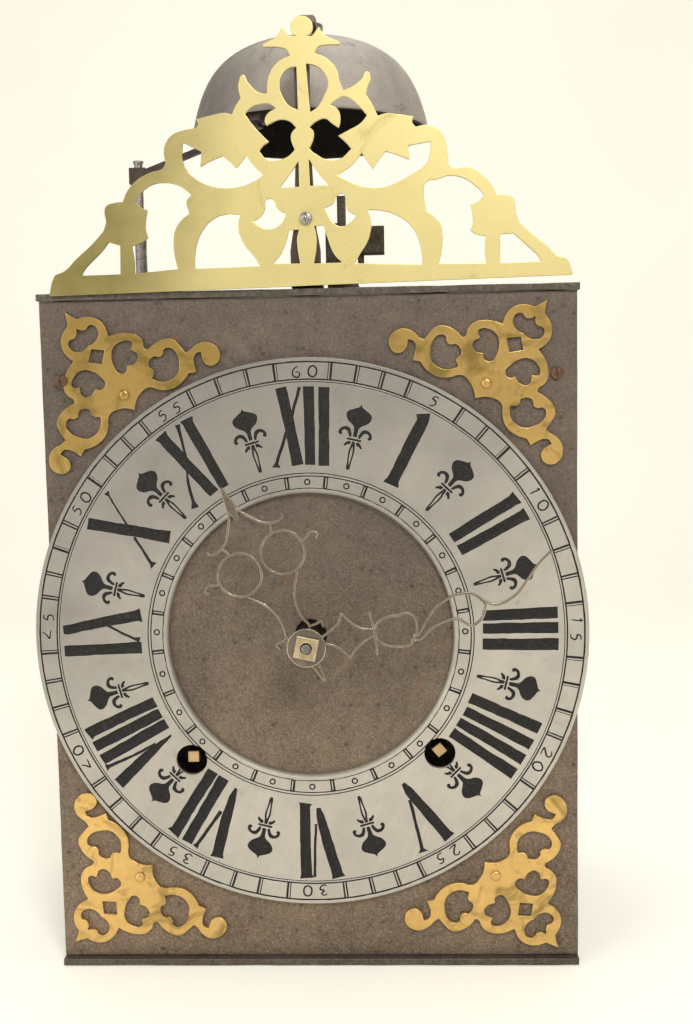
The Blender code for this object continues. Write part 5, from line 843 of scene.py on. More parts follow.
# Wax: its spread beyond a stroke, its depth at a stroke's ends, its gap to the floor, its lap under the rims
# and under the lands
WAX_SPREAD = 0.00022
WAX_END = 0.0001
WAX_GAP = 0.00001
RIM_LAP, LINE_LAP = 0.0003, 0.0006

# Unevenness: waves to the metre in the wax and in the rims, the wax's stray as a share of its width
WAX_WAVES, RIM_WAVES = 500.0, 400.0
WAX_STRAY, WAX_SEED = 0.14, 0.3

# Edges of the ring: the bore's rounding as radius beyond the bore and level, and the outer chamfer
BORE_EDGE = ((0.0, -0.0011), (0.0003, -0.0005), (0.0009, 0.0))
OUTER_CHAMFER = 0.0004
SAME_RADIUS = 1e-5

# Winding holes through the ring and through its wax, and how far the drills reach beyond the ring
WINDING_HOLE = 0.0071
WAX_HOLE = 0.0072
DRILL_OVERRUN = 0.01

# Points to a full turn of the ring's rims, of its inner lines and of its thin rings
RIM_STEPS, INNER_STEPS, LINE_STEPS = 256, 160, 300

# Share of a line's half width that the thinner circles have
THIN = 0.6


def both_halves(half):
    left = [(-x, y, corner) for x, y, corner in reversed(half) if x > 0]
    return list(half) + left


def sized(loop, scale):
    return [(x * scale, y * scale, corner) for x, y, corner in loop]


def mirrored(loop):
    return [(-x, y, corner) for x, y, corner in loop[::-1]]


def on_curve(before, here, onward, after, t):
    """Value at a share of the way from one value to the next, on a smooth line through four in a row."""
    return 0.5 * (2 * here + (onward - before) * t + (2 * before - 5 * here + 4 * onward - after) * t ** 2
                  + (3 * here - before - 3 * onward + after) * t ** 3)


def smoothed(points, steps, closed=False):
    """Points along a smooth line through the given ones."""
    spots = [Vector(p) for p in points]
    n = len(spots)
    made = []
    for i in range(n if closed else n - 1):
        places = [(i + k) % n if closed else min(max(i + k, 0), n - 1) for k in (-1, 0, 1, 2)]
        near = [spots[place] for place in places]
        made += [on_curve(*near, k / steps) for k in range(steps)]
    return made if closed else made + [spots[-1]]


def outline_of(points, widths, closed=False):
    """Closed outline of a stroke along points, with its width at each."""
    n = len(points)
    left, right = [], []
    for i, here in enumerate(points):
        before = points[i - 1] if closed or i else here
        after = points[(i + 1) % n] if closed or i < n - 1 else here
        along = (after - before).normalized()
        across = Vector((-along.y, along.x)) * widths[i] / 2
        left.append(tuple(here + across))
        right.append(tuple(here - across))
    if closed:
        left.append(left[0])
        right.append(right[0])
    return left + right[::-1]


def inside(spot, loop):
    """Whether an outline winds round a place."""
    winds = 0
    for (ax, ay), (bx, by) in zip(loop, loop[1:] + loop[:1]):
        if (ay > spot.y) != (by > spot.y) and spot.x < (bx - ax) * (spot.y - ay) / (by - ay) + ax:
            winds += 1 if by > ay else -1
    return winds != 0


def area_of(loop):
    return abs(sum(a[0] * b[1] - b[0] * a[1] for a, b in zip(loop, loop[1:] + loop[:1]))) / 2


# Distance in millimetres under which two crossings are one, and the smallest outline kept, in square metres
MERGE_GAP = 0.0001
SMALLEST_LAND = 2e-7


def merged(loops):
    """Outlines of all that the given outlines cover together, worked out in millimetres."""
    verts, faces = [], []
    for loop in loops:
        faces.append(list(range(len(verts), len(verts) + len(loop))))
        verts += [Vector(p[:2]) * 1000 for p in loop]
    plain = [[tuple(verts[i]) for i in face] for face in faces]
    spots, _, cells, _, _, _ = delaunay_2d_cdt(verts, [], faces, 0, MERGE_GAP)
    sides = set()
    for cell in cells:
        middle = sum((spots[i] for i in cell), Vector((0.0, 0.0))) / len(cell)
        if any(inside(middle, loop) for loop in plain):
            sides.update(zip(cell, cell[1:] + cell[:1]))
    ahead = {}
    for a, b in sides:
        if (b, a) not in sides:
            ahead.setdefault(a, []).append(b)
    made = []
    while ahead:
        start = here = next(iter(ahead))
        loop = []
        while here in ahead:
            loop.append((spots[here].x * MM, spots[here].y * MM))
            onward = ahead[here].pop()
            if not ahead[here]:
                del ahead[here]
            here = onward
        if here == start and area_of(loop) > SMALLEST_LAND:
            made.append(loop)
    return made


def rounded(loop):
    """Points along the smooth outline through flagged points; flagged ones stay corners."""
    n, steps = len(loop), 5
    made = []
    for i in range(n):
        before, here, onward, after = (loop[(i + k) % n] for k in (-1, 0, 1, 2))
        before, after = (here if here[2] else before), (onward if onward[2] else after)
        made += [tuple(on_curve(before[m], here[m], onward[m], after[m], k / steps) for m in (0, 1))
                 for k in range(steps)]
    return made


def sector(inner, outer, start, end):
    """Outline of a piece of a track between two angles in degrees clockwise from noon."""
    steps = max(2, int(end - start))
    angles = [math.radians(start + (end - start) * i / steps) for i in range(steps + 1)]
    high = [(outer * math.sin(a), outer * math.cos(a)) for a in angles]
    low = [(inner * math.sin(a), inner * math.cos(a)) for a in reversed(angles)]
    return high + low


def clockwise(loop, degrees):
    return turned_loop(loop, -degrees)


def spot_at(degrees, radius):
    """Place on the ring's plane, in metres, from an angle clockwise from noon and a radius in millimetres."""
    angle = math.radians(degrees)
    return Vector((math.sin(angle), math.cos(angle))) * radius * MM


def stroke_line(stroke):
    """Centre line of a stroke with its width as the third number of each point."""
    steps = 6
    spots = [Vector((*spot_at(angle, radius), width * MM)) for angle, radius, width in stroke]
    line = [here.lerp(onward, k / steps) for here, onward in zip(spots, spots[1:]) for k in range(steps)]
    return line + [spots[-1]]


def stroke_loop(stroke, seed, wobble):
    """Closed outline of a stroke with the slightly rough edges of the graver."""
    line = stroke_line(stroke)
    loop = outline_of([p.xy for p in line], [p.z for p in line])
    loop = drifted(loop, reach=0.0011, amount=wobble * 0.8, seed=seed)
    return drifted(loop, reach=0.005, amount=wobble, seed=seed + 9.0)


def figure_lines():
    """Centre line of each digit of the minute figures, whether it is closed, and its own seed."""
    lines = []
    for k, turn in enumerate(FIGURE_SPOTS):
        digits = str(k * 5 + 5)
        for place, digit in enumerate(digits):
            shift = (place - (len(digits) - 1) / 2) * FIGURE_PITCH - FIGURE_MIDDLE[0]
            spots = [(x + shift, y - FIGURE_MIDDLE[1]) for x, y in FIGURES[digit]]
            spots = turned_loop(spots, FIGURE_SWING * math.sin(k * 5.3 + place * 2.0))
            closed = digit == "0"
            line = [(p.x * MM, p.y * MM + FIGURE_BAND) for p in smoothed(spots, 4, closed)]
            lines.append(([Vector(p) for p in clockwise(line, turn)], closed, k * 3.1 + place))
    return lines


# Places of the plain-number sockets of the Random Value node
RANDOM_MIN, RANDOM_MAX, RANDOM_VALUE = 2, 3, 1


def stored_turn(tree):
    """The turn that each point carries."""
    node = add(tree, "GeometryNodeInputNamedAttribute", {"data_type": "FLOAT"}, Name="turn")
    return node.outputs["Attribute"]


def end_tree(tree, geometry, material, out):
    """Ends a geometry tree with real geometry in its material."""
    real = add(tree, "GeometryNodeRealizeInstances", None, (geometry,)).outputs[0]
    done = add(tree, "GeometryNodeSetMaterial", None, Geometry=real, Material=material).outputs[0]
    tree.links.new(done, out)


def lands_tree():
    """Fills the ring's tracks and bands between the engraved lines and raises them to the ring's face."""
    shapes = ("Outlines", "Fleur", "Fleur spots", "Bar", "Bar spots", "Rung", "Rung spots", "Eye",
              "Eye spots")
    tree, given, out = start_group("Ring lands", "GeometryNodeTree", (
        ("Geometry", GEOMETRY, None), *((name, OBJECT, None) for name in shapes), ("Height", FLOAT, 0.001),
        ("Wobble", FLOAT, 0.0001), ("Slip", FLOAT, 0.01), ("Seed", "NodeSocketInt", TRACK_SEED),
        ("Material", MATERIAL, None)), (("Geometry", GEOMETRY),))
    turn = stored_turn(tree)

    def shape_of(name):
        return add(tree, "GeometryNodeObjectInfo", None, Object=given[name]).outputs["Geometry"]

    def around(name):
        slip = add(tree, "FunctionNodeRandomValue", {"data_type": "FLOAT"}, Seed=given["Seed"])
        slip.inputs[RANDOM_MIN].default_value = 0.0
        slip.inputs[RANDOM_MAX].default_value = 1.0
        lean = product(tree, calc(tree, "SUBTRACT", slip.outputs[RANDOM_VALUE], 0.5), given["Slip"])
        spin = add(tree, "ShaderNodeCombineXYZ", None, Z=calc(tree, "SUBTRACT", lean, turn)).outputs[0]
        rotation = add(tree, "FunctionNodeEulerToRotation", None, (spin,)).outputs[0]
        return add(tree, "GeometryNodeInstanceOnPoints", None, Points=shape_of(name + " spots"),
                   Instance=shape_of(name), Rotation=rotation).outputs[0]

    joined = add(tree, "GeometryNodeJoinGeometry")
    for piece in (shape_of("Outlines"), around("Fleur"), around("Bar"), around("Rung"), around("Eye")):
        tree.links.new(piece, joined.inputs[0])
    drawn = add(tree, "GeometryNodeRealizeInstances", None, (joined.outputs[0],)).outputs[0]
    place = add(tree, "GeometryNodeInputPosition").outputs[0]
    stray = add(tree, "ShaderNodeTexNoise", None, Vector=place, Scale=480.0, Detail=3.0).outputs["Color"]
    centred = add(tree, "ShaderNodeVectorMath", {"operation": "SUBTRACT"}, (stray, (0.5, 0.5, 0.5)))
    flat = add(tree, "ShaderNodeVectorMath", {"operation": "MULTIPLY"}, (centred.outputs[0], (1.0, 1.0, 0.0)))
    moved = add(tree, "ShaderNodeVectorMath", {"operation": "SCALE"}, Vector=flat.outputs[0],
                Scale=given["Wobble"]).outputs[0]
    wavy = add(tree, "GeometryNodeSetPosition", None, Geometry=drawn, Offset=moved).outputs[0]
    filled = add(tree, "GeometryNodeFillCurve", None, (wavy,)).outputs[0]
    raised = add(tree, "GeometryNodeExtrudeMesh", {"mode": "FACES"}, Mesh=filled,
                 Offset_Scale=given["Height"], Individual=False).outputs[0]
    under = add(tree, "GeometryNodeFlipFaces", None, (filled,)).outputs[0]
    solid = add(tree, "GeometryNodeJoinGeometry")
    tree.links.new(raised, solid.inputs[0])
    tree.links.new(under, solid.inputs[0])
    welded = add(tree, "GeometryNodeMergeByDistance", None, Geometry=solid.outputs[0], Distance=SAME_CORNER)
    end_tree(tree, welded.outputs[0], given["Material"], out["Geometry"])
    return tree


def turned_spots(name, angles, spots=None):
    """Bare points that carry a turn in degrees each."""
    mesh = bpy.data.meshes.new(name)
    mesh.from_pydata(spots or [(0.0, 0.0, 0.0)] * len(angles), [], [])
    turn = mesh.attributes.new("turn", "FLOAT", "POINT")
    turn.data.foreach_set("value", [math.radians(a) for a in angles])
    return linked(name, mesh)


def grown(host, tree, values):
    """Runs a geometry tree on an object with named inputs and leaves a plain mesh."""
    step = host.modifiers.new(tree.name, "NODES")
    step.node_group = tree
    for item in tree.interface.items_tree:
        if item.in_out == "INPUT" and item.name in values:
            step[item.identifier] = values[item.name]
    return settled(host)


def winding_drills(radius):
    """Cylinders through the two winding holes."""
    front, back = ring_front - DRILL_OVERRUN, ring_back + DRILL_OVERRUN
    drills = []
    for node in ("going_barrel", "strike_barrel"):
        bm = bmesh.new()
        revolved(bm, ((0.0, -back), (radius, -back), (radius, -front), (0.0, -front)), 72)
        bmesh.ops.recalc_face_normals(bm, faces=bm.faces)
        upright(bm, 0.0, middle_of(node))
        drills.append(object_from("winding_drill", bm))
    return drills


def trough(bm, line, floor, lip, bottom):
    """V-shaped bed of wax along a stroke, as a closed body under the ring's face."""
    spots = [Vector((p.x, p.y)) for p in line]
    first, last = (spots[1] - spots[0]).normalized(), (spots[-1] - spots[-2]).normalized()
    spots[0] -= first * WAX_SPREAD
    spots[-1] += last * WAX_SPREAD
    rows = []
    for i, here in enumerate(spots):
        along = (spots[min(i + 1, len(spots) - 1)] - spots[max(i - 1, 0)]).normalized()
        aside = Vector((along.y, -along.x)) * (line[i].z / 2 + WAX_SPREAD)
        rough = noise.noise(Vector((here.x, here.y, WAX_SEED)) * WAX_WAVES) * WAX_STRAY
        low = lip + WAX_END if i in (0, len(spots) - 1) else floor
        section = ((0.0, lip), (0.16, lip + (low - lip) * 0.7), (0.40 + rough, low),
                   (0.66 + rough, lip + (low - lip) * 0.66), (0.86, lip + (low - lip) * 0.3), (1.0, lip),
                   (1.0, bottom), (0.0, bottom))
        places = [(here - aside + aside * 2 * share, level) for share, level in section]
        rows.append([bm.verts.new((spot.x, spot.y, -level)) for spot, level in places])
    lofted(bm, rows)


def track_outlines(sizes):
    """Lands of the minute track and the quarter track between their dividers, and the thin rings."""
    half = sizes.groove / 2
    thin = half * THIN
    minute_foot = sizes.minute_line - sizes.double_gap
    quarter_rim = sizes.quarter_line - sizes.double_gap
    tracks = (
        (MINUTE_BARS, sizes.minute_line + half, sizes.rim_line - half,
         (half * 2 + MINUTE_BAR_ROOM) / sizes.minute_line),
        (QUARTER_BARS, sizes.inner_line + thin, quarter_rim - half,
         (half + QUARTER_BAR_ROOM) / sizes.quarter_line))
    loops = []
    for angles, inner, outer, turn in tracks:
        room = math.degrees(turn)
        bars = [*angles, angles[0] + 360.0]
        for here, onward in zip(bars, bars[1:]):
            loops.append(sector(inner, outer, here + room, onward - room))
    for outer, inner in ((sizes.minute_line - half, minute_foot + thin),
                         (minute_foot - thin, sizes.quarter_line + half),
                         (sizes.quarter_line - half * 0.4, quarter_rim + thin)):
        loops += [circle(outer, LINE_STEPS), circle(inner, LINE_STEPS)]
    return loops


def fleur_outlines(band):
    """Outlines of a fleur-de-lis on its band's radius, with the opening in its tail last."""
    whole = [both_halves(half) for half in (FLEUR_BULB, FLEUR_BAND, FLEUR_TAIL)]
    sides = [FLEUR_HOOK, FLEUR_PETAL, mirrored(FLEUR_HOOK), mirrored(FLEUR_PETAL)]
    parts = [[(x * MM, y * MM + band) for x, y in rounded(part)]
             for part in whole + sides + [both_halves(FLEUR_CORE)]]
    return merged(parts[:-1]) + parts[-1:]


def ring_bed(sizes, rim_in, rim_out):
    """Ring with its rims at full height and a sunk floor between them, for the lands and the wax."""
    bore, thick, relief = sizes.ring_bore, ring_back - ring_front, sizes.relief
    bm = bmesh.new()
    revolved(bm, (
        (bore, -thick), *((bore + out, level) for out, level in BORE_EDGE), (rim_in, 0.0),
        (rim_in, -relief), (rim_out, -relief), (rim_out, 0.0), (ring_radius - OUTER_CHAMFER, 0.0),
        (ring_radius, -OUTER_CHAMFER), (ring_radius, -thick)), RIM_STEPS, True)
    for vert in bm.verts:
        radius = math.hypot(vert.co.x, vert.co.y)
        stray = noise.noise(vert.co * RIM_WAVES) * sizes.wobble
        if abs(radius - rim_out) < SAME_RADIUS or abs(radius - rim_in) < SAME_RADIUS:
            vert.co.x *= 1 + stray / radius
            vert.co.y *= 1 + stray / radius
    upright(bm, ring_front, ring_spot)
    bed = bored(object_from("ring_bed", bm), *winding_drills(WINDING_HOLE))
    dressed(bed, "pewter", "chapter_ring")


def ring_face(sizes):
    """Lands that stand between the engraved lines, numerals, figures and fleurs-de-lis."""
    half, wobble = sizes.groove / 2, sizes.wobble
    outlines = track_outlines(sizes)
    for hour, strokes in enumerate(NUMERALS):
        outlines += merged([stroke_loop(stroke, hour * 7.0 + k, wobble) for k, stroke in enumerate(strokes)])
    for line, closed, seed in figure_lines():
        ends = len(line) - 1
        narrowing = 0 if closed else FIGURE_TAPER
        widths = [sizes.figure_stroke * (1.0 - narrowing * abs(2 * i / ends - 1)) for i in range(len(line))]
        loop = outline_of(line, widths, closed)
        outlines += merged([drifted(loop, reach=0.0016, amount=wobble * 0.6, seed=seed)])
    quarter_rim = sizes.quarter_line - sizes.double_gap
    eye = (0.0, (quarter_rim + sizes.inner_line) / 2)
    bar = sector(sizes.minute_line + half, sizes.rim_line - half, -MINUTE_BAR_HALF, MINUTE_BAR_HALF)
    rung = sector(sizes.inner_line + half * 1.6, quarter_rim - half * 2.0, -QUARTER_BAR_HALF,
                  QUARTER_BAR_HALF)
    fleur = fleur_outlines(sizes.quarter_line + FLEUR_BAND_RISE)
    shapes = {
        "Outlines": curve_of("ring_outlines", outlines),
        "Fleur": curve_of("fleur", fleur), "Fleur spots": turned_spots("fleur_spots", FLEUR_SPOTS),
        "Bar": curve_of("bar", [bar]), "Bar spots": turned_spots("bar_spots", MINUTE_BARS),
        "Rung": curve_of("rung", [rung]), "Rung spots": turned_spots("rung_spots", QUARTER_BARS),
        "Eye": curve_of("eye", [circle(EYE_OUTER, 16, eye), circle(EYE_INNER, 12, eye)]),
        "Eye spots": turned_spots("eye_spots", [a + EYE_TURN for a in QUARTER_BARS]),
    }
    face = grown(linked("ring_face", bpy.data.meshes.new("ring_face")), lands_tree(), {
        **shapes, "Height": sizes.relief, "Wobble": wobble, "Slip": TRACK_SLIP, "Seed": TRACK_SEED,
        "Material": bpy.data.materials["pewter"]})
    for used in shapes.values():
        bpy.data.objects.remove(used)
    face.data.transform(standing(ring_front + sizes.relief, ring_spot))
    bored(face, *winding_drills(WINDING_HOLE))
    dressed(face, "pewter", "chapter_ring")


def ring_wax(sizes, rim_in, rim_out):
    """Wax in the numerals, and a thin sheet of it that shows in the lines, figures and fleurs-de-lis."""
    bm = bmesh.new()
    for strokes in NUMERALS:
        for stroke in strokes:
            widths = [width for _, _, width in stroke]
            wide = max(widths) > WIDE_STROKE and sum(widths) / len(widths) > WIDE_AVERAGE
            trough(bm, stroke_line(stroke), DEEP_WAX if wide else SHALLOW_WAX, sizes.wax_drop,
                   sizes.relief - WAX_GAP)
    upright(bm, ring_front, ring_spot)
    dressed(object_from("numeral_wax", bm, 20.0), "black_wax", "chapter_ring")
    pad = [(x * MM, sizes.quarter_line + y * MM) for x, y, _ in both_halves(FLEUR_PAD)]
    loops = [circle(rim_out + RIM_LAP, RIM_STEPS),
             circle(sizes.minute_line - sizes.double_gap - LINE_LAP, RIM_STEPS),
             circle(sizes.quarter_line + LINE_LAP, INNER_STEPS), circle(rim_in - RIM_LAP, INNER_STEPS)]
    loops += [clockwise(pad, turn) for turn in FLEUR_SPOTS]
    sheet = cut_sheet("line_wax", [turned_loop(loop, 0.0, ring_spot) for loop in loops],
                      ring_front + sizes.wax_drop * 1.5, ring_front + sizes.relief - WAX_GAP, 0.0)
    bored(sheet, *winding_drills(WAX_HOLE))
    dressed(sheet, "black_wax", "chapter_ring")


class CLOCK_OT_chapter_ring(bpy.types.Operator):
    """Build the engraved chapter ring and its black wax"""
    bl_idname = "clock.chapter_ring"
    bl_label = "Chapter ring"

    def execute(self, context):
        sizes = context.scene.clock_sizes
        half = sizes.groove / 2
        rim_in, rim_out = sizes.inner_line - half * THIN, sizes.rim_line + half * 1.2
        ring_bed(sizes, rim_in, rim_out)
        ring_face(sizes)
        ring_wax(sizes, rim_in, rim_out)
        return {"FINISHED"}


# Corner pieces and pediment, in thousandths of the reach and of the half width, with corner flags

def shares(points):
    """Points given in thousandths, as shares of one."""
    return [(x / 1000, y / 1000, corner) for x, y, corner in points]


CORNER_OUTER = shares((
    (1000, 0, 1), (925, 30, 0), (870, 60, 1), (835, 150, 0), (760, 222, 0), (660, 245, 0), (555, 218, 1),
    (525, 315, 0), (470, 398, 0), (400, 452, 0), (320, 462, 0), (248, 440, 0), (222, 455, 1), (232, 545, 0),
    (212, 650, 0), (160, 718, 0), (75, 737, 0), (-18, 743, 1), (-24, 800, 0), (-14, 860, 0), (-36, 955, 0),
    (-95, 1010, 0), (-170, 1030, 0), (-250, 998, 0), (-286, 930, 0), (-262, 862, 0), (-195, 836, 0),
    (-130, 857, 0), (-100, 872, 1), (-88, 815, 0), (-125, 767, 0), (-240, 713, 1), (-205, 645, 1),
    (-230, 575, 0), (-240, 490, 0), (-218, 392, 0), (-160, 312, 0), (-95, 262, 0), (-72, 215, 0),
    (-80, 150, 0), (-110, 75, 0), (-180, 0, 1),
))
CORNER_MIDDLE = [shares(window) for window in (
    ((600, 0, 1), (590, 50, 0), (606, 120, 0), (650, 162, 0), (720, 160, 0), (748, 120, 0), (735, 70, 0),
     (755, 30, 0), (800, 0, 1)),
    ((375, 0, 1), (467, 100, 1), (555, 0, 1)),
)]
CORNER_SIDE = [shares(window) for window in (
    ((379, 368, 0), (435, 304, 0), (437, 198, 0), (375, 125, 0), (282, 88, 0), (196, 90, 0), (177, 155, 0),
     (217, 195, 1), (188, 259, 1), (208, 326, 0), (255, 348, 1), (322, 315, 1), (353, 362, 0)),
    ((-73, 619, 0), (27, 665, 0), (108, 645, 0), (131, 590, 0), (100, 559, 1), (93, 512, 0), (131, 468, 0),
     (118, 400, 0), (75, 366, 1), (18, 379, 0), (-35, 322, 1), (-82, 350, 0), (-131, 410, 0),
     (-148, 490, 0), (-129, 563, 0)),
)]
CORNER_CUSPS = {"top_left": 124.4, "top_right": 53.0, "bottom_left": 224.8, "bottom_right": 309.6}

# Length of a corner piece from its pin to its cusp, in metres
CORNER_REACH = 0.0451

FRET_LEFT_OUTER = shares((
    (0, 998, 0), (18, 988, 0), (30, 960, 0), (20, 932, 0), (9, 926, 1), (35, 924, 1), (61, 962, 1),
    (80, 930, 0), (136, 900, 1), (136, 888, 1), (82, 886, 0), (50, 877, 0), (37, 856, 1), (84, 834, 0),
    (119, 790, 0), (129, 748, 0), (130, 718, 1), (162, 725, 0), (200, 765, 0), (218, 793, 0), (234, 767, 0),
    (236, 739, 0), (230, 709, 1), (251, 680, 0), (265, 650, 1), (299, 657, 0), (336, 652, 0), (405, 640, 1),
    (398, 621, 0), (408, 607, 1), (452, 601, 0), (497, 585, 0), (523, 554, 0), (531, 523, 0), (526, 479, 1),
    (540, 460, 0), (585, 449, 0), (638, 425, 0), (677, 386, 0), (698, 343, 1), (731, 340, 0), (763, 327, 0),
    (770, 304, 0), (766, 271, 0), (778, 238, 1), (825, 192, 0), (895, 134, 0), (934, 96, 0), (977, 78, 1),
    (990, 52, 0), (1000, 14, 1), (1000, 0, 1),
))
FRET_LEFT_WINDOWS = [shares(window) for window in (
    ((14, 815, 1), (42, 810, 0), (70, 784, 0), (80, 742, 0), (70, 707, 0), (46, 672, 0), (14, 655, 1)),
    ((215, 650, 1), (194, 672, 0), (156, 683, 0), (115, 678, 0), (97, 664, 1), (129, 645, 0), (140, 620, 0),
     (134, 602, 1), (108, 615, 0), (79, 622, 0), (49, 615, 0), (24, 589, 1), (40, 575, 0), (47, 552, 0),
     (34, 508, 1), (56, 487, 0), (93, 474, 0), (136, 476, 0), (165, 512, 1), (150, 530, 0), (128, 543, 1),
     (165, 584, 0), (195, 620, 0)),
    ((20, 465, 1), (21, 370, 1), (98, 370, 1), (56, 418, 0)),
    ((457, 555, 1), (387, 518, 1), (393, 462, 1), (352, 482, 0), (307, 498, 1), (279, 475, 0),
     (258, 452, 1), (235, 474, 0), (216, 498, 1), (188, 457, 0), (155, 422, 1), (183, 403, 0),
     (243, 384, 0), (316, 381, 0), (374, 396, 0), (417, 421, 0), (445, 451, 0), (460, 494, 0)),
    ((201, 250, 1), (171, 267, 0), (155, 295, 0), (152, 327, 0), (135, 333, 0), (120, 323, 0),
     (111, 297, 0), (94, 282, 0), (76, 275, 1), (88, 247, 0), (111, 224, 0), (141, 217, 0), (173, 226, 0)),
    ((135, 89, 1), (108, 117, 0), (82, 166, 0), (67, 212, 1), (29, 212, 1), (38, 182, 0), (39, 146, 0),
     (31, 84, 1)),
    ((433, 82, 1), (431, 119, 0), (420, 177, 0), (397, 226, 0), (359, 264, 0), (306, 282, 0), (250, 278, 1),
     (259, 249, 0), (261, 210, 1), (239, 160, 0), (204, 117, 0), (183, 82, 1)),
    ((651, 348, 1), (622, 380, 0), (580, 403, 0), (535, 408, 0), (488, 398, 0), (455, 378, 0),
     (434, 357, 1), (453, 337, 0), (445, 288, 1), (476, 266, 0), (502, 231, 0), (511, 188, 0),
     (509, 137, 0), (499, 82, 1), (668, 75, 1), (665, 122, 0), (670, 179, 1), (632, 190, 0), (607, 207, 1),
     (615, 236, 0), (614, 272, 0), (606, 309, 1), (636, 327, 0)),
    ((760, 197, 1), (739, 190, 0), (716, 183, 1), (723, 75, 1), (870, 75, 1), (864, 90, 0), (832, 125, 0),
     (794, 160, 0)),
)]
FRET_RIGHT_OUTER = shares((
    (12, 999, 0), (40, 987, 0), (52, 959, 0), (41, 931, 0), (26, 926, 1), (48, 923, 1), (74, 958, 1),
    (93, 927, 0), (152, 899, 1), (152, 887, 1), (99, 888, 0), (70, 883, 0), (57, 862, 1), (102, 840, 0),
    (139, 794, 0), (147, 753, 0), (160, 719, 1), (184, 728, 0), (229, 758, 0), (250, 785, 0), (264, 759, 0),
    (252, 730, 0), (244, 700, 1), (270, 656, 0), (285, 619, 1), (319, 627, 0), (352, 623, 0), (418, 612, 1),
    (413, 590, 0), (425, 574, 1), (463, 578, 0), (509, 561, 0), (536, 519, 0), (541, 487, 0), (545, 434, 1),
    (559, 417, 0), (613, 418, 0), (661, 393, 0), (701, 349, 0), (722, 307, 1), (752, 307, 0), (779, 298, 0),
    (787, 275, 0), (793, 235, 0), (805, 202, 1), (846, 159, 0), (909, 104, 0), (942, 73, 0), (977, 64, 1),
    (990, 39, 0), (1000, 7, 1), (1000, 0, 1),
))
FRET_RIGHT_WINDOWS = [shares(window) for window in (
    ((22, 825, 1), (51, 819, 0), (89, 789, 0), (102, 747, 0), (88, 710, 0), (61, 665, 0), (32, 645, 1)),
    ((246, 624, 1), (217, 659, 0), (164, 697, 0), (126, 684, 0), (107, 671, 1), (138, 648, 0),
     (144, 603, 0), (137, 583, 1), (112, 600, 0), (87, 619, 0), (56, 612, 0), (24, 589, 1), (39, 574, 0),
     (40, 552, 0), (21, 509, 1), (46, 488, 0), (89, 466, 0), (133, 467, 0), (181, 504, 1), (162, 528, 0),
     (134, 553, 1), (171, 571, 0), (222, 597, 0)),
    ((19, 471, 1), (21, 371, 1), (92, 370, 1), (53, 419, 0)),
    ((482, 516, 1), (394, 506, 1), (398, 453, 1), (356, 471, 0), (307, 487, 1), (279, 454, 0),
     (258, 424, 1), (237, 456, 0), (219, 487, 1), (180, 445, 0), (123, 409, 1), (155, 391, 0),
     (229, 362, 0), (301, 357, 0), (379, 385, 0), (425, 410, 0), (455, 429, 0), (473, 455, 0)),
    ((192, 256, 1), (162, 272, 0), (150, 301, 0), (149, 334, 0), (132, 340, 0), (117, 330, 0),
     (106, 306, 0), (88, 295, 0), (70, 288, 1), (83, 259, 0), (107, 227, 0), (137, 217, 0), (166, 230, 0)),
    ((131, 80, 1), (104, 109, 0), (79, 176, 0), (64, 226, 1), (29, 223, 1), (37, 191, 0), (37, 149, 0),
     (24, 81, 1)),
    ((434, 61, 1), (434, 90, 0), (423, 152, 0), (401, 203, 0), (346, 250, 0), (284, 271, 0), (233, 275, 1),
     (242, 246, 0), (246, 209, 1), (231, 159, 0), (200, 111, 0), (179, 76, 1)),
    ((675, 309, 1), (644, 344, 0), (591, 380, 0), (542, 388, 0), (498, 377, 0), (468, 374, 0),
     (450, 358, 1), (449, 306, 0), (457, 263, 1), (485, 240, 0), (508, 210, 0), (514, 173, 0),
     (512, 122, 0), (498, 62, 1), (679, 55, 1), (675, 101, 0), (679, 159, 1), (644, 167, 0), (619, 184, 1),
     (629, 199, 0), (629, 233, 0), (623, 276, 1), (659, 289, 0)),
    ((782, 162, 1), (758, 162, 0), (732, 161, 1), (730, 54, 1), (880, 54, 1), (874, 69, 0), (844, 100, 0),
     (815, 128, 0)),
)]


def across_axis(half, scale):
    """Outline mirrored across its own axis, which runs along its first coordinate."""
    upper = [(x * scale, y * scale, corner) for x, y, corner in half]
    return upper + [(x * scale, -y * scale, corner) for x, y, corner in reversed(half) if y > 0]


class CLOCK_OT_corner_pieces(bpy.types.Operator):
    """Build the four pierced brass corner pieces"""
    bl_idname = "clock.corner_pieces"
    bl_label = "Corner pieces"

    def execute(self, context):
        sizes = context.scene.clock_sizes
        loops = [across_axis(CORNER_OUTER, CORNER_REACH)]
        loops += [across_axis(half, CORNER_REACH) for half in CORNER_MIDDLE]
        for window in CORNER_SIDE:
            loops.append(sized(window, CORNER_REACH))
            loops.append([(x, -y, corner) for x, y, corner in reversed(loops[-1])])
        for number, (name, direction) in enumerate(CORNER_CUSPS.items()):
            spot = middle_of("corner_pin_" + name)
            low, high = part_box("corner_" + name)
            placed = [turned_loop(drifted(loop, reach=0.012, amount=0.0004, seed=number), direction, spot)
                      for loop in loops]
            sheet = cut_sheet("corner_sheet_" + name, placed, low.y, high.y, sizes.sheet_edge * 1.6, 6)
            dressed(sheet, "corner_brass", "corner_" + name)
        return {"FINISHED"}


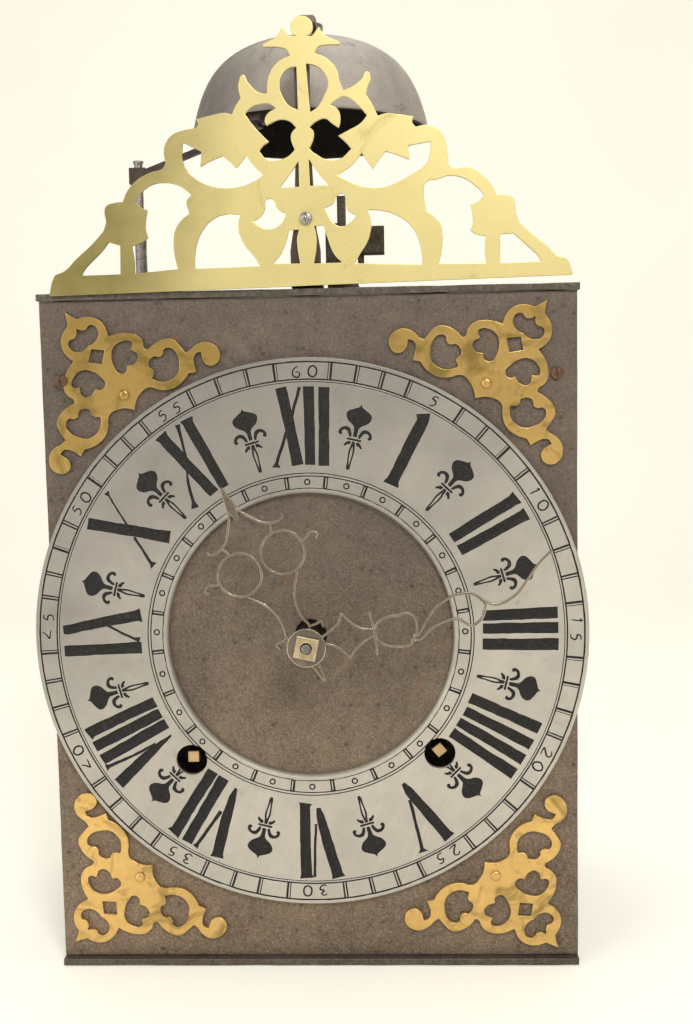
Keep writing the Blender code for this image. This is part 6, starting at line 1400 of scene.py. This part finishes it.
class CLOCK_OT_pediment(bpy.types.Operator):
    """Build the pierced brass pediment"""
    bl_idname = "clock.pediment"
    bl_label = "Pediment"

    def execute(self, context):
        sizes = context.scene.clock_sizes
        half_width, foot_drop, aside, lean = 0.115, 0.029, 0.0002, 1.1

        def laid(points, side):
            loop = [(aside + side * x * half_width, y * half_width - foot_drop, corner)
                    for x, y, corner in points]
            return loop if side > 0 else loop[::-1]

        loops = [laid(FRET_RIGHT_OUTER, 1) + laid(FRET_LEFT_OUTER, -1)[:-1]]
        loops += [laid(window, 1) for window in FRET_RIGHT_WINDOWS]
        loops += [laid(window, -1) for window in FRET_LEFT_WINDOWS]
        screw = middle_of("fret_screw")
        placed = [turned_loop(drifted(loop, reach=0.02, amount=0.0005, seed=5.0), lean, screw)
                  for loop in loops]
        low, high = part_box("fret")
        sheet = cut_sheet("pediment_sheet", placed, low.y, high.y, sizes.sheet_edge)
        dressed(sheet, "pediment_brass", "fret")
        return {"FINISHED"}


# Hands, as shares of their length: along, and across to the clockwise side

HOUR_SPEAR = ((1.0, 0.0), (0.93, 0.012), (0.845, 0.032), (0.775, 0.075), (0.72, 0.12), (0.694, 0.18),
              (0.70, 0.225), (0.722, 0.232))
HOUR_RING = (0.527, 0.135, 0.121)

# Middle rib of the hour hand's spear: places along the hand, each with its width in metres
HOUR_BLADE = ((0.80, 0.0016), (0.835, 0.0029), (0.875, 0.0038), (0.94, 0.0021), (0.993, 0.0004))
HOUR_PARTS = (
    ((0.645, 0.13), (0.705, 0.152)),
    ((0.535, 0.252), (0.54, 0.285), (0.555, 0.321), (0.532, 0.353), (0.512, 0.333)),
    ((0.412, 0.155), (0.39, 0.15), (0.34, 0.11), (0.29, 0.08), (0.22, 0.06), (0.15, 0.06), (0.10, 0.07),
     (0.06, 0.05)),
    ((0.095, 0.066), (0.09, 0.105), (0.09, 0.137), (0.055, 0.136)),
    ((-0.07, 0.024), (-0.084, 0.02), (-0.218, 0.004)),
)
MINUTE_PARTS = (
    ((0.05, -0.01), (0.095, -0.023), (0.127, -0.034), (0.15, -0.044), (0.175, -0.077)),
    ((0.05, 0.01), (0.079, 0.014), (0.111, 0.04), (0.131, 0.072), (0.143, 0.101)),
    ((0.395, 0.106), (0.415, 0.112), (0.464, 0.073), (0.511, 0.04), (0.563, 0.025), (0.599, 0.022),
     (0.648, 0.033), (0.673, 0.054), (0.689, 0.081), (0.714, 0.104), (0.742, 0.117), (0.776, 0.116),
     (0.821, 0.103), (0.87, 0.072), (0.907, 0.046), (0.947, 0.022), (1.0, 0.0)),
    ((0.172, -0.074), (0.177, -0.07), (0.188, -0.043), (0.204, -0.013), (0.231, 0.012), (0.262, 0.026)),
    ((0.275, -0.038), (0.267, 0.019), (0.262, 0.046), (0.255, 0.082), (0.24, 0.124)),
    ((0.262, 0.05), (0.238, 0.053), (0.201, 0.062), (0.167, 0.077), (0.138, 0.098)),
    ((0.38, 0.118), (0.418, 0.128), (0.473, 0.105), (0.523, 0.1), (0.565, 0.106), (0.588, 0.12)),
    ((0.68, 0.06), (0.691, 0.095), (0.681, 0.119), (0.658, 0.143), (0.626, 0.155), (0.603, 0.145),
     (0.584, 0.117)),
)
MINUTE_RING = ((0.273, 0.024), (0.305, 0.004), (0.342, 0.005), (0.37, 0.012), (0.4, 0.015), (0.424, 0.035),
               (0.427, 0.067), (0.401, 0.114), (0.358, 0.134), (0.288, 0.104), (0.266, 0.066))

# Hands: thickness and broken edge, and the thickness of rings, rib and hub as shares of the strips'
HAND_THICK = 0.0014
HAND_EDGE = 0.00028
RING_SHARE, RIB_SHARE, HUB_SHARE = 0.97, 0.94, 1.1

# Width of a strip at its ends as a share of the full width, and what its middle adds
STRIP_ENDS, STRIP_SWELL = 0.82, 0.18

# Hub's rise over the hand, its chamfer, and where the chamfer ends under the hand's face
HUB_RISE, HUB_CHAMFER, HUB_SIDE = 0.0002, 0.0003, -0.0001

# Slopes of the faces of a hand's filed edges that get the bright edge finish, partly a painted glint, as the
# forward part of their normals
EDGE_SLOPES = (-0.95, -0.3)

# Hand nut: side, turn in degrees, bore's radius and chamfer
NUT_SIDE, NUT_TURN, NUT_BORE, NUT_CHAMFER = 0.0097, -12.0, 0.0024, 0.0004


def strip_body(line, widths, thick, closed=False):
    """Bar of a hand along a line, its front edges broken, its front face at level zero."""
    bm = bmesh.new()
    rows = []
    n = len(line)
    for i, here in enumerate(line):
        before = line[i - 1] if closed or i else line[0]
        after = line[(i + 1) % n] if closed or i < n - 1 else line[-1]
        along = (after - before).normalized()
        across = Vector((-along.y, along.x))
        half = widths[i] / 2
        edge = min(half * 0.5, HAND_EDGE)
        section = ((-half + edge, 0.0), (half - edge, 0.0), (half, -edge), (half, -thick), (-half, -thick),
                   (-half, -edge))
        rows.append([bm.verts.new((*(here + across * a), level)) for a, level in section])
    lofted(bm, rows, closed)
    return bm


def hand_object(name, node, strands, rings, blade, hub, bore, reach, strip, direction):
    """A pierced hand from its strands and rings, joined into one clean body."""
    low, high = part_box(node)
    parts = []
    for points, side in strands:
        line = smoothed([(x * reach, -side * y * reach) for x, y in points], 7)
        ends = len(line) - 1
        taper = [strip * (STRIP_ENDS + STRIP_SWELL * math.sin(math.pi * i / ends))
                 for i in range(len(line))]
        parts.append(strip_body(line, taper, HAND_THICK))
    for points in rings:
        line = smoothed([(x * reach, -y * reach) for x, y in points], 5, True)
        parts.append(strip_body(line, [strip] * len(line), HAND_THICK * RING_SHARE, True))
    if blade:
        line = smoothed([(x * reach, 0.0, wide) for x, wide in blade], 5)
        parts.append(strip_body([p.xy for p in line], [p.z for p in line], HAND_THICK * RIB_SHARE))
    bm = bmesh.new()
    back = -HAND_THICK * HUB_SHARE
    outline = ((bore, back), (bore, HUB_RISE), (hub - HUB_CHAMFER, HUB_RISE), (hub, HUB_SIDE), (hub, back))
    revolved(bm, outline, 48, True)
    parts.append(bm)
    turn = Matrix.Rotation(math.radians(-direction), 4, "Y") @ Matrix.Rotation(math.pi / 2, 4, "X")
    place = Matrix.Translation((ring_centre.x, low.y, ring_centre.z)) @ turn
    made = []
    for bm in parts:
        bmesh.ops.recalc_face_normals(bm, faces=bm.faces)
        bmesh.ops.transform(bm, matrix=place, verts=bm.verts)
        made.append(object_from(name, bm, 25.0))
    base = made.pop()
    tools = bpy.data.collections.new(name + "_strands")
    bpy.context.scene.collection.children.link(tools)
    for part in made:
        tools.objects.link(part)
    step = base.modifiers.new("Weld", "BOOLEAN")
    step.operand_type = "COLLECTION"
    step.collection = tools
    step.operation = "UNION"
    step.solver = "EXACT"
    settled(base)
    for part in made:
        bpy.data.objects.remove(part)
    bpy.data.collections.remove(tools)
    base.name = name
    for vert in base.data.vertices:
        vert.co.y = min(max(vert.co.y, low.y), high.y)
    base.data.shade_smooth()
    base.data.set_sharp_from_angle(angle=math.radians(28.0))
    dressed(base, "hand_steel", node)
    # Faces of the filed edges get the bright finish, partly a painted glint
    base.data.materials.append(bpy.data.materials["hand_edge"])
    steep, slight = EDGE_SLOPES
    for face in base.data.polygons:
        face.material_index = 1 if steep < face.normal.y < slight else 0


class CLOCK_OT_hands(bpy.types.Operator):
    """Build the two scrolled hands and their square nut"""
    bl_idname = "clock.hands"
    bl_label = "Hands"

    def execute(self, context):
        strip = context.scene.clock_sizes.hand_strip
        along, aside, radius = HOUR_RING
        strands = [(points, side) for points in (HOUR_SPEAR,) + HOUR_PARTS for side in (1.0, -1.0)]
        rings = [[(along + radius * math.cos(a), side * aside + radius * math.sin(a))
                  for a in (2 * math.pi * i / 16 for i in range(16))] for side in (1.0, -1.0)]
        hand_object("hour_hand_steel", "hour_hand", strands, rings, HOUR_BLADE, hub=0.0078, bore=0.0047,
                    reach=0.0778, strip=strip, direction=117.1)
        strands = [(points, 1.0) for points in MINUTE_PARTS]
        hand_object("minute_hand_steel", "minute_hand", strands, [MINUTE_RING], (), hub=0.0084, bore=0.0023,
                    reach=0.1128, strip=strip, direction=21.2)
        low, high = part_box("hand_nut")
        half = NUT_SIDE / 2
        corners = [(-half, -half), (half, -half), (half, half), (-half, half)]
        square = turned_loop(corners, NUT_TURN, ring_spot)
        bore = circle(NUT_BORE, 32, ring_spot)
        dressed(cut_sheet("nut_steel_square", [square, bore], low.y, high.y, NUT_CHAMFER), "nut_steel",
                "hand_nut")
        return {"FINISHED"}


# Bell, stand and hammer

# Half section of the bell from its lip up, as shares of its radius and of its height
BELL_CURVE = ((1.0, 0.0), (0.965, 0.2), (0.91, 0.42), (0.82, 0.63), (0.70, 0.79), (0.52, 0.92), (0.30, 0.985),
              (0.065, 1.0))

# Bell: radius of its hole and the least radius inside beside it, rounding of its lip, room for its roughness
BELL_HOLE, BELL_HOLE_CLEAR = 0.0034, 0.0036
BELL_LIP = 0.0004
BELL_SKIN = 0.0001

# Roughness of the cast skin: waves to the metre, height, and the radius of the smooth crown
CAST_WAVES, CAST_HEIGHT, SMOOTH_CROWN = 90.0, 0.00015, 0.01

# Depth under the lip of the place that every face of the bell's inside turns to
INSIDE_DROP = 0.03


class CLOCK_OT_bell(bpy.types.Operator):
    """Build the cast bell with its sound bow"""
    bl_idname = "clock.bell"
    bl_label = "Bell"

    def execute(self, context):
        wall = context.scene.clock_sizes.bell_wall
        low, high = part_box("bell")
        radius, tall = (high.x - low.x) / 2 - BELL_SKIN, high.z - low.z
        curve = smoothed(BELL_CURVE, 8)
        outer = [(radius - BELL_LIP, 0.0)] + [(p.x * radius, p.y * tall) for p in curve[1:]]
        inner = [(p.x * (radius - wall), p.y * (tall - wall)) for p in curve]
        inner[0] = (inner[0][0] + BELL_LIP, 0.0)
        hole = [(BELL_HOLE, tall), (BELL_HOLE, tall - wall)]
        bm = bmesh.new()
        revolved(bm, outer + hole + [p for p in reversed(inner) if p[0] > BELL_HOLE_CLEAR], 160, True)
        centre = Vector(((low.x + high.x) / 2, (low.y + high.y) / 2, low.z))
        for vert in bm.verts:
            out = Vector((vert.co.x, vert.co.y, 0.0))
            if out.length > SMOOTH_CROWN:
                vert.co += out.normalized() * (rise_at(vert.co, CAST_WAVES, 4) * CAST_HEIGHT)
            vert.co += centre
        casting = dressed(object_from("bell_casting", bm, 40.0), "bell_skin", "bell")
        # Faces of the bell's inside get the near-black finish as painted shade under the dome
        casting.data.materials.append(bpy.data.materials["bell_soot"])
        for face in casting.data.polygons:
            away = face.center - Vector((centre.x, centre.y, low.z - INSIDE_DROP))
            face.material_index = 1 if face.normal.dot(away) < 0 else 0
        return {"FINISHED"}


# Strap of the bell's stand: its thickness and its widths; its foot, as places forward of the strap and above
# its own level; its upright, as places above the pediment's screw, each with its width
STAND_THICK = 0.003
STAND_WIDE, STAND_NECK, STAND_SLIM = 0.0136, 0.0100, 0.0068
STAND_FOOT = ((0.020, 0.0), (0.0035, 0.0), (0.0013, 0.0008), (0.0002, 0.0022), (0.0, 0.0036))
STAND_UPRIGHT = ((-0.018, STAND_WIDE), (-0.0136, STAND_WIDE * 0.98), (-0.008, STAND_WIDE * 0.86),
                 (-0.0039, STAND_NECK), (0.013, STAND_NECK * 0.84), (0.0311, STAND_SLIM))

# Half length of the strap's pad on the bell, then the strap's unevenness: waves to the metre, stray, room
STAND_PAD = 0.007
STAND_WAVES, STAND_STRAY, STAND_SKIN = 130.0, 0.00022, 0.0001


class CLOCK_OT_bell_stand(bpy.types.Operator):
    """Build the forged bell stand and the bracket beside it"""
    bl_idname = "clock.bell_stand"
    bl_label = "Bell stand and bracket"

    def execute(self, context):
        edge, deep = context.scene.clock_sizes.forged_edge, STAND_THICK / 2
        low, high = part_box("bell_stand")
        bell_low, bell_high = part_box("bell")
        middle = (low.x + high.x) / 2
        line, foot, top = low.y + deep, low.z + deep, high.z - deep
        screw_height = middle_of("fret_screw")[1]
        rim = bell_low.z
        bell_y = (bell_low.y + bell_high.y) / 2
        pad = bell_y - STAND_PAD - STAND_THICK
        path = [(line + forward, foot + rise, STAND_WIDE) for forward, rise in STAND_FOOT]
        path += [(line, screw_height + rise, width) for rise, width in STAND_UPRIGHT]
        path.append((line, rim, STAND_SLIM))
        steps = 22
        for k in range(1, steps + 1):
            angle = math.pi / 2 * k / steps
            path.append((pad + (line - pad) * math.cos(angle), rim + (top - rim) * math.sin(angle),
                         STAND_SLIM))
        path.append((bell_y + STAND_PAD, top, STAND_SLIM))
        bm = bmesh.new()
        rows = []
        for i, (y, z, width) in enumerate(path):
            before, after = path[max(i - 1, 0)], path[min(i + 1, len(path) - 1)]
            along = Vector((after[0] - before[0], after[1] - before[1])).normalized()
            out = Vector((-along.y, along.x))
            rough = noise.noise(Vector((y, z, 0.0)) * STAND_WAVES) * STAND_STRAY
            half = width / 2 - STAND_SKIN + rough
            section = ((-half + edge, deep), (half - edge, deep), (half, deep - edge), (half, edge - deep),
                       (half - edge, -deep), (-half + edge, -deep), (-half, edge - deep),
                       (-half, deep - edge))
            rows.append([bm.verts.new((middle + a, y + d * out.x, z + d * out.y)) for a, d in section])
        lofted(bm, rows)
        kept_within(bm, low, high)
        dressed(object_from("stand_forging", bm, 25.0), "brown_iron", "bell_stand")
        forged("suspension_bracket", "bracket_forging", "cage_iron", edge=0.0004, wave=0.00012, step=0.006)
        return {"FINISHED"}


class CLOCK_OT_hammer(bpy.types.Operator):
    """Build the hammer, its arm and its arbor"""
    bl_idname = "clock.hammer"
    bl_label = "Hammer"

    def execute(self, context):
        forged("hammer_arm", "hammer_arm_forging", "brown_iron", edge=0.0003, wave=0.00008, step=0.006)
        forged("hammer_head", "hammer_head_forging", "cage_iron", edge=0.0006, wave=0.0001, step=0.004)
        paint_nodes("screw_steel", "hammer_arbor")
        return {"FINISHED"}


# Cage and sheets

class CLOCK_OT_cage(bpy.types.Operator):
    """Build the dial plate, the two cage plates, the posts and the doors"""
    bl_idname = "clock.cage"
    bl_label = "Cage"

    def execute(self, context):
        sizes = context.scene.clock_sizes
        wave, edge = sizes.hammered, sizes.forged_edge
        forged("dial_plate", "dial_plate_sheet", "dial_iron", edge, wave * 0.8, step=0.007)
        for node in ("top_plate", "bottom_plate"):
            forged(node, node + "_sheet", "cage_iron", edge * 1.6, wave * 2.2, step=0.0055)
        for node in ("post_front_left", "post_front_right", "post_back_left", "post_back_right"):
            forged(node, node + "_bar", "cage_iron", edge, wave, step=0.009)
        for node in ("left_door", "right_door"):
            forged(node, node + "_sheet", "door_iron", edge=0.00025, wave=wave * 0.5, step=0.012)
        return {"FINISHED"}


# Screws and pins

def heads_tree():
    """Sets a head on every point, turned by the point's own angle."""
    tree, given, out = start_group("Heads on points", "GeometryNodeTree", (
        ("Geometry", GEOMETRY, None), ("Head", OBJECT, None), ("Size", FLOAT, 1.0),
        ("Material", MATERIAL, None)), (("Geometry", GEOMETRY),))
    spin = add(tree, "ShaderNodeCombineXYZ", None, Y=stored_turn(tree)).outputs[0]
    rotation = add(tree, "FunctionNodeEulerToRotation", None, (spin,)).outputs[0]
    head = add(tree, "GeometryNodeObjectInfo", None, Object=given["Head"]).outputs["Geometry"]
    scale = add(tree, "ShaderNodeCombineXYZ", None, (given["Size"],) * 3).outputs[0]
    laid = add(tree, "GeometryNodeInstanceOnPoints", None, Points=given["Geometry"], Instance=head,
               Rotation=rotation, Scale=scale).outputs[0]
    end_tree(tree, laid, given["Material"], out["Geometry"])
    return tree


def heads_at(name, head, nodes, drop, turns, finish, tree):
    """One mesh of like heads, one over each solid, its seat behind the solid's front by a drop."""
    spots = []
    for node in nodes:
        x, z = middle_of(node)
        spots.append((x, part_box(node)[0].y + drop, z))
    host = grown(turned_spots(name, turns, spots), tree,
                 {"Head": head, "Size": 1.0, "Material": bpy.data.materials[finish]})
    dressed(host, finish, *nodes)


# Screw heads: height, chamfer, length of the slot's cutter across the face, its shift to the side
SCREW_HEIGHT = 0.0014
HEAD_CHAMFER = 0.0003
SLOT_DEPTH, SLOT_SHIFT = 0.0015, 0.0001

# Half section of a pin of the corner pieces, as radius and height, and the unevenness of its dome
PIN_HEIGHT = 0.0011
PIN_SECTION = ((0.0, PIN_HEIGHT), (0.0009, 0.00104), (0.0017, 0.00082), (0.0022, 0.00045), (0.0024, 0.0),
               (0.001, 0.0), (0.001, -0.0035), (0.0, -0.0035))
PIN_WAVES, PIN_STRAY, PIN_WEAR, PIN_FLANK = 900.0, 0.00012, 0.00008, 0.0005


def slotted_head(name, radius, height, shank, reach, slot, crown):
    """Screw with a slotted, slightly domed head; its head's back lies in the XZ plane at zero depth."""
    bm = bmesh.new()
    edge = height - crown
    revolved(bm, ((0.0, height), (radius * 0.5, height - crown * 0.2), (radius - HEAD_CHAMFER, edge),
                  (radius, edge - HEAD_CHAMFER), (radius, 0.0), (shank, 0.0), (shank, -reach), (0.0, -reach)),
             40)
    bmesh.ops.recalc_face_normals(bm, faces=bm.faces)
    upright(bm, 0.0, (0.0, 0.0))
    body = object_from(name, bm, 30.0)
    bm = bmesh.new()
    bmesh.ops.create_cube(bm, size=1.0, matrix=Matrix.Diagonal((slot, SLOT_DEPTH, radius * 3, 1.0)))
    bmesh.ops.translate(bm, verts=bm.verts, vec=(SLOT_SHIFT, -height, 0.0))
    return bored(body, object_from("slot_cutter", bm))


class CLOCK_OT_fasteners(bpy.types.Operator):
    """Build the slotted screws and the pins of the corner pieces"""
    bl_idname = "clock.fasteners"
    bl_label = "Screws and pins"

    def execute(self, context):
        tree = heads_tree()
        screw = slotted_head("slotted_screw", radius=0.0027, height=SCREW_HEIGHT, shank=0.0013, reach=0.0048,
                             slot=0.0007, crown=0.00035)
        heads_at("dial_screws", screw, ("dial_screw_left", "dial_screw_right"), SCREW_HEIGHT, [0.0, -14.0],
                 "screw_brown", tree)
        heads_at("pediment_screw", screw, ("fret_screw",), SCREW_HEIGHT, [-4.0], "screw_steel", tree)
        bpy.data.objects.remove(screw)
        bm = bmesh.new()
        revolved(bm, PIN_SECTION, 24)
        for vert in bm.verts:
            if vert.co.z > PIN_FLANK:
                vert.co.z += noise.noise(vert.co * PIN_WAVES) * PIN_STRAY - PIN_WEAR
        upright(bm, 0.0, (0.0, 0.0))
        pin = object_from("domed_pin", bm, 50.0)
        heads_at("corner_pins", pin, ["corner_pin_" + name for name in CORNER_CUSPS], PIN_HEIGHT,
                 [10.0, 100.0, 190.0, 300.0], "corner_brass", tree)
        bpy.data.objects.remove(pin)
        return {"FINISHED"}


# Movement behind the dial

WHEELS = ("going_great_wheel", "second_wheel", "motion_drive_wheel", "contrate_wheel", "crown_wheel",
          "minute_drive_wheel", "intermediate_wheel", "strike_great_wheel", "pin_wheel",
          "locking_wheel", "fly_vane")
STEELS = ("verge", "minute_arbor", "hour_snail", "strike_rack", "fly_arbor", "bell_bolt")


def paint_nodes(finish, *nodes):
    """Gives solids that stay as they are their finish."""
    for node in nodes:
        mesh = frame["nodes"][node].data
        mesh.materials.clear()
        mesh.materials.append(bpy.data.materials[finish])


class CLOCK_OT_movement(bpy.types.Operator):
    """Finish the wheels, arbors, bars and barrels behind the dial"""
    bl_idname = "clock.movement"
    bl_label = "Movement"

    def execute(self, context):
        paint_nodes("wheel_brass", *WHEELS)
        # The hour wheel gets near-black brass as painted shade in the hole behind the hands
        paint_nodes("oiled_brass", "hour_wheel")
        paint_nodes("train_steel", *STEELS)
        paint_nodes("cage_iron", "going_front_bar", "going_back_bar", "strike_front_bar", "strike_back_bar",
                    "centre_bar", "rack_guide", "motion_stud", "crown_wheel_bracket")
        paint_nodes("barrel_iron", "going_barrel", "strike_barrel")
        return {"FINISHED"}


# Stage

# Lamps: name, place, size and power; all look at the dial
LAMPS = (
    ("key_lamp", (0.42, -1.35, 1.25), 0.55, 15.0),
    ("fill_lamp", (-1.1, -1.1, 0.55), 1.1, 7.0),
    ("top_lamp", (0.0, 0.25, 1.6), 1.0, 7.0),
)
LAMP_AIM = Vector((0.0, 0.0, 0.2))

# Viewpoint: place in metres, turn in degrees, lens and film height in millimetres
VIEW_PLACE = (0.0380, -0.5897, 0.2592)
VIEW_YAW, VIEW_PITCH, VIEW_ROLL = 2.219, 5.278, -1.084
VIEW_LENS, FILM_HEIGHT = 42.19, 36.0

# Backdrop: half width, front edge, start and radius of the bend, top, drop under the clock
PAPER_HALF, PAPER_FRONT, PAPER_BEND, BEND_RADIUS, PAPER_TOP, PAPER_DROP = 2.6, -2.2, 0.9, 0.6, 3.0, 0.0004

# Paper: scale and span of its clouds, their shade, roughness, gloss, and how much it glows to the camera
PAPER_CLOUDS, PAPER_SPAN, PAPER_SHADE = 3.0, (0.3, 0.7), 0.97
PAPER_ROUGHNESS, PAPER_GLOSS, PAPER_GLOW = 0.9, 0.1, 0.27

# Strength of the surroundings as light, and as the camera sees them
WORLD_LIGHT, WORLD_SEEN = 0.42, 1.0


def area_lamp(name, place, size, power):
    data = bpy.data.lights.new(name, "AREA")
    data.shape = "DISK"
    data.size = size
    data.energy = power
    lamp = linked(name, data)
    lamp.location = place
    lamp.rotation_euler = (LAMP_AIM - Vector(place)).to_track_quat("-Z", "Y").to_euler()


def pale_paper(tint):
    """Matt paper that glows a little to the camera and in mirrors."""
    material = bpy.data.materials.new("pale_paper")
    material.use_nodes = True
    tree = material.node_tree
    shader = tree.nodes["Principled BSDF"]
    place = add(tree, "ShaderNodeTexCoord").outputs["Object"]
    clouds = ramp(tree, noise_of(tree, place, PAPER_CLOUDS), *PAPER_SPAN)
    soft = blend(tree, clouds, tint, shade_of(tint, PAPER_SHADE))
    tree.links.new(soft, shader.inputs["Base Color"])
    shader.inputs["Roughness"].default_value = PAPER_ROUGHNESS
    shader.inputs["Specular IOR Level"].default_value = PAPER_GLOSS
    tree.links.new(soft, shader.inputs["Emission Color"])
    rays = add(tree, "ShaderNodeLightPath").outputs
    seen = calc(tree, "MAXIMUM", rays["Is Camera Ray"], rays["Is Glossy Ray"])
    tree.links.new(product(tree, seen, PAPER_GLOW), shader.inputs["Emission Strength"])
    return material


def paper_sweep(material):
    """Floor that bends up into a backdrop."""
    profile = [(PAPER_FRONT, 0.0), (PAPER_BEND, 0.0)]
    profile += [(PAPER_BEND + BEND_RADIUS * math.sin(a), BEND_RADIUS - BEND_RADIUS * math.cos(a))
                for a in (math.pi / 2 * i / 12 for i in range(1, 13))]
    profile.append((PAPER_BEND + BEND_RADIUS, PAPER_TOP))
    bm = bmesh.new()
    rows = [[bm.verts.new((x, y, z - PAPER_DROP)) for x in (-PAPER_HALF, PAPER_HALF)] for y, z in profile]
    for first, second in zip(rows, rows[1:]):
        bm.faces.new((first[0], first[1], second[1], second[0]))
    mesh = bpy.data.meshes.new("paper_sweep")
    bm.to_mesh(mesh)
    bm.free()
    mesh.shade_smooth()
    mesh.materials.append(material)
    linked("paper_sweep", mesh)


def studio_world(tint):
    """Pale surroundings, brighter to the camera than as light."""
    world = bpy.data.worlds.new("studio")
    world.use_nodes = True
    tree = world.node_tree
    background = tree.nodes["Background"]
    background.inputs["Color"].default_value = (*tint, 1.0)
    straight = add(tree, "ShaderNodeLightPath").outputs["Is Camera Ray"]
    tree.links.new(ramp(tree, straight, 0.0, 1.0, WORLD_LIGHT, WORLD_SEEN), background.inputs["Strength"])
    return world


def viewpoint():
    """Camera that looks at the dial from the photographed side."""
    yaw, pitch, roll = math.radians(VIEW_YAW), math.radians(VIEW_PITCH), math.radians(VIEW_ROLL)
    forward = Vector((-math.sin(yaw) * math.cos(pitch), math.cos(yaw) * math.cos(pitch), -math.sin(pitch)))
    side = Vector((math.cos(yaw), math.sin(yaw), 0.0))
    rise = side.cross(forward)
    right = math.cos(roll) * side + math.sin(roll) * rise
    up = -math.sin(roll) * side + math.cos(roll) * rise
    data = bpy.data.cameras.new("viewpoint")
    data.lens = VIEW_LENS
    data.sensor_fit = "VERTICAL"
    data.sensor_height = FILM_HEIGHT
    data.clip_start, data.clip_end = 0.01, 50.0
    camera = linked("viewpoint", data)
    turn = Matrix((right, up, -forward)).transposed()
    camera.matrix_world = Matrix.Translation(VIEW_PLACE) @ turn.to_4x4()
    return camera


class CLOCK_OT_stage(bpy.types.Operator):
    """Set the pale floor and backdrop, the soft lamps and the camera"""
    bl_idname = "clock.stage"
    bl_label = "Stage"

    def execute(self, context):
        scene = context.scene
        tint = scene.clock_finishes.backdrop
        paper_sweep(pale_paper(tint))
        scene.world = studio_world(tint)
        for lamp in LAMPS:
            area_lamp(*lamp)
        scene.camera = viewpoint()
        scene.view_settings.view_transform = "Standard"
        return {"FINISHED"}


class CLOCK_PT_looks(bpy.types.Panel):
    """Lists the pieces and the stage"""
    bl_idname = "CLOCK_PT_looks"
    bl_label = "Comtoise clock looks"
    bl_space_type = "VIEW_3D"
    bl_region_type = "UI"
    bl_category = "Clock"

    def draw(self, context):
        layout = self.layout
        for group in (context.scene.clock_sizes, context.scene.clock_finishes):
            box = layout.box()
            for name in group.__annotations__:
                box.prop(group, name)
        for operator in PIECES:
            layout.operator(operator.bl_idname)


PIECES = (CLOCK_OT_cage, CLOCK_OT_chapter_ring, CLOCK_OT_corner_pieces, CLOCK_OT_pediment, CLOCK_OT_hands,
          CLOCK_OT_bell, CLOCK_OT_bell_stand, CLOCK_OT_hammer, CLOCK_OT_fasteners, CLOCK_OT_movement,
          CLOCK_OT_stage)


def register():
    for item in (ClockSizes, ClockFinishes) + PIECES + (CLOCK_PT_looks,):
        bpy.utils.register_class(item)
    bpy.types.Scene.clock_sizes = PointerProperty(type=ClockSizes)
    bpy.types.Scene.clock_finishes = PointerProperty(type=ClockFinishes)


def unregister():
    del bpy.types.Scene.clock_finishes
    del bpy.types.Scene.clock_sizes
    for item in reversed((ClockSizes, ClockFinishes) + PIECES + (CLOCK_PT_looks,)):
        bpy.utils.unregister_class(item)


def main():
    register()
    make_finishes(bpy.context.scene.clock_finishes)
    for operator in PIECES:
        group, name = operator.bl_idname.split(".")
        getattr(getattr(bpy.ops, group), name)()


if __name__ == "__main__":
    main()
